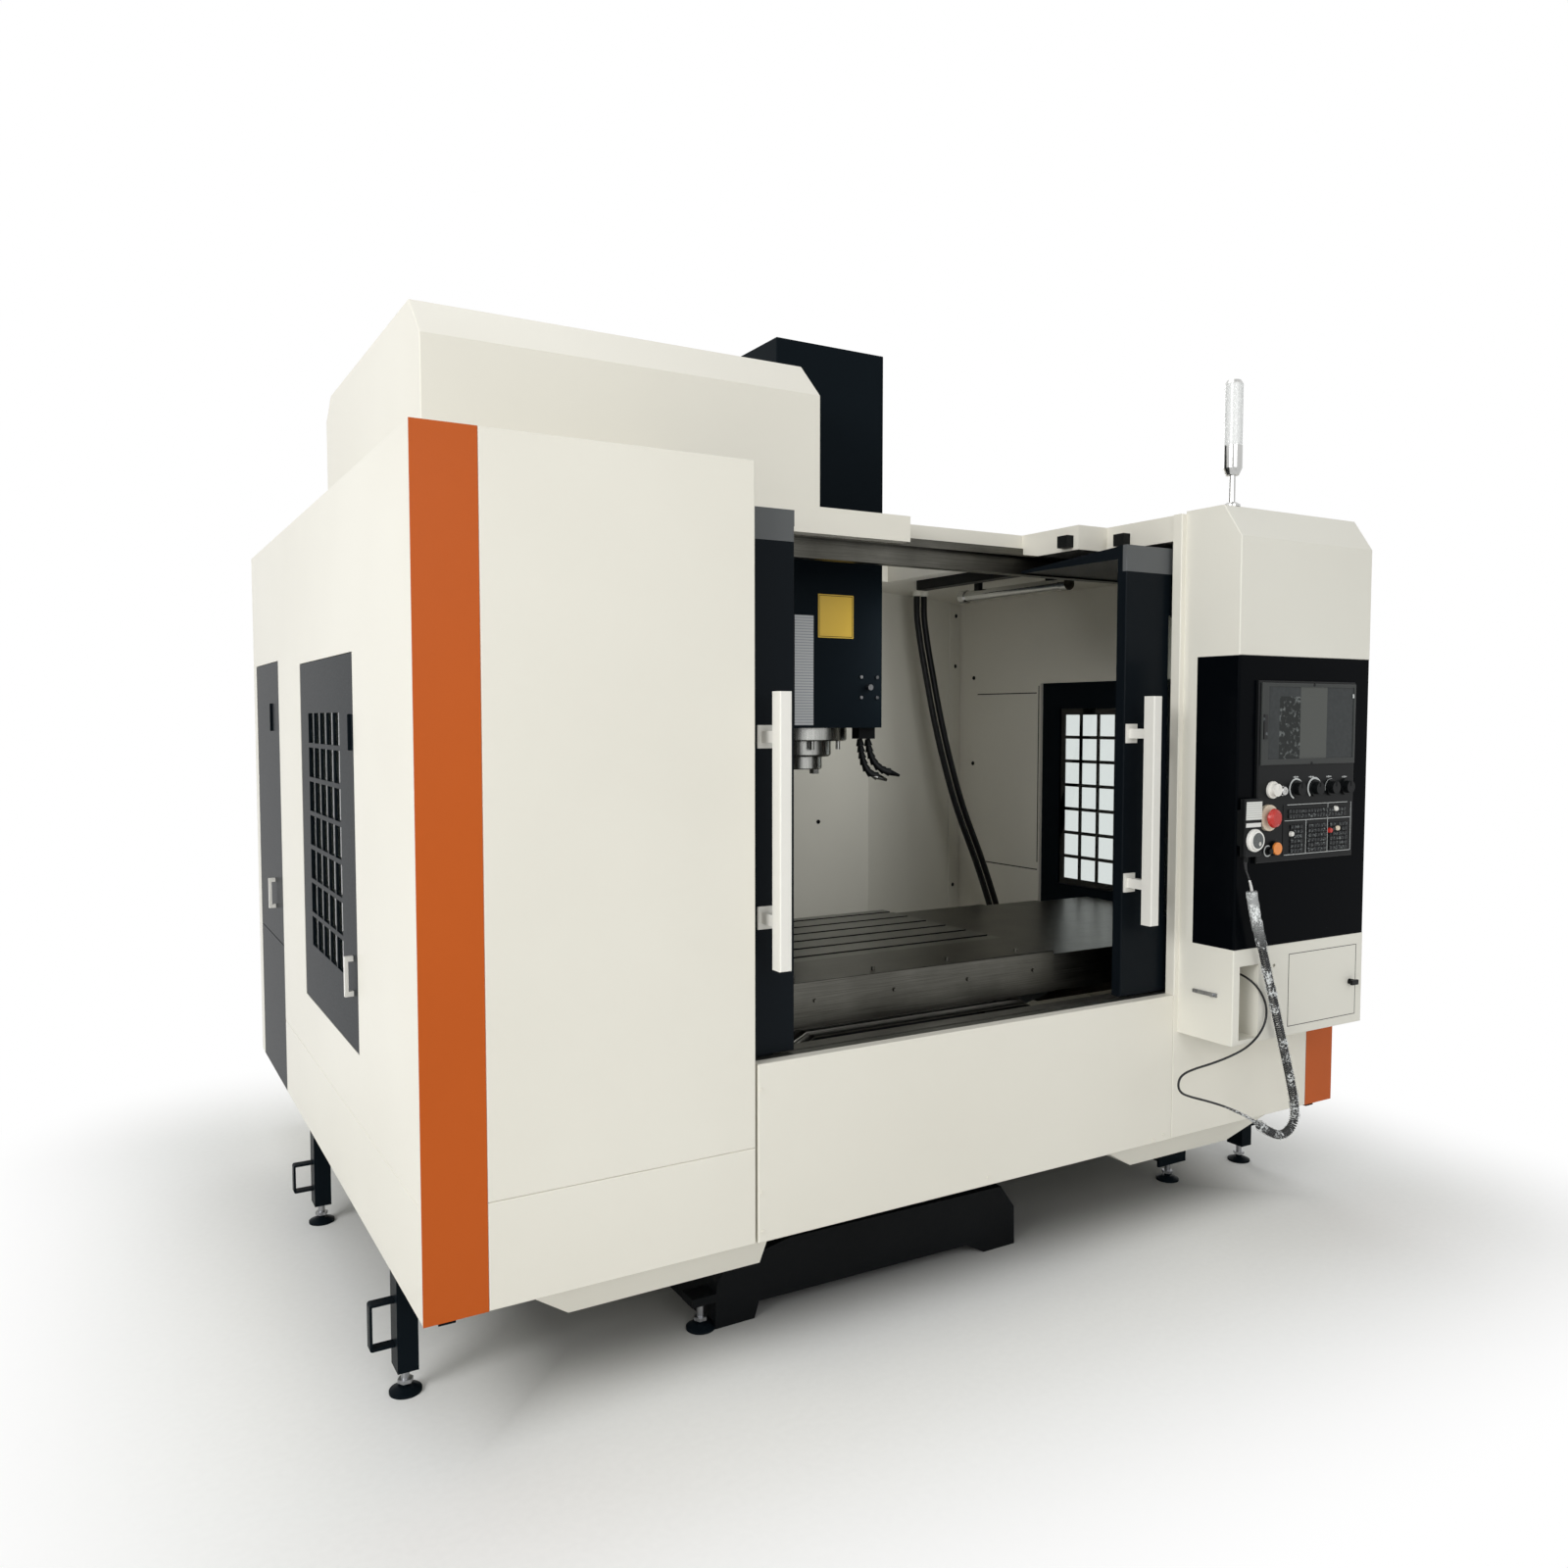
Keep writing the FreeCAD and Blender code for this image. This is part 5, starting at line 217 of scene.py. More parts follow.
def door_coat(name):
    """Blue-black powder coat with a grey strip along the top."""
    made, tree, place = blank(name)
    axes = add(tree, "ShaderNodeSeparateXYZ", {0: place})
    above = add(tree, "ShaderNodeMath", {0: axes.outputs[2], 1: mm(GREY_STRIP_Z)},
                operation="GREATER_THAN")
    front = add(tree, "ShaderNodeMath", {0: axes.outputs[1], 1: at(0, DOOR_EDGE_Y, 0).y},
                operation="LESS_THAN")
    strip = add(tree, "ShaderNodeMath", {0: above.outputs[0], 1: front.outputs[0]},
                operation="MULTIPLY")
    cloud = add(tree, "ShaderNodeTexNoise", {"Vector": place, "Scale": 1000 / CLOUD_MM}).outputs[0]
    coat = add(tree, "ShaderNodeMix", {0: cloud, 6: linear("#0B0F13"), 7: linear("#12181D")},
               data_type="RGBA")
    tone = add(tree, "ShaderNodeMix",
               {0: strip.outputs[0], 6: coat.outputs[2], 7: linear("#5E6061")}, data_type="RGBA")
    grain = add(tree, "ShaderNodeTexNoise", {"Vector": place, "Scale": 1000 / PEEL_MM}).outputs[0]
    return surface(made, tone.outputs[2], grain, DOOR_ROUGH, 0.04, {"Specular IOR Level": 0.06})


sliding_door_coat = door_coat("powder_coat_door_two_tone")
print("grey strip from", GREY_STRIP_Z, "mm up")

# %% [markdown]
# ## Castings
# Bed, column, saddle and head are grey iron cast in sand. The skin of a sand casting is rough at
# the size of the sand grains, and the enamel on it rounds that off.

# %% Cast iron
SAND_MM = 9.0                # grain of the skin, drawn coarser than the real 1 to 2 mm
BLOTCH_MM = 220.0            # where the enamel is thicker or thinner
SAND_DEPTH_MM = 0.5


def casting(name, colour, dark, rough, shine=0.3):
    """Painted sand casting."""
    made, tree, place = blank(name)
    skin = add(tree, "ShaderNodeTexNoise",
               {"Vector": place, "Scale": 1000 / SAND_MM, "Detail": 4.0}).outputs[0]
    blotch = add(tree, "ShaderNodeTexNoise",
                 {"Vector": place, "Scale": 1000 / BLOTCH_MM}).outputs[0]
    tone = add(tree, "ShaderNodeMix", {0: blotch, 6: linear(dark), 7: linear(colour)},
               data_type="RGBA")
    return surface(made, tone.outputs[2], skin, (rough - 0.1, rough + 0.12), SAND_DEPTH_MM,
                   {"Specular IOR Level": shine})


bed_iron = casting("cast_iron_black_enamel", "#131517", "#0A0C0D", 0.45, shine=0.08)
grey_iron = casting("cast_iron_grey_enamel", "#6E7374", "#595E5F", 0.5)
print("castings:", bed_iron.name, "and", grey_iron.name)

# %% [markdown]
# ## Bare metal
# Ground and brushed steel are scratched in one direction. The scratches are far too fine to draw
# one by one, so noise is stretched along their direction: it changes the roughness and gives a
# shallow relief, which pulls each highlight out across the scratches.

# %% Brushed and ground steel
SMEAR_MM = 160.0             # wiped oil and handling marks
STRETCH = 0.012              # share to which the noise is squeezed along the scratches
SCRATCH_DEPTH_MM = 0.03


def brushed(name, colour, dark, rough, along, line_mm=1.6):
    """Metal brushed along one axis, 0, 1 or 2; line_mm is the width of its scratches."""
    made, tree, place = blank(name)
    stretch = [1.0, 1.0, 1.0]
    stretch[along] = STRETCH
    drawn = add(tree, "ShaderNodeMapping", {"Vector": place, "Scale": stretch}).outputs[0]
    lines = add(tree, "ShaderNodeTexNoise",
                {"Vector": drawn, "Scale": 1000 / line_mm, "Detail": 3.0}).outputs[0]
    smear = add(tree, "ShaderNodeTexNoise",
                {"Vector": place, "Scale": 1000 / SMEAR_MM, "Detail": 3.0}).outputs[0]
    mixed = add(tree, "ShaderNodeMath", {0: lines, 1: smear}, operation="MULTIPLY").outputs[0]
    worn = add(tree, "ShaderNodeMapRange",
               {"Value": mixed, "From Min": 0.1, "From Max": 0.45}).outputs[0]
    tone = add(tree, "ShaderNodeMix", {0: worn, 6: linear(dark), 7: linear(colour)},
               data_type="RGBA")
    return surface(made, tone.outputs[2], lines, (rough - 0.1, rough + 0.14), SCRATCH_DEPTH_MM,
                   {"Metallic": 1.0})


stainless_x = brushed("stainless_steel_brushed", "#B4B3AE", "#8B8B85", 0.3, 0)
# The same brushed stainless painted much darker: painted shade on the guards, the covers and the
# door track under the roof.
stainless_shaded = brushed("stainless_steel_brushed_shaded", "#66655F", "#45443F", 0.3, 0)
table_iron = brushed("cast_iron_ground", "#93938E", "#6F706C", 0.34, 0)
ground_steel = brushed("steel_ground", "#B4B4B0", "#8E8F8C", 0.24, 2, line_mm=2.4)
chrome_steel = brushed("steel_chromed", "#D6D6D4", "#B4B4B2", 0.14, 2, line_mm=3.0)
zinc = brushed("steel_zinc_plated", "#B9BABB", "#8C8D91", 0.32, 2, line_mm=6.0)
print("metals:",
      [m.name for m in (stainless_x, stainless_shaded, table_iron, ground_steel, chrome_steel, zinc)])

# %% [markdown]
# ## Plastic, rubber and enamelled labels
# Moulded plastic copies the skin of its mould: a polished mould gives a gloss, an etched one a
# fine grain. The grain is in the roughness and in a very shallow relief, at about the real size.

# %% Plastics
def moulded(name, colour, rough, grain_mm=2.0, depth_mm=0.03, shine=0.5):
    """Moulded plastic with the faint grain of its mould."""
    made, tree, place = blank(name)
    grain = add(tree, "ShaderNodeTexNoise",
                {"Vector": place, "Scale": 1000 / grain_mm, "Detail": 3.0}).outputs[0]
    return surface(made, linear(colour), grain, (rough - 0.05, rough + 0.07), depth_mm,
                   {"Specular IOR Level": shine})


# Acrylic sheet is polished, so its black is deep. ABS from an etched mould is a duller black.
gloss_black = moulded("acrylic_black", "#05070A", 0.2, 40.0, 0.02, shine=0.02)
abs_black = moulded("abs_black", "#0D0F10", 0.38, shine=0.14)
abs_white = moulded("abs_white", "#E4E2DC", 0.32)
# The caps are ABS from polished moulds: clear strong colours with a small bright highlight.
red_cap = moulded("abs_red", "#B5271E", 0.26)
orange_cap = moulded("abs_orange", "#E58A3E", 0.28)
cream_cap = moulded("abs_cream", "#D9CCB6", 0.32)
# Vinyl and polyester plates are printed sheets with an even satin face.
plate_yellow = moulded("vinyl_yellow", "#C9A63C", 0.35)
label_white = moulded("polyester_label", "#DDDDDA", 0.4)
frame_grey = moulded("abs_grey_screen_frame", "#3C3E3D", 0.36, shine=0.14)
print_white = moulded("screen_printed_white", "#C9CCCB", 0.5, 3.0, 0.01)
# Rubber shines softly and without a fine grain; a cable's jacket is a little duller than a hose.
hose_rubber = moulded("rubber_hose_smooth", "#101113", 0.34, 30.0, 0.05, shine=0.4)
cable_rubber = moulded("rubber_cable_jacket", "#121315", 0.38, 8.0, 0.02, shine=0.4)
# The faces inside the T-slots are painted near black: painted shade in the recesses.
slot_shade = moulded("iron_slot_painted_shade", "#080808", 0.5, shine=0.05)
print(len(bpy.data.materials), "materials so far")

# %% [markdown]
# Printed matter is blank on this machine, but a label still has its ruled lines, and a key its
# small light mark. Both are patterns on Object coordinates: a ruling repeats with height, and the
# marks are the peaks of a fine noise.

# %% Ruled labels and marked keys
LABEL_GRAIN_MM = 2.5


def ruled(name, colour, ink, pitch_mm, share):
    """Label with level ruled lines; share is the part of each pitch that is inked."""
    made, tree, place = blank(name)
    height = add(tree, "ShaderNodeSeparateXYZ", {0: place}).outputs[2]
    count = add(tree, "ShaderNodeMath", {0: height, 1: 1000 / pitch_mm},
                operation="MULTIPLY").outputs[0]
    step = add(tree, "ShaderNodeMath", {0: count}, operation="FRACT").outputs[0]
    line = add(tree, "ShaderNodeMath", {0: step, 1: share}, operation="LESS_THAN").outputs[0]
    tone = add(tree, "ShaderNodeMix", {0: line, 6: linear(colour), 7: linear(ink)},
               data_type="RGBA")
    grain = add(tree, "ShaderNodeTexNoise",
                {"Vector": place, "Scale": 1000 / LABEL_GRAIN_MM}).outputs[0]
    return surface(made, tone.outputs[2], grain, (0.34, 0.5))


def marked(name, colour, mark, size_mm, level):
    """Plastic with small printed marks where a noise is above a level."""
    made, tree, place = blank(name)
    patch = add(tree, "ShaderNodeTexNoise",
                {"Vector": place, "Scale": 1000 / size_mm, "Detail": 1.0}).outputs[0]
    shown = add(tree, "ShaderNodeMath", {0: patch, 1: level}, operation="GREATER_THAN").outputs[0]
    tone = add(tree, "ShaderNodeMix", {0: shown, 6: linear(colour), 7: linear(mark)},
               data_type="RGBA")
    return surface(made, tone.outputs[2], patch, (0.36, 0.48), more={"Specular IOR Level": 0.3})


plate_grey = ruled("vinyl_grey_ruled", "#ABADAE", "#82858A", 8.0, 0.3)
label_ruled = ruled("polyester_label_ruled", "#D6D7D2", "#B4B6B2", 6.0, 0.25)
key_black = marked("silicone_key_black", "#191C1E", "#6B706F", 5.0, 0.62)
card_black = marked("abs_card_cover", "#0C0D0E", "#53585A", 14.0, 0.66)
print("printed:", [m.name for m in (plate_grey, label_ruled, key_black, card_black)])

# %% [markdown]
# ## Glass, screen and film
# Sheet glass has an index of refraction of 1.5 and is otherwise only clear. The stack light's
# tube is milky acrylic, which lets some light through and scatters the rest.

# %% Clear and milky sheet
HAZE_MM = 90.0               # wiped cloudy places
SHEET_IOR = 1.5              # of float glass, and nearly that of acrylic


def clear(name, colour, rough=0.02, through=1.0):
    """Clear or milky sheet; through is the share of light that it lets pass."""
    made, tree, place = blank(name)
    haze = add(tree, "ShaderNodeTexNoise",
               {"Vector": place, "Scale": 1000 / HAZE_MM, "Detail": 3.0}).outputs[0]
    return surface(made, linear(colour), haze, (rough, rough + 0.04),
                   more={"IOR": SHEET_IOR, "Transmission Weight": through})


door_glass = clear("glass_float", "#DDE4E2")
milky_acrylic = clear("acrylic_milky", "#FAFBFA", 0.25, 0.3)
print("sheets:", door_glass.name, "and", milky_acrylic.name)

# %% [markdown]
# The screen is switched off. Its cover shows a lighter band down the middle, where a protective
# film was stuck on, and a darker block with dust beside it. COMPARE answers 1 inside a band of
# the panel, so each band is one node.

# %% Display
BAND_X = (987.5, 56.5)       # middle and half width of the lighter band
BLOCK_X = (887.5, 43.5)      # and of the dusty block,
BLOCK_TOP = 1520             # which ends below this height
DUST_MM = 11.1


def display_cover(name):
    """Dark display cover with a lighter band and a dusty darker block."""
    made, tree, place = blank(name)
    axes = add(tree, "ShaderNodeSeparateXYZ", {0: place})
    band = add(tree, "ShaderNodeMath", {0: axes.outputs[0], 1: mm(BAND_X[0]), 2: mm(BAND_X[1])},
               operation="COMPARE")
    block = add(tree, "ShaderNodeMath", {0: axes.outputs[0], 1: mm(BLOCK_X[0]), 2: mm(BLOCK_X[1])},
                operation="COMPARE")
    below = add(tree, "ShaderNodeMath", {0: axes.outputs[2], 1: mm(BLOCK_TOP)},
                operation="LESS_THAN")
    inside = add(tree, "ShaderNodeMath", {0: block.outputs[0], 1: below.outputs[0]},
                 operation="MULTIPLY")
    dust = add(tree, "ShaderNodeTexNoise",
               {"Vector": place, "Scale": 1000 / DUST_MM, "Detail": 2.0}).outputs[0]
    spots = add(tree, "ShaderNodeMapRange",
                {"Value": dust, "From Min": 0.55, "From Max": 0.8}).outputs[0]
    dusty = add(tree, "ShaderNodeMix", {0: spots, 6: linear("#242726"), 7: linear("#7C8180")},
                data_type="RGBA")
    plain = add(tree, "ShaderNodeMix", {0: dust, 6: linear("#303333"), 7: linear("#404344")},
                data_type="RGBA")
    left = add(tree, "ShaderNodeMix",
               {0: inside.outputs[0], 6: plain.outputs[2], 7: dusty.outputs[2]}, data_type="RGBA")
    tone = add(tree, "ShaderNodeMix",
               {0: band.outputs[0], 6: left.outputs[2], 7: linear("#545653")}, data_type="RGBA")
    return surface(made, tone.outputs[2], dust, (0.1, 0.2), more={"Specular IOR Level": 0.12})


display = display_cover("acrylic_display_cover")
print("lighter band from x =", BAND_X[0] - BAND_X[1], "to", BAND_X[0] + BAND_X[1], "mm")

# %% [markdown]
# The handwheel's dial is a white knob with a dark printed face. The face is a disc about the
# dial's own axis, so it turns with the dial.

# %% Dial
DIAL_CENTRE = (735.0, 1140.0)
DIAL_FACE_RADIUS = 21.0
DIAL_FACE_Y = -221.5         # the printed face is all that lies in front of this
SPECK_MM = 4.0


def dial_cap(name):
    """White dial whose front is dark inside a circle."""
    made, tree, place = blank(name)
    middle = at(DIAL_CENTRE[0], 0, DIAL_CENTRE[1])
    axes = add(tree, "ShaderNodeSeparateXYZ", {0: place})
    flat = add(tree, "ShaderNodeCombineXYZ", {0: axes.outputs[0], 1: middle.y, 2: axes.outputs[2]})
    reach = add(tree, "ShaderNodeVectorMath", {0: flat.outputs[0], 1: middle},
                operation="DISTANCE").outputs[1]
    near = add(tree, "ShaderNodeMath", {0: reach, 1: mm(DIAL_FACE_RADIUS)},
               operation="LESS_THAN").outputs[0]
    front = add(tree, "ShaderNodeMath", {0: axes.outputs[1], 1: at(0, DIAL_FACE_Y, 0).y},
                operation="LESS_THAN")
    face = add(tree, "ShaderNodeMath", {0: near, 1: front.outputs[0]},
               operation="MULTIPLY").outputs[0]
    speck = add(tree, "ShaderNodeTexNoise",
                {"Vector": place, "Scale": 1000 / SPECK_MM, "Detail": 2.0}).outputs[0]
    dark = add(tree, "ShaderNodeMix", {0: speck, 6: linear("#25292A"), 7: linear("#6A6F6E")},
               data_type="RGBA")
    tone = add(tree, "ShaderNodeMix", {0: face, 6: linear("#E6E5E0"), 7: dark.outputs[2]},
               data_type="RGBA")
    return surface(made, tone.outputs[2], speck, (0.26, 0.4))


dial_white = dial_cap("abs_dial_white")
print("printed face", 2 * DIAL_FACE_RADIUS, "mm across")

# %% [markdown]
# The curly cord still wears its packing sleeve of thin polythene film. Film this thin doesn't bend
# light, it only covers part of it: so it has an Alpha instead of transmission. The peaks of a fine
# noise make the film opaque and white there: painted highlights that stand for the glints of its
# crinkles. Near its upper end the film is bunched in several layers and covers more.

# %% Film
BUNCHED_Z = (850.0, 960.0)   # the film lies in more layers near its upper end
CREASE_MM = 5.88             # fine creases
FOLD_MM = 33.3               # and the broad folds that gather them


def packing_film(name):
    """Thin clear film with opaque white flecks painted as the glints of its crinkles."""
    made, tree, place = blank(name)
    crush = add(tree, "ShaderNodeTexNoise",
                {"Vector": place, "Scale": 1000 / CREASE_MM, "Detail": 4.0}).outputs[0]
    broad = add(tree, "ShaderNodeTexNoise",
                {"Vector": place, "Scale": 1000 / FOLD_MM, "Detail": 2.0}).outputs[0]
    mixed = add(tree, "ShaderNodeMath", {0: crush, 1: broad}, operation="MULTIPLY").outputs[0]
    # Painted highlights: where the noise peaks, the film turns opaque white.
    painted_glints = add(tree, "ShaderNodeMapRange", {"Value": mixed, "From Min": 0.27, "From Max": 0.38,
                                               "To Min": 0.03, "To Max": 0.75}).outputs[0]
    height = add(tree, "ShaderNodeSeparateXYZ", {0: place}).outputs[2]
    bunched = add(tree, "ShaderNodeMapRange",
                  {"Value": height, "From Min": mm(BUNCHED_Z[0]), "From Max": mm(BUNCHED_Z[1]),
                   "To Max": 0.4}).outputs[0]
    cover = add(tree, "ShaderNodeMath", {0: painted_glints, 1: bunched}, operation="ADD",
                use_clamp=True).outputs[0]
    relief = add(tree, "ShaderNodeBump", {"Height": crush, "Distance": mm(1.5)}).outputs[0]
    shader = add(tree, "ShaderNodeBsdfPrincipled",
                 {"Base Color": linear("#E3E6E6"), "Roughness": 0.22, "Alpha": cover,
                  "Normal": relief})
    add(tree, "ShaderNodeOutputMaterial", {"Surface": shader.outputs[0]})
    return made


film = packing_film("polythene_film_crushed")
print(len(bpy.data.materials), "materials in all")

# %% [markdown]
# ## Which piece wears what
# A table of finishes is easier to check than sixty separate lines: each material has the names of
# the nodes that wear it, and the last line prints any node that was forgotten.

# %% Give each node its finish
finish = {
    white_coat: "outer_panels front_apron rear_cabinet roof_panels magazine_hood",
    inner_coat_shaded: "inner_walls",
    control_coat: "control_housing base_box_door",
    orange_coat: "corner_strips",
    sliding_door_coat: "left_door right_door",
    black_coat: "head_cover left_window_door right_window_door cabinet_door feet_and_legs",
    bed_iron: "bed_casting",
    grey_iron: "column_casting saddle_casting head_casting magazine_frame",
    table_iron: "table",
    stainless_x: "door_tracks fixed_way_covers y_cover_2 y_cover_3 z_cover_middle",
    stainless_shaded: "saddle_covers table_guards x_cover_middle",
    ground_steel: "spindle spindle_cartridge x_ballscrew y_ballscrew z_ballscrew tool_arm",
    chrome_steel: "stack_light_mast",
    handle_coat: "left_door_handle right_door_handle",
    door_glass: "left_door_glass right_door_glass",
    milky_acrylic: "stack_light_lens",
    gloss_black: "control_case",
    frame_grey: "screen_unit",
    abs_black: "operator_panel pendant coolant_nozzles work_lamp selector_2 selector_3 "
               "tool_disc axis_motors",
    abs_white: "selector_1",
    red_cap: "e_stop_button",
    orange_cap: "start_button",
    dial_white: "pulse_dial",
    hose_rubber: "hose_left hose_right",
    cable_rubber: "coiled_cable loop_cable",
}


def paint(item, made):
    """Gives an object one material on all its faces."""
    item.data.materials.clear()
    item.data.materials.append(made)


for made, names in finish.items():
    for name in names.split():
        paint(nodes[name], made)
bare = sorted(set(nodes) - {n for names in finish.values() for n in names.split()})
print("nodes without a finish:", bare)

# %% [markdown]
# ## Two finishes on one piece
# Where the CAD fuses a small detail with the piece that carries it, such as a plate on a cover,
# the node has one mesh, and its faces are told apart by their place. A material slot holds each
# finish, and a face's index picks one of them. The node's shape stays as it is.

# %% Painting part of a node
SAME_WAY = 0.7               # cosine above which a face counts as facing that way


def drawing(point):
    """Point of the frame in the drawing's millimetres."""
    return point.x * 1000, point.y * 1000 + FRAME_MIDDLE_Y, point.z * 1000


def paint_part(name, made, x=None, y=None, z=None, facing=None):
    """Gives the faces of a node that lie inside a box of the drawing another finish."""
    mesh = nodes[name].data
    mesh.materials.append(made)
    index = len(mesh.materials) - 1
    count = 0
    for face in mesh.polygons:
        place = drawing(face.center)
        inside = all(span is None or span[0] <= v <= span[1] for span, v in zip((x, y, z), place))
        if inside and (facing is None or face.normal.dot(Vector(facing)) > SAME_WAY):
            face.material_index = index
            count += 1
    print(name, made.name, count, "faces")


# %% [markdown]
# Each line below names a node, a finish, and the box that its faces lie in. The boxes were read
# off the CAD part, and each line prints how many faces it found.

# %% Plates, panes and fittings
HEAD_FRONT = (690, 700.9)    # what stands proud of the head cover's front
PANE_Y, PANE_Z = (709, 1196), (818, 1499)

# The two plates on the head cover, and its screws with the air outlet.
paint_part("head_cover", plate_yellow, (-51, 75), HEAD_FRONT, (1697, 1826))
paint_part("head_cover", plate_grey, (-131, -65), HEAD_FRONT, (1440, 1762))
paint_part("head_cover", zinc, (95, 170), (680, HEAD_FRONT[1]), (1515, 1595))
# The pale collar round the e-stop, the hand unit's labels, and the screen with its card slot.
paint_part("operator_panel", cream_cap, (770, 842), (-204, -193.1), (1160, 1232))
paint_part("pendant", label_ruled, (702, 766), (-211, -209.5), (1193, 1243))
paint_part("pendant", label_white, (702, 763), (-211, -209.5), (1174, 1187))
paint_part("screen_unit", display, (797, 1161), (-198, -196.5), (1351, 1547))
paint_part("screen_unit", card_black, (774, 793), (-203, -199.2), (1404, 1473))
# The pull and the panes of each side window; the outer faces of the panes are a layer of their own.
for name, side in (("left_window_door", -1), ("right_window_door", 1)):
    pull, pane, outer = (sorted((side * a, side * b))
                         for a, b in ((1386.5, 1420), (1375.9, 1379.1), (1379.9, 1380.1)))
    paint_part(name, handle_coat, pull, (612, 632), (805, 910))
    paint_part(name, door_glass, pane, PANE_Y, PANE_Z)
    paint_part(name, door_glass, outer, PANE_Y, PANE_Z, facing=(side, 0, 0))
# Pulls, knobs and levelling screws, the slots painted near black as shade, and the bright ends of
# lamps and nozzles.
paint_part("cabinet_door", handle_coat, (-1420, -1386.5), (1870, 1890), (840, 950))
# Painted shade: the door track's top, under the roof, is painted dark steel, and a piece of it
# black.
paint_part("door_tracks", stainless_shaded, z=(1850, 1991))
paint_part("door_tracks", abs_black, (500, 700), (190, 350), (1950, 2000))
# Painted shade: the faces inside the T-slots get the near-black finish.
paint_part("table", slot_shade, (-594, 404), (414, 1006), (700, 814.5))
paint_part("feet_and_legs", zinc, z=(20, 55.5))
paint_part("base_box_door", abs_black, (1175, 1212), (-210, -183.1), (690, 730))
paint_part("control_housing", zinc, (680, 696.9), (-140, -50), (700, 730))
paint_part("control_housing", abs_black, (755, 795), (-140, -63.1), (750, 790))
paint_part("work_lamp", chrome_steel, (815, 875), z=(1870, 1925))
paint_part("coolant_nozzles", chrome_steel, z=(1422, 1434))
paint_part("coolant_nozzles", chrome_steel, z=(1267, 1284))
paint_part("stack_light_lens", chrome_steel, z=(2344, 2359))

# %% [markdown]
# ## Free cords
# The hand unit hangs its cord from the panel: a short lead, then a curly cord in its film sleeve,
# then a thin lead that loops back up and plugs into the pocket of the base box. The points below
# are the route that was laid out in the drawing. A NURBS curve passes smoothly near them; its
# order and its endpoint switch are set after the points, since before that it has too few points
# to take them.

# %% Routes of the cords
CORD_EXIT = (712, -201, 1084)
UPPER_LEAD = [CORD_EXIT, (712, -201, 1068), (715.5, -210, 1044), (719.8, -215, 1019.7),
              (723, -215, 1005)]
CURLY_CORD = [(723, -215, 1005), (735, -215, 950), (762, -215, 875), (792, -216, 784),
              (823, -217, 690), (861, -217, 580), (898, -216, 475), (922, -216, 395),
              (915, -215, 345), (870, -215, 325), (815, -215, 345), (775, -215, 372)]
LOWER_LEAD = [(775, -215, 372), (741.8, -215, 394.4), (660, -208, 436), (590, -204, 463),
              (520, -200, 486), (484, -199, 502), (475, -198, 525), (487, -198, 547),
              (531, -198, 556), (600, -198, 560), (668, -198, 568), (735, -197, 581),
              (786, -196, 606), (816, -196, 641), (821, -195, 681), (804, -193, 718),
              (788, -182, 745), (779, -160, 762), (775, -133, 770), (775, -103, 770)]
LEAD_DIAMETER = 6.0
SLEEVE_DIAMETER = 29.0


def cord_curve(name, route, radius=0.0):
    """Smooth curve along a route of the drawing, with that bevel radius in metres."""
    data = bpy.data.curves.new(name, "CURVE")
    data.dimensions = "3D"
    data.resolution_u = 12
    data.bevel_depth = radius
    data.bevel_resolution = 3
    data.use_fill_caps = True
    spline = data.splines.new("NURBS")
    spline.points.add(len(route) - 1)
    for point, place in zip(spline.points, route):
        point.co = (*at(*place), 1.0)
    spline.order_u = 3
    spline.use_endpoint_u = True
    return placed(name, data)


def centreline(route):
    """Points along the smooth line of a route, read from its curve without a bevel."""
    curve = cord_curve("route_line", route)
    mesh = bpy.data.meshes.new_from_object(curve)
    points = [vertex.co.copy() for vertex in mesh.vertices]
    data = curve.data
    bpy.data.objects.remove(curve)
    bpy.data.curves.remove(data)
    bpy.data.meshes.remove(mesh)
    return points


def spaced(points, step):
    """Points at even distances along a line of points."""
    kept, left = [points[0].copy()], step
    for start, end in zip(points, points[1:]):
        run = (end - start).length
        while run >= left:
            start = start.lerp(end, left / run)
            kept.append(start.copy())
            run, left = run - left, step
        left -= run
    return kept


def frames(points):
    """For each point its forward, side and up directions, turned as little as possible."""
    made = []
    side = Vector((0, 1, 0))
    for i, point in enumerate(points):
        forward = (points[min(i + 1, len(points) - 1)] - points[max(i - 1, 0)]).normalized()
        side = (side - forward * side.dot(forward)).normalized()
        made.append((point, forward, side, forward.cross(side)))
    return made


upper_line, curly_line, lower_line = (centreline(r) for r in (UPPER_LEAD, CURLY_CORD, LOWER_LEAD))
for name, line in (("upper", upper_line), ("curly", curly_line), ("lower", lower_line)):
    print(name, "lead", round(sum((b - a).length for a, b in zip(line, line[1:])) * 1000), "mm")

# %% [markdown]
# A tube with a shape of its own, such as a crushed sleeve or a tapered strain relief, is made
# ring by ring: each ring is a circle round one point of the line, and its radius can change with
# the place.

# %% A tube ring by ring
def mesh_piece(name, vertices, faces, made, smooth=True):
    """Object of the fixed machine, with its mesh in place and its material."""
    mesh = bpy.data.meshes.new(name)
    mesh.from_pydata([tuple(v) for v in vertices], [], faces)
    tidy = bmesh.new()
    tidy.from_mesh(mesh)
    bmesh.ops.recalc_face_normals(tidy, faces=tidy.faces)
    tidy.to_mesh(mesh)
    tidy.free()
    mesh.polygons.foreach_set("use_smooth", [smooth] * len(mesh.polygons))
    mesh.materials.append(made)
    piece = placed(name, mesh)
    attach(piece, "machine")
    return piece


def tube_faces(rings, sides):
    """Faces of a closed tube whose vertices stand ring after ring."""
    faces = []
    for i in range(rings - 1):
        for k in range(sides):
            right = (k + 1) % sides
            faces.append((i * sides + k, i * sides + right, (i + 1) * sides + right,
                          (i + 1) * sides + k))
    return faces + [tuple(range(sides)), tuple(range((rings - 1) * sides, rings * sides))]


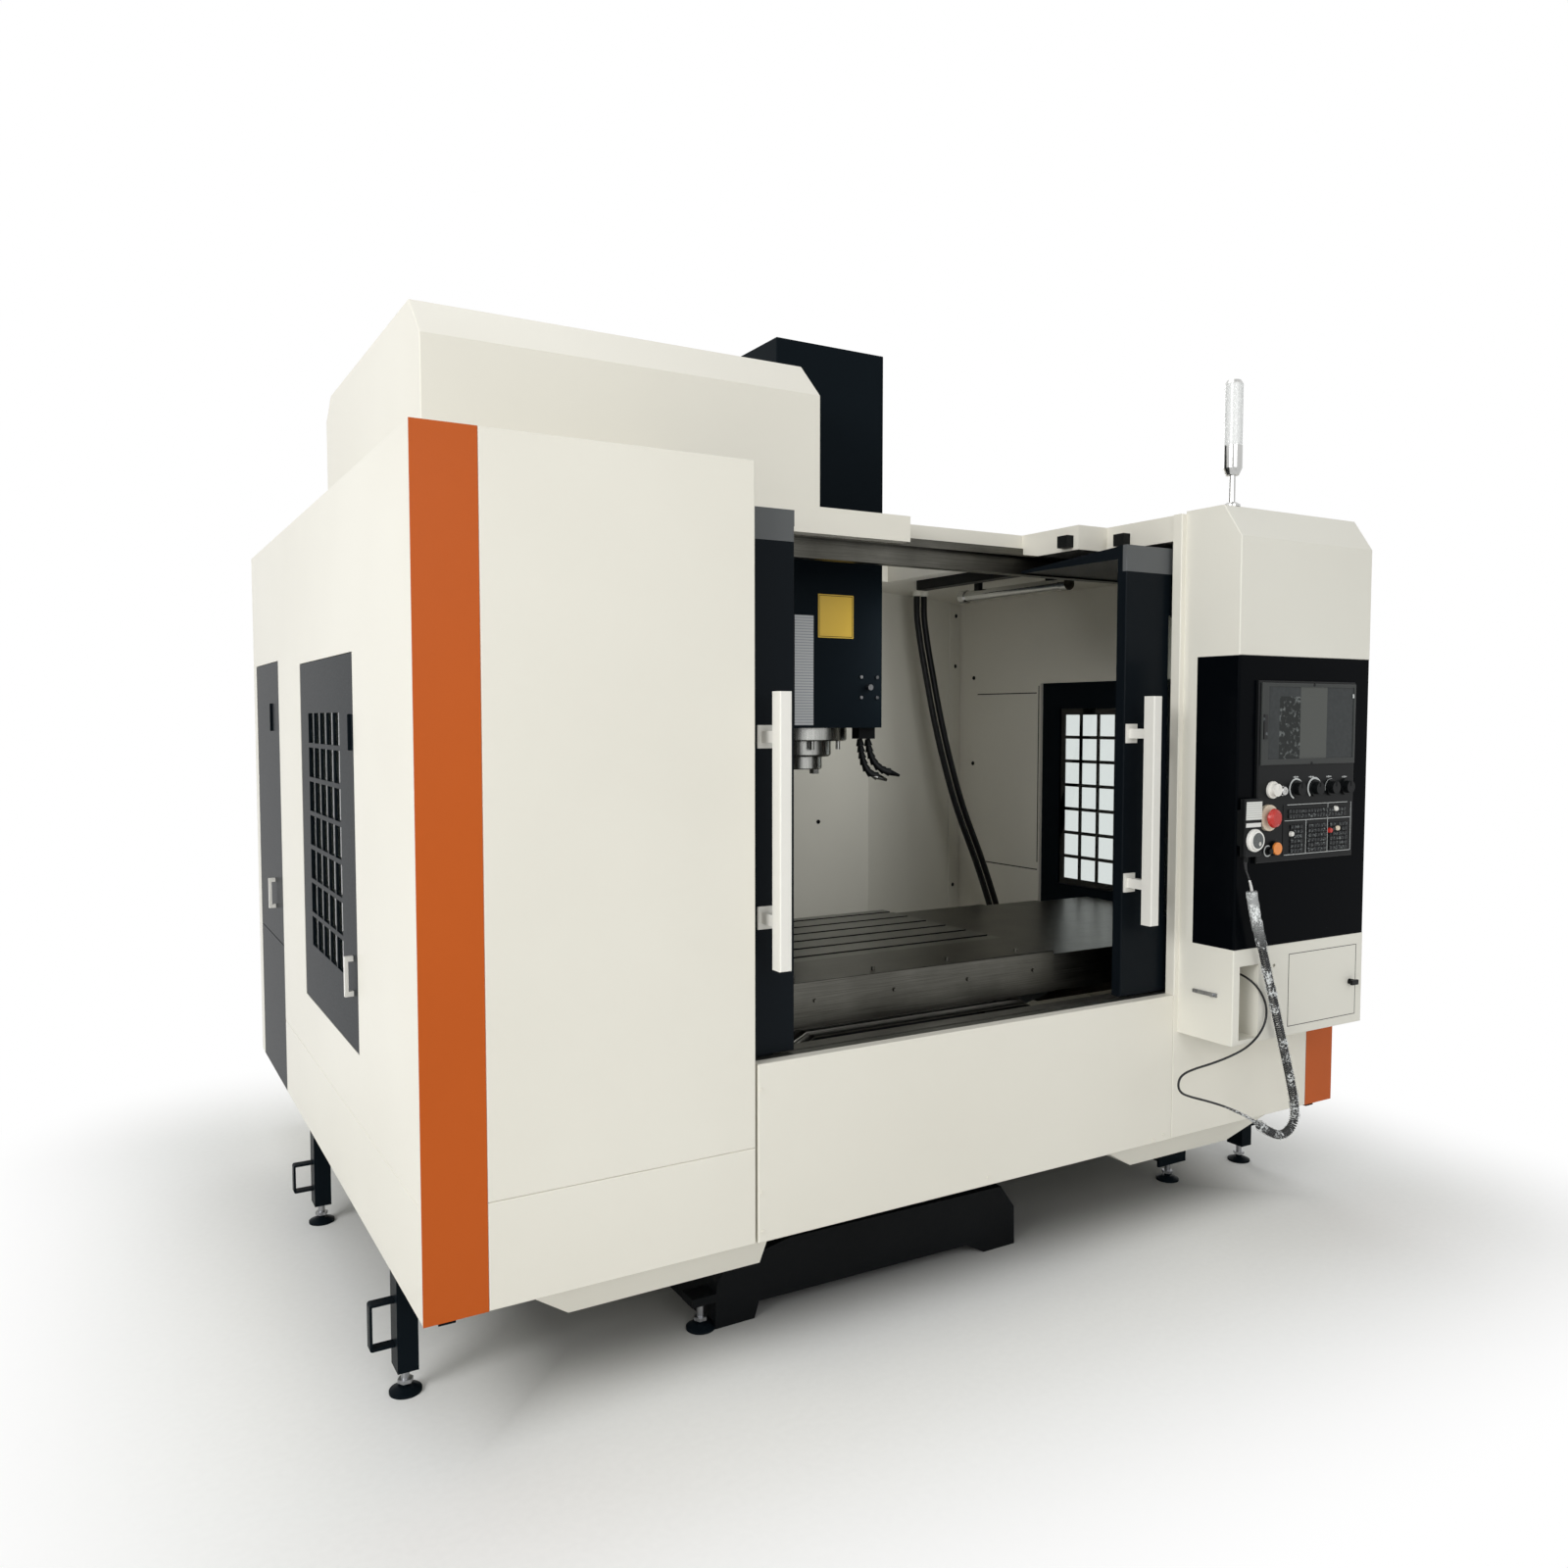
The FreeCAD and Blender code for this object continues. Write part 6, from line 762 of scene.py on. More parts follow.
def ringed_tube(name, points, radius, sides, made):
    """Closed tube round a line; radius is a function of the ring's number and the angle."""
    vertices = []
    for i, (point, forward, side, up) in enumerate(frames(points)):
        for k in range(sides):
            angle = 2 * math.pi * k / sides
            spoke = math.cos(angle) * side + math.sin(angle) * up
            vertices.append(point + radius(i, angle) * spoke)
    return mesh_piece(name, vertices, tube_faces(len(points), sides), made)


# %% [markdown]
# The sleeve is a tube of film, crushed a millimetre or two in and out by a smooth noise. Inside
# it runs the curly cord, a helix of thin cable: its turns are the dark pattern that shows
# through.

# %% Film sleeve and curly core
SLEEVE_STEP, SLEEVE_SIDES = 6.0, 28
CRUSH = 1.92                 # mm in or out
SHRINK = 0.3                 # mm that the crushed film is smaller all round
DENTS_ALONG, DENTS_ROUND = 0.45, 1.7     # steps through the noise for each ring, and round one
CORE_RADIUS = 9.6            # from the helix's axis to the cable's own middle
CORE_WIRE = 4.6
CORE_PITCH = 6.4
CORE_STEPS, CORE_SIDES = 14, 6           # rings of the cable for each turn, and sides of a ring

sleeve_rings = spaced(curly_line, mm(SLEEVE_STEP))


def crushed(i, angle):
    """Radius of the sleeve, in metres, with the film's dents."""
    probe = Vector((i * DENTS_ALONG, DENTS_ROUND * math.cos(angle), DENTS_ROUND * math.sin(angle)))
    return mm(SLEEVE_DIAMETER / 2 + CRUSH * noise.noise(probe) - SHRINK)


sleeve = ringed_tube("film_sleeve", sleeve_rings, crushed, SLEEVE_SIDES, film)

core_line = spaced(curly_line, mm(CORE_PITCH / CORE_STEPS))
core_points = []
for i, (point, forward, side, up) in enumerate(frames(core_line)):
    angle = 2 * math.pi * i / CORE_STEPS
    core_points.append(point + mm(CORE_RADIUS) * (math.cos(angle) * side + math.sin(angle) * up))
core = ringed_tube("curly_core", core_points, lambda i, angle: mm(CORE_WIRE / 2), CORE_SIDES,
                   cable_rubber)
print("sleeve rings", len(sleeve_rings), "core turns", len(core_points) // CORE_STEPS)

# %% [markdown]
# The two thin leads are bevelled curves. Small tapered pieces carry them where they leave
# something: a moulded strain relief under the panel, a crimped silver tip above the sleeve,
# another relief where the sleeve ends and one in front of the plug. Grooves near the thick end
# let a relief bend. Past the sleeve's end the empty film trails along the lead, flat and ever
# thinner.

# %% Leads, reliefs and the film's tail
upper = cord_curve("upper_lead", UPPER_LEAD, mm(LEAD_DIAMETER / 2))
lower = cord_curve("lower_lead", LOWER_LEAD, mm(LEAD_DIAMETER / 2))
for lead in (upper, lower):
    lead.data.materials.append(cable_rubber)
    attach(lead, "machine")


TAPER_STEP, TAPER_SIDES = 2, 20
GROOVES, GROOVE_DEPTH = (2, 4, 6), 0.5   # rings that are smaller, and by how much, mm


def taper(name, line, start, end, thick, thin, made):
    """Tapered piece round a line between two distances along it, all in millimetres."""
    rings = spaced(line, mm(TAPER_STEP))[int(start / TAPER_STEP):int(end / TAPER_STEP) + 1]

    def radius(i, angle):
        full = (thick + (thin - thick) * i / (len(rings) - 1)) / 2
        return mm(full - GROOVE_DEPTH * (i in GROOVES))

    return ringed_tube(name, rings, radius, TAPER_SIDES, made)


exit_relief = taper("exit_relief", upper_line, 0, 24, 11.0, 7.0, cable_rubber)
silver_tip = taper("silver_tip", upper_line, 50, 80, 8.0, 10.0, chrome_steel)
sleeve_relief = taper("sleeve_relief", lower_line, 0, 34, 13.0, 7.0, cable_rubber)
plug_relief = taper("plug_relief", list(reversed(lower_line)), 0, 30, 12.0, 7.0, cable_rubber)

TAIL_STEP, TAIL_RINGS, TAIL_SIDES = 5.0, 31, 20
TAIL_RADIUS, TAIL_THINNING = 11.5, 0.22  # mm at its start, and mm less with each ring
TAIL_FLATNESS = 0.45                     # share that it is thinner one way than the other
TAIL_CRUSH = 1.1


def trailing(i, angle):
    """Radius of the film's tail, in metres."""
    dent = noise.noise(Vector((i * 0.6, 2 * math.cos(angle), 2 * math.sin(angle))))
    flat = (TAIL_RADIUS - TAIL_THINNING * i) * (1 - TAIL_FLATNESS * abs(math.sin(angle)))
    return mm(flat + TAIL_CRUSH * dent)


tail = ringed_tube("film_tail", spaced(lower_line, mm(TAIL_STEP))[:TAIL_RINGS], trailing,
                   TAIL_SIDES, film)
print("film tail", (TAIL_RINGS - 1) * TAIL_STEP, "mm long")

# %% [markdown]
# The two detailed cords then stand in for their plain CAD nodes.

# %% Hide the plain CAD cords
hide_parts("coiled_cable")
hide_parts("loop_cable")
print("cords: curly 0.841 m, upper lead 0.082 m, lower lead 0.917 m")

# %% [markdown]
# ## Small round and square caps
# Keys, buttons and screw heads are the same thing many times: a low cap standing on a surface. A
# Geometry Nodes tree makes them all. Its input mesh is only a set of points, each with the
# direction that its cap faces; the tree puts a cone on every point, turns it to that direction,
# makes the copies real and gives them their material.

# %% The tree for caps
def caps_tree():
    """Geometry Nodes tree that stands a low cone on each point of its input."""
    tree = bpy.data.node_groups.new("caps_on_points", "GeometryNodeTree")
    sockets = (("Geometry", "NodeSocketGeometry"), ("Sides", "NodeSocketInt"),
               ("Radius", "NodeSocketFloat"), ("Top radius", "NodeSocketFloat"),
               ("Height", "NodeSocketFloat"), ("Turn", "NodeSocketFloat"),
               ("Material", "NodeSocketMaterial"))
    for name, kind in sockets:
        tree.interface.new_socket(name, in_out="INPUT", socket_type=kind)
    tree.interface.new_socket("Geometry", in_out="OUTPUT", socket_type="NodeSocketGeometry")
    given = add(tree, "NodeGroupInput").outputs
    points = add(tree, "GeometryNodeMeshToPoints", {"Mesh": given["Geometry"]}).outputs[0]
    cone = add(tree, "GeometryNodeMeshCone",
               {"Vertices": given["Sides"], "Radius Top": given["Top radius"],
                "Radius Bottom": given["Radius"], "Depth": given["Height"]}).outputs["Mesh"]
    spin = add(tree, "ShaderNodeCombineXYZ", {2: given["Turn"]}).outputs[0]
    turned = add(tree, "GeometryNodeTransform", {"Geometry": cone, "Rotation": spin}).outputs[0]
    facing = add(tree, "GeometryNodeInputNamedAttribute", {"Name": "facing"},
                 data_type="FLOAT_VECTOR").outputs[0]
    aimed = add(tree, "FunctionNodeAlignRotationToVector", {"Vector": facing}, axis="Z").outputs[0]
    stood = add(tree, "GeometryNodeInstanceOnPoints",
                {"Points": points, "Instance": turned, "Rotation": aimed}).outputs[0]
    real = add(tree, "GeometryNodeRealizeInstances", {"Geometry": stood}).outputs[0]
    covered = add(tree, "GeometryNodeSetMaterial",
                  {"Geometry": real, "Material": given["Material"]}).outputs[0]
    add(tree, "NodeGroupOutput", {"Geometry": covered})
    return tree


def grow(name, seeds, vectors, tree, values, body="machine"):
    """Plain mesh grown by a tree from seed points in the drawing's millimetres.

    vectors gives the named vector attribute of the seeds, one vector for each of them."""
    mesh = bpy.data.meshes.new(name)
    mesh.from_pydata([tuple(at(*seed)) for seed in seeds], [], [])
    for key, items in vectors.items():
        layer = mesh.attributes.new(key, "FLOAT_VECTOR", "POINT")
        layer.data.foreach_set("vector", [c for item in items for c in item])
    seed_piece = placed(name + "_seeds", mesh)
    grower = seed_piece.modifiers.new("grow", "NODES")
    grower.node_group = tree
    for item in tree.interface.items_tree:
        if item.in_out == "INPUT" and item.name in values:
            grower[item.identifier] = values[item.name]
    seen = seed_piece.evaluated_get(bpy.context.evaluated_depsgraph_get())
    grown = bpy.data.meshes.new_from_object(seen)
    seed_piece.modifiers.clear()
    bpy.data.objects.remove(seed_piece)
    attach(placed(name, grown), body)
    print(name, len(seeds), "seeds,", len(grown.polygons), "faces")


caps = caps_tree()
FRONT = (0.0, -1.0, 0.0)


def stand_caps(name, seeds, facing, sides, size, made, turn=0.0):
    """Caps on the seeds; size is the foot's radius, the top's radius and the height, mm."""
    radius, top, height = (mm(v) for v in size)
    grow(name, seeds, {"facing": facing}, caps,
         {"Sides": sides, "Radius": radius, "Top radius": top, "Height": height, "Turn": turn,
          "Material": made})

# %% [markdown]
# The keys of the operator panel stand in four groups. Each key is a low square cap with sloped
# sides, which catches a line of light along its upper edge. A few larger round buttons stand
# among them.

# %% Keys and buttons
KEY_GROUPS = (((893, 1142), (1190, 1222)), ((902, 962), (1096, 1176)),
              ((976, 1054), (1096, 1176)), ((1070, 1158), (1096, 1176)))
KEY_SIZE = 11.0
KEY_PITCH = 13.0
KEY_SHAPE = (7.4, 5.9, 2.2)  # half diagonals of the foot and the top, and the height
KEY_FACE_Y = -195.6
BUTTON_SHAPE = (7.6, 6.2, 7.0)
BUTTON_Y = -193.8
BUTTON_ROOM = 12.0           # no key stands closer than this to a button's middle
BUTTONS = {abs_white: [(905, 1148), (1094, 1210)], red_cap: [(1071, 1150)],
           cream_cap: [(1103, 1155)]}

round_places = [place for places in BUTTONS.values() for place in places]
key_seeds = []
for (left, right), (low, high) in KEY_GROUPS:
    for row in range(max(1, int((high - low) // KEY_PITCH))):
        for column in range(int((right - left) // KEY_PITCH)):
            x = left + column * KEY_PITCH + KEY_SIZE / 2
            z = low + row * KEY_PITCH + KEY_SIZE / 2
            if all(math.dist((x, z), place) > BUTTON_ROOM for place in round_places):
                key_seeds.append((x, KEY_FACE_Y, z))
stand_caps("panel_keys", key_seeds, [FRONT] * len(key_seeds), 4, KEY_SHAPE, key_black,
           math.radians(45))
for made, places in BUTTONS.items():
    stand_caps("panel_buttons_" + made.name, [(x, BUTTON_Y, z) for x, z in places],
               [FRONT] * len(places), 24, BUTTON_SHAPE, made)

# %% [markdown]
# Screws hold the inner sheets and the panel frames. Seen from the front they are small dark
# heads, so a six-sided cap is enough.

# %% Screw heads
OBLIQUE = (0.3951, -0.9186, 0.0)     # the way that the strip on the slanted inner wall faces
wall_screws = [((1308, 1764, 1683), OBLIQUE), ((1311, 1765, 1896), OBLIQUE),
               ((1299, 1760, 749), OBLIQUE), ((1356, 1696, 1632), (-1, 0, 0)),
               ((1356, 1698, 1271), (-1, 0, 0)), ((454, 1500, 1075), FRONT)]
stand_caps("wall_screws", [p for p, _ in wall_screws], [f for _, f in wall_screws], 6, (9, 7.5, 4),
           abs_black)
stand_caps("screen_frame_screws", [(985, -198.6, 1552), (980, -198.6, 1339)], [FRONT] * 2, 12,
           (4.5, 3.8, 1.4), abs_black)

# %% [markdown]
# ## Printed lines
# The key groups are framed by printed lines, and short marks stand over the selectors. A second
# tree puts a block of a given size on each of its points, since lines differ only in place and
# size.

# %% The tree for lines
def lines_tree():
    """Geometry Nodes tree that puts a block on each point, as large as its size attribute."""
    tree = bpy.data.node_groups.new("blocks_on_points", "GeometryNodeTree")
    for name, kind in (("Geometry", "NodeSocketGeometry"), ("Material", "NodeSocketMaterial")):
        tree.interface.new_socket(name, in_out="INPUT", socket_type=kind)
    tree.interface.new_socket("Geometry", in_out="OUTPUT", socket_type="NodeSocketGeometry")
    given = add(tree, "NodeGroupInput").outputs
    points = add(tree, "GeometryNodeMeshToPoints", {"Mesh": given["Geometry"]}).outputs[0]
    block = add(tree, "GeometryNodeMeshCube", {"Size": (1.0, 1.0, 1.0)}).outputs["Mesh"]
    size = add(tree, "GeometryNodeInputNamedAttribute", {"Name": "size"},
               data_type="FLOAT_VECTOR").outputs[0]
    stood = add(tree, "GeometryNodeInstanceOnPoints",
                {"Points": points, "Instance": block, "Scale": size}).outputs[0]
    real = add(tree, "GeometryNodeRealizeInstances", {"Geometry": stood}).outputs[0]
    covered = add(tree, "GeometryNodeSetMaterial",
                  {"Geometry": real, "Material": given["Material"]}).outputs[0]
    add(tree, "NodeGroupOutput", {"Geometry": covered})
    return tree


blocks = lines_tree()


def lay_strips(name, strips, made, body="machine"):
    """Blocks of one material; each strip is its middle and its size, in the drawing's mm."""
    sizes = [[mm(v) for v in size] for _, size in strips]
    grow(name, [middle for middle, _ in strips], {"size": sizes}, blocks, {"Material": made}, body)


# %% [markdown]
# The lines round the key groups are such blocks, and so are the marks over the selectors and
# the small mark on the screen's frame.

# %% Lines and marks on the panel
LINE = 1.4                   # width of a printed line, mm
INK = 0.4                    # thickness of the print, drawn thicker than it is
FIELD_Y = -194.1             # just proud of the key field
PANEL_Y = -193.1             # just proud of the panel's plate
MARKS = ((-8, 3), (-2, 5), (4, 4), (9, 3))     # shift and height of the marks over a selector

level_lines = [(888, 1148, 1227), (878, 1164, 1184), (878, 1164, 1091)]
upright_lines = [(969, 1091, 1184), (1062, 1091, 1184), (1164, 1091, 1227), (1062, 1186, 1227)]
printed = [(((x0 + x1) / 2, FIELD_Y, z), (x1 - x0, INK, LINE)) for x0, x1, z in level_lines]
printed += [((x, FIELD_Y, (z0 + z1) / 2), (LINE, INK, z1 - z0)) for x, z0, z1 in upright_lines]
for x, z in ((922, 1302), (988, 1301), (1064, 1300), (1133, 1298)):
    printed += [((x + shift, PANEL_Y, z), (3.4, INK, tall)) for shift, tall in MARKS]
printed.append(((1157, -199.2, 1523), (6, 0.5, 11)))     # a small mark on the screen's frame
lay_strips("printed_lines", printed, print_white)

# %% [markdown]
# A thin dark border runs round the yellow plate on the head cover, just inside its edge. It moves
# with the head. Four strips make a rectangle, and the base door further on needs one too.

# %% Border of the yellow plate
def rectangle(x_span, z_span, y, width, depth):
    """Four strips round a rectangle that faces the front."""
    wide, tall = x_span[1] - x_span[0], z_span[1] - z_span[0]
    upright = [((x, y, sum(z_span) / 2), (width, depth, tall)) for x in x_span]
    return upright + [((sum(x_span) / 2, y, z), (wide, depth, width)) for z in z_span]


BORDER_WIDTH = 1.6
lay_strips("yellow_plate_border",
           rectangle((-46.0, 70.0), (1702.0, 1821.0), 699.4, BORDER_WIDTH, INK), abs_black, "head")

# %% [markdown]
# The inner sheets meet in thin dark seams. Drawn as strips a few millimetres wide, they read as
# the shadow gaps that they are.

# %% Seams of the inner walls
WALL_FACE_X = 1355.6
SEAM_WIDTH, SEAM_DEPTH = 4, 1.5
seams = [((WALL_FACE_X, 1490, 1562), (SEAM_DEPTH, 362, SEAM_WIDTH)),
         ((WALL_FACE_X, 1452, 860), (SEAM_DEPTH, 311, SEAM_WIDTH)),
         ((WALL_FACE_X, 1297, 1240), (SEAM_DEPTH, SEAM_WIDTH, 700))]
lay_strips("wall_seams", seams, abs_black)

# %% [markdown]
# The small door in the base box sits in a rebate, and the gap round it reads as one dark line. A
# thin dark strip on the edge of the rebate paints that line as the shade in the gap, and stays on
# the box when the door opens.

# %% Gap round the base door
GAP_SHADE_WIDTH, GAP_SHADE_DEPTH = 1.7, 0.6
# Painted shade: a thin dark strip round the rebate of the base door.
lay_strips("base_door_gap_shade",
           rectangle((924.1, 1220.9), (613.1, 813.9), -183.1, GAP_SHADE_WIDTH, GAP_SHADE_DEPTH), cable_rubber)

# %% [markdown]
# ## Scales and knobs
# Four of the selectors have a white scale printed round their upper left side. A scale is a flat
# band between two circles, raised by a fraction of a millimetre so that it lies on the plate.

# %% Scale bands
BAND_STEPS = 28
BAND_HALF = 0.3              # half the band's thickness


def scale_bands(name, bands, made):
    """Flat bands on the panel; each has its centre's x and z, two radii and two angles."""
    vertices, faces = [], []
    for x, z, inner, outer, start, end in bands:
        base = len(vertices)
        for i in range(BAND_STEPS + 1):
            angle = math.radians(start + (end - start) * i / BAND_STEPS)
            for y in (PANEL_Y + BAND_HALF, PANEL_Y - BAND_HALF):
                for radius in (inner, outer):
                    vertices.append(at(x + radius * math.cos(angle), y,
                                       z + radius * math.sin(angle)))
        for i in range(BAND_STEPS):
            a, b = base + 4 * i, base + 4 * (i + 1)
            faces += [(a, a + 1, b + 1, b), (a + 2, b + 2, b + 3, a + 3), (a, b, b + 2, a + 2),
                      (a + 1, a + 3, b + 3, b + 1)]
        last = base + 4 * BAND_STEPS
        faces += [(base, base + 2, base + 3, base + 1), (last, last + 1, last + 3, last + 2)]
    mesh_piece(name, vertices, faces, made, smooth=False)
    print(name, len(bands), "bands,", len(faces), "faces")


SELECTOR_Z = 1270.0
scale_bands("selector_scales",
            [(925, SELECTOR_Z, 24.5, 29, 40, 250), (1003, SELECTOR_Z, 24.5, 30, 30, 230),
             (1073, SELECTOR_Z, 18.5, 24, 20, 200), (1137, SELECTOR_Z, 18.5, 22, 60, 280)],
            print_white)

# %% [markdown]
# A turned part, such as a key switch or a knob, is a profile spun about its axis. The profile is
# a list of radii and of distances from the panel.

# %% Turned parts on the panel
PLATE_Y = -193.0             # face of the panel's plate
TURNED_SIDES = 32


def turned_part(name, x, z, profile, made):
    """Closed turned solid that stands out of the panel; profile is (radius, height) pairs."""
    turns = [2 * math.pi * k / TURNED_SIDES for k in range(TURNED_SIDES)]
    vertices = [at(x + r * math.cos(a), PLATE_Y - h, z + r * math.sin(a)) for r, h in profile
                for a in turns]
    mesh_piece(name, vertices, tube_faces(len(profile), TURNED_SIDES), made, smooth=False)
    print(name, 2 * max(r for r, _ in profile), "mm across")


turned_part("key_switch_barrel", 866, 1266,
            [(13, -0.5), (13, 3), (11.5, 4), (11.5, 10), (10, 11.5), (4, 11.5), (3.5, 10),
             (0.4, 10)], chrome_steel)
turned_part("small_knob", 812, 1106,
            [(12, -0.5), (12, 2), (9, 3), (8, 12), (6.5, 13.5), (0.4, 13.5)], abs_black)
turned_part("small_knob_scale", 812, 1106, [(15.5, -0.2), (15.5, 0.5), (12.4, 0.5), (12.4, -0.2)],
            print_white)

# %% [markdown]
# ## The corner strip inside
# A folded strip covers the joint between the slanted inner wall and the side wall. It is a long
# thin plate with a small bevel, so that its long edges catch the light.

# %% Corner strip
PLATE_BEVEL = 1.2


def upright_plate(name, start, end, low, high, thickness, made):
    """Bevelled upright plate between two plan points; it stands off to their left."""
    a, b = Vector((*start, 0)), Vector((*end, 0))
    out = Vector((b.y - a.y, a.x - b.x, 0)).normalized() * thickness
    corners = [a, b, b + out, a + out]
    vertices = [at(p.x, p.y, z) for z in (low, high) for p in corners]
    faces = [(0, 1, 2, 3), (4, 7, 6, 5), (0, 4, 5, 1), (1, 5, 6, 2), (2, 6, 7, 3), (3, 7, 4, 0)]
    piece = mesh_piece(name, vertices, faces, made, smooth=False)
    shape = bmesh.new()
    shape.from_mesh(piece.data)
    bmesh.ops.bevel(shape, geom=shape.edges[:], offset=mm(PLATE_BEVEL), segments=2, affect="EDGES")
    bmesh.ops.recalc_face_normals(shape, faces=shape.faces)
    shape.to_mesh(piece.data)
    shape.free()
    print(name, high - low, "mm tall,", len(piece.data.polygons), "faces")


upright_plate("wall_corner_strip", (1264, 1751), (1350, 1788), 615, 1940, 4.0, inner_coat_shaded)

# %% [markdown]
# ## The studio
# A large pale floor and a pale world light the machine from all sides. The camera sees both as
# white: Light Path tells the shader which rays come from the camera, and those are answered with
# white, while all the others are answered with the calmer light that the object needs. The floor
# keeps its shadow near the machine and melts into that white further out, so no horizon shows.
# Its paper is painted darker under the machine, a painted shadow there, which also sends less light
# back up. How far a point lies from the machine is worked out from its own coordinates: the part of
# them that reaches past the plan.

# %% Floor
FLOOR_HALF = 14.0            # metres
HALF_PLAN = (1.40, 1.15)     # half the machine's plan, metres
# Painted shadow: the paper is painted darker under the machine, from this far in.
PAINTED_SHADOW_UNDER = (-0.45, -0.08)       # metres past the plan's edge: darker paper further in than this
SHADOW_REACH = (0.05, 0.95)  # metres out from the plan: all shadow inside, plain white outside
PAPER_GRAIN_MM = 16.7


def background_rays(tree):
    """Output that is 1 for the rays that see the background: camera, glossy and transmission."""
    rays = add(tree, "ShaderNodeLightPath").outputs
    seen = add(tree, "ShaderNodeMath", {0: rays["Is Camera Ray"], 1: rays["Is Glossy Ray"]},
               operation="MAXIMUM").outputs[0]
    return add(tree, "ShaderNodeMath", {0: seen, 1: rays["Is Transmission Ray"]},
               operation="MAXIMUM").outputs[0]


def studio_floor():
    """Square floor, painted darker under the machine as shadow, that keeps the shadow near the
    machine and is white further out.
    """
    reach = FLOOR_HALF
    mesh = bpy.data.meshes.new("studio_floor")
    mesh.from_pydata([(-reach, -reach, 0), (reach, -reach, 0), (reach, reach, 0),
                      (-reach, reach, 0)], [], [(0, 1, 2, 3)])
    floor = placed("studio_floor", mesh)
    made, tree, place = blank("floor_paper")
    grain = add(tree, "ShaderNodeTexNoise",
                {"Vector": place, "Scale": 1000 / PAPER_GRAIN_MM, "Detail": 3.0}).outputs[0]
    flat = add(tree, "ShaderNodeVectorMath", {0: place}, operation="ABSOLUTE").outputs[0]
    past = add(tree, "ShaderNodeVectorMath", {0: flat, 1: (*HALF_PLAN, 0.0)},
               operation="SUBTRACT").outputs[0]
    sides = add(tree, "ShaderNodeSeparateXYZ", {0: past})
    edge = add(tree, "ShaderNodeMath", {0: sides.outputs[0], 1: sides.outputs[1]},
               operation="MAXIMUM").outputs[0]
    # Painted shadow: the paper turns dark grey under the machine.
    painted_shadow = add(tree, "ShaderNodeMapRange",
                {"Value": edge, "From Min": PAINTED_SHADOW_UNDER[0], "From Max": PAINTED_SHADOW_UNDER[1]},
                interpolation_type="SMOOTHSTEP").outputs[0]
    clean = add(tree, "ShaderNodeMix", {0: grain, 6: linear("#F0F0EE"), 7: linear("#F6F6F4")},
                data_type="RGBA")
    tone = add(tree, "ShaderNodeMix", {0: painted_shadow, 6: linear("#8E8E8C"), 7: clean.outputs[2]},
               data_type="RGBA")
    paper = add(tree, "ShaderNodeBsdfPrincipled", {"Base Color": tone.outputs[2], "Roughness": 0.9,
                                                   "Specular IOR Level": 0.1})
    white = add(tree, "ShaderNodeEmission", {"Color": (1, 1, 1, 1), "Strength": 1.0})
    out = add(tree, "ShaderNodeVectorMath", {0: past, 1: (0.0, 0.0, 0.0)},
              operation="MAXIMUM").outputs[0]
    past_by = add(tree, "ShaderNodeVectorMath", {0: out}, operation="LENGTH").outputs[1]
    far = add(tree, "ShaderNodeMapRange", {"Value": past_by, "From Min": SHADOW_REACH[0],
                                           "From Max": SHADOW_REACH[1]},
              interpolation_type="SMOOTHSTEP").outputs[0]
    share = add(tree, "ShaderNodeMath", {0: background_rays(tree), 1: far}, operation="MULTIPLY")
    both = add(tree, "ShaderNodeMixShader",
               {0: share.outputs[0], 1: paper.outputs[0], 2: white.outputs[0]})
    add(tree, "ShaderNodeOutputMaterial", {"Surface": both.outputs[0]})
    paint(floor, made)
    floor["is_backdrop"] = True
    print("floor", 2 * reach, "m across, white from", SHADOW_REACH[1], "m out")


studio_floor()

# %% [markdown]
# The broad key light stands far off to the left, so that the near and the far parts of the
# machine get nearly as much of it. A weak lamp inside stands for the light that falls in through
# the open roof.

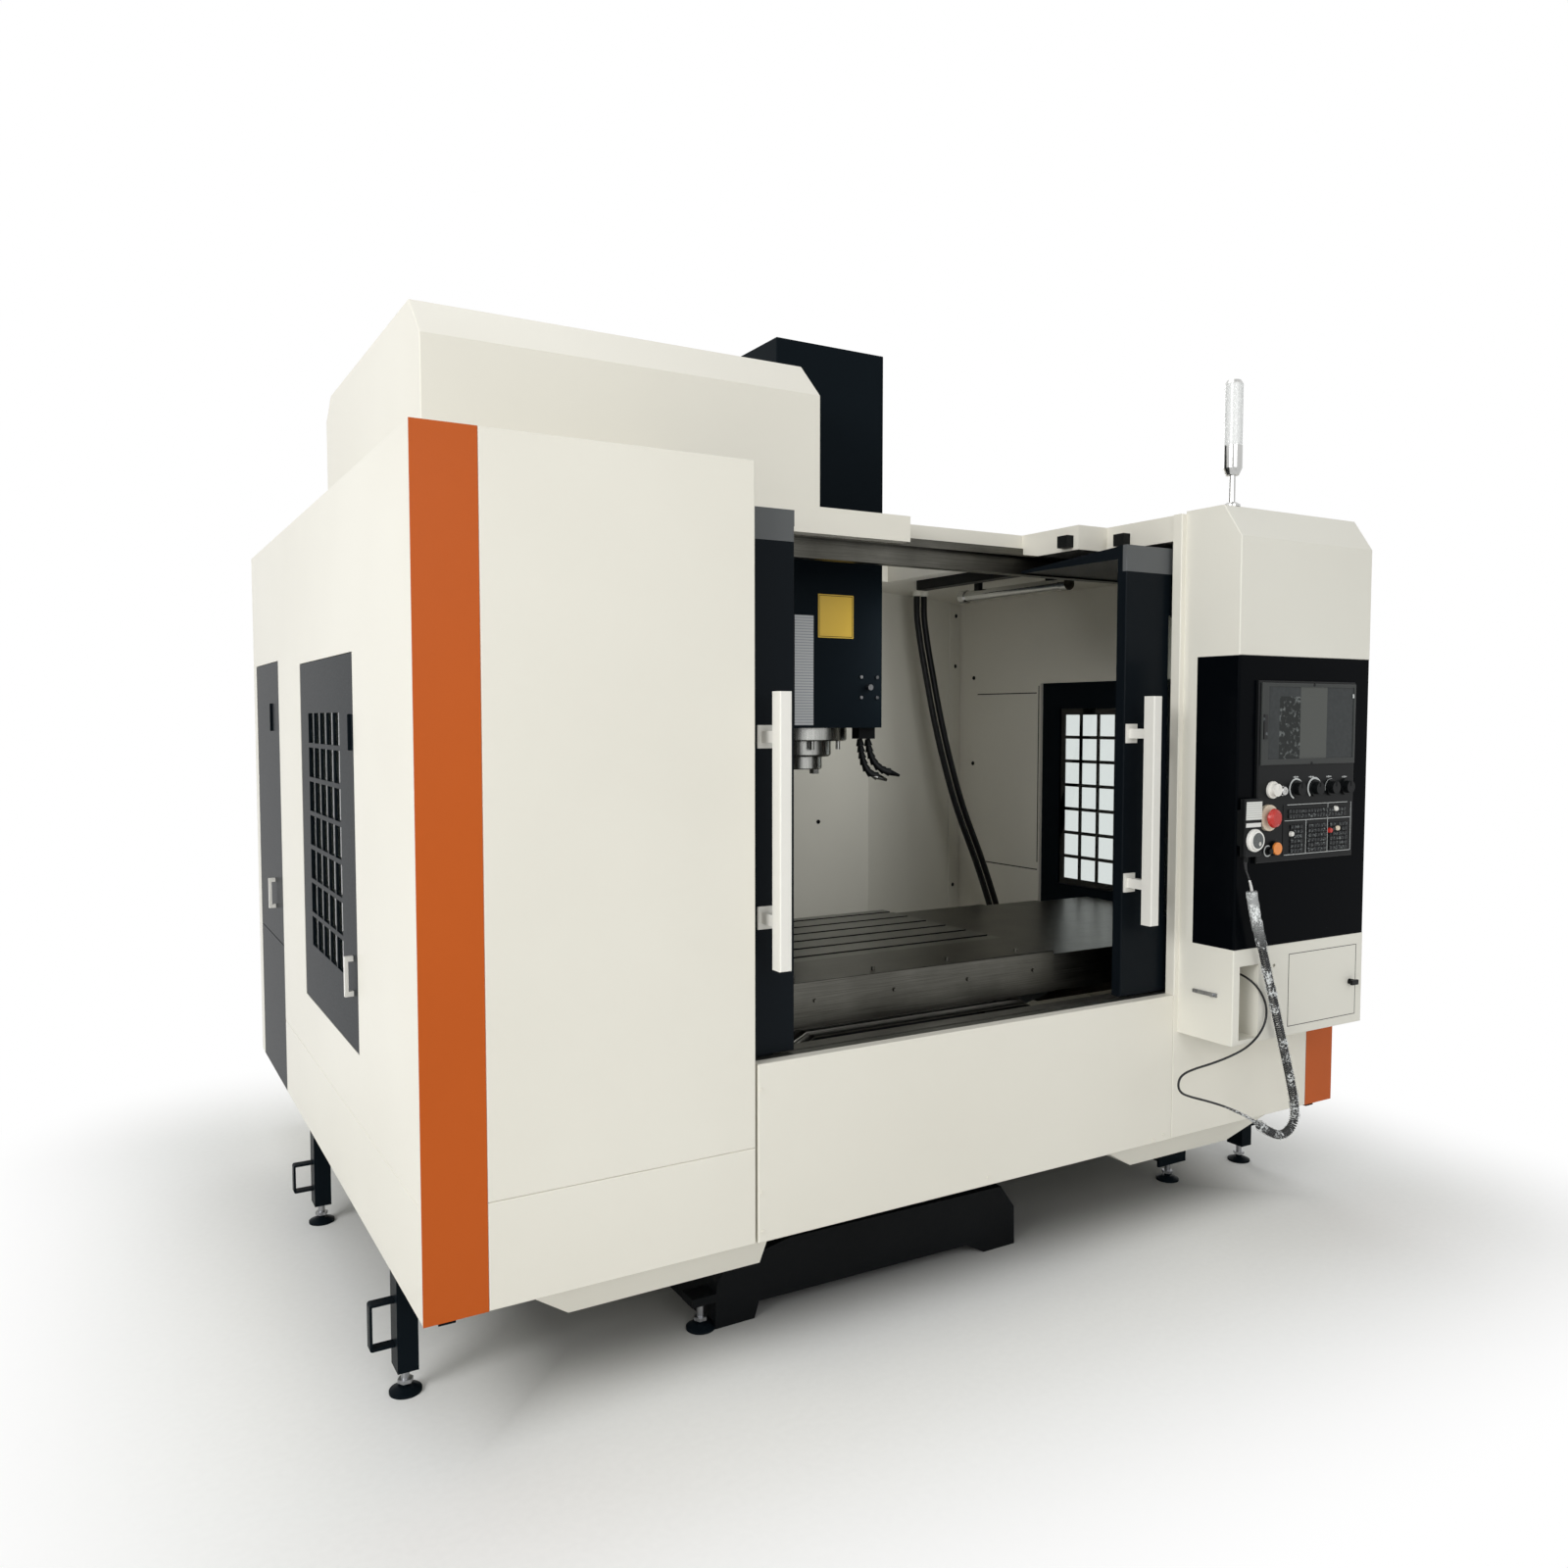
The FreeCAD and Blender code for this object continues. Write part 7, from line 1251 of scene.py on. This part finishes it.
# %% Lights
def area_light(name, place, target, size, power):
    """Soft white rectangular lamp that looks at a point; metres and watts."""
    data = bpy.data.lights.new(name, "AREA")
    data.shape = "RECTANGLE"
    data.size, data.size_y = size
    data.energy = power
    lamp = placed(name, data)
    turn = (Vector(target) - Vector(place)).to_track_quat("-Z", "Y")
    lamp.matrix_world = Matrix.Translation(place) @ turn.to_matrix().to_4x4()
    return lamp


area_light("key_light", (-9.0, -4.0, 4.6), (0, 0, 1.1), (4.0, 4.0), 470)
area_light("front_light", (-0.9, -6.2, 3.0), (0.2, 0, 1.0), (3.0, 2.5), 68)
area_light("top_light", (-0.8, 1.0, 8.0), (0, 0, 0), (5.0, 5.0), 85)
area_light("back_light", (3.0, 8.0, 4.0), (0, 0, 1.0), (4.0, 3.0), 190)
inside_light = area_light("inside_light", (0.50, -0.45, 1.66), (0.1, 0.6, 0.9), (0.5, 0.35), 3.4)
inside_light.visible_camera = False
inside_light.visible_glossy = False

# %% [markdown]
# The world is the soft light of a white room. The same rays that see the floor as white see the
# world as white, so glass and metal mirror the background that the picture shows. The Standard
# view transform shows each colour as it was written.

# %% World
WORLD_STRENGTH = 0.5

world = bpy.data.worlds.new("studio")
world.use_nodes = True
tree = world.node_tree
tree.nodes.clear()
soft = add(tree, "ShaderNodeBackground", {"Color": linear("#F6F8F8"), "Strength": WORLD_STRENGTH})
white = add(tree, "ShaderNodeBackground", {"Color": (1, 1, 1, 1), "Strength": 1.0})
both = add(tree, "ShaderNodeMixShader",
           {0: background_rays(tree), 1: soft.outputs[0], 2: white.outputs[0]})
add(tree, "ShaderNodeOutputWorld", {"Surface": both.outputs[0]})
bpy.context.scene.world = world
bpy.context.scene.view_settings.view_transform = "Standard"
print("world strength", WORLD_STRENGTH)

# %% [markdown]
# ## Sizes
# The box round the dressed machine, without the floor, is measured now and printed. The
# dressed machine must be no larger than its CAD model.

# %% Sizes, and the end
low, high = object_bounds()
print("visual box", [round(v, 3) for v in (*low, *high)])
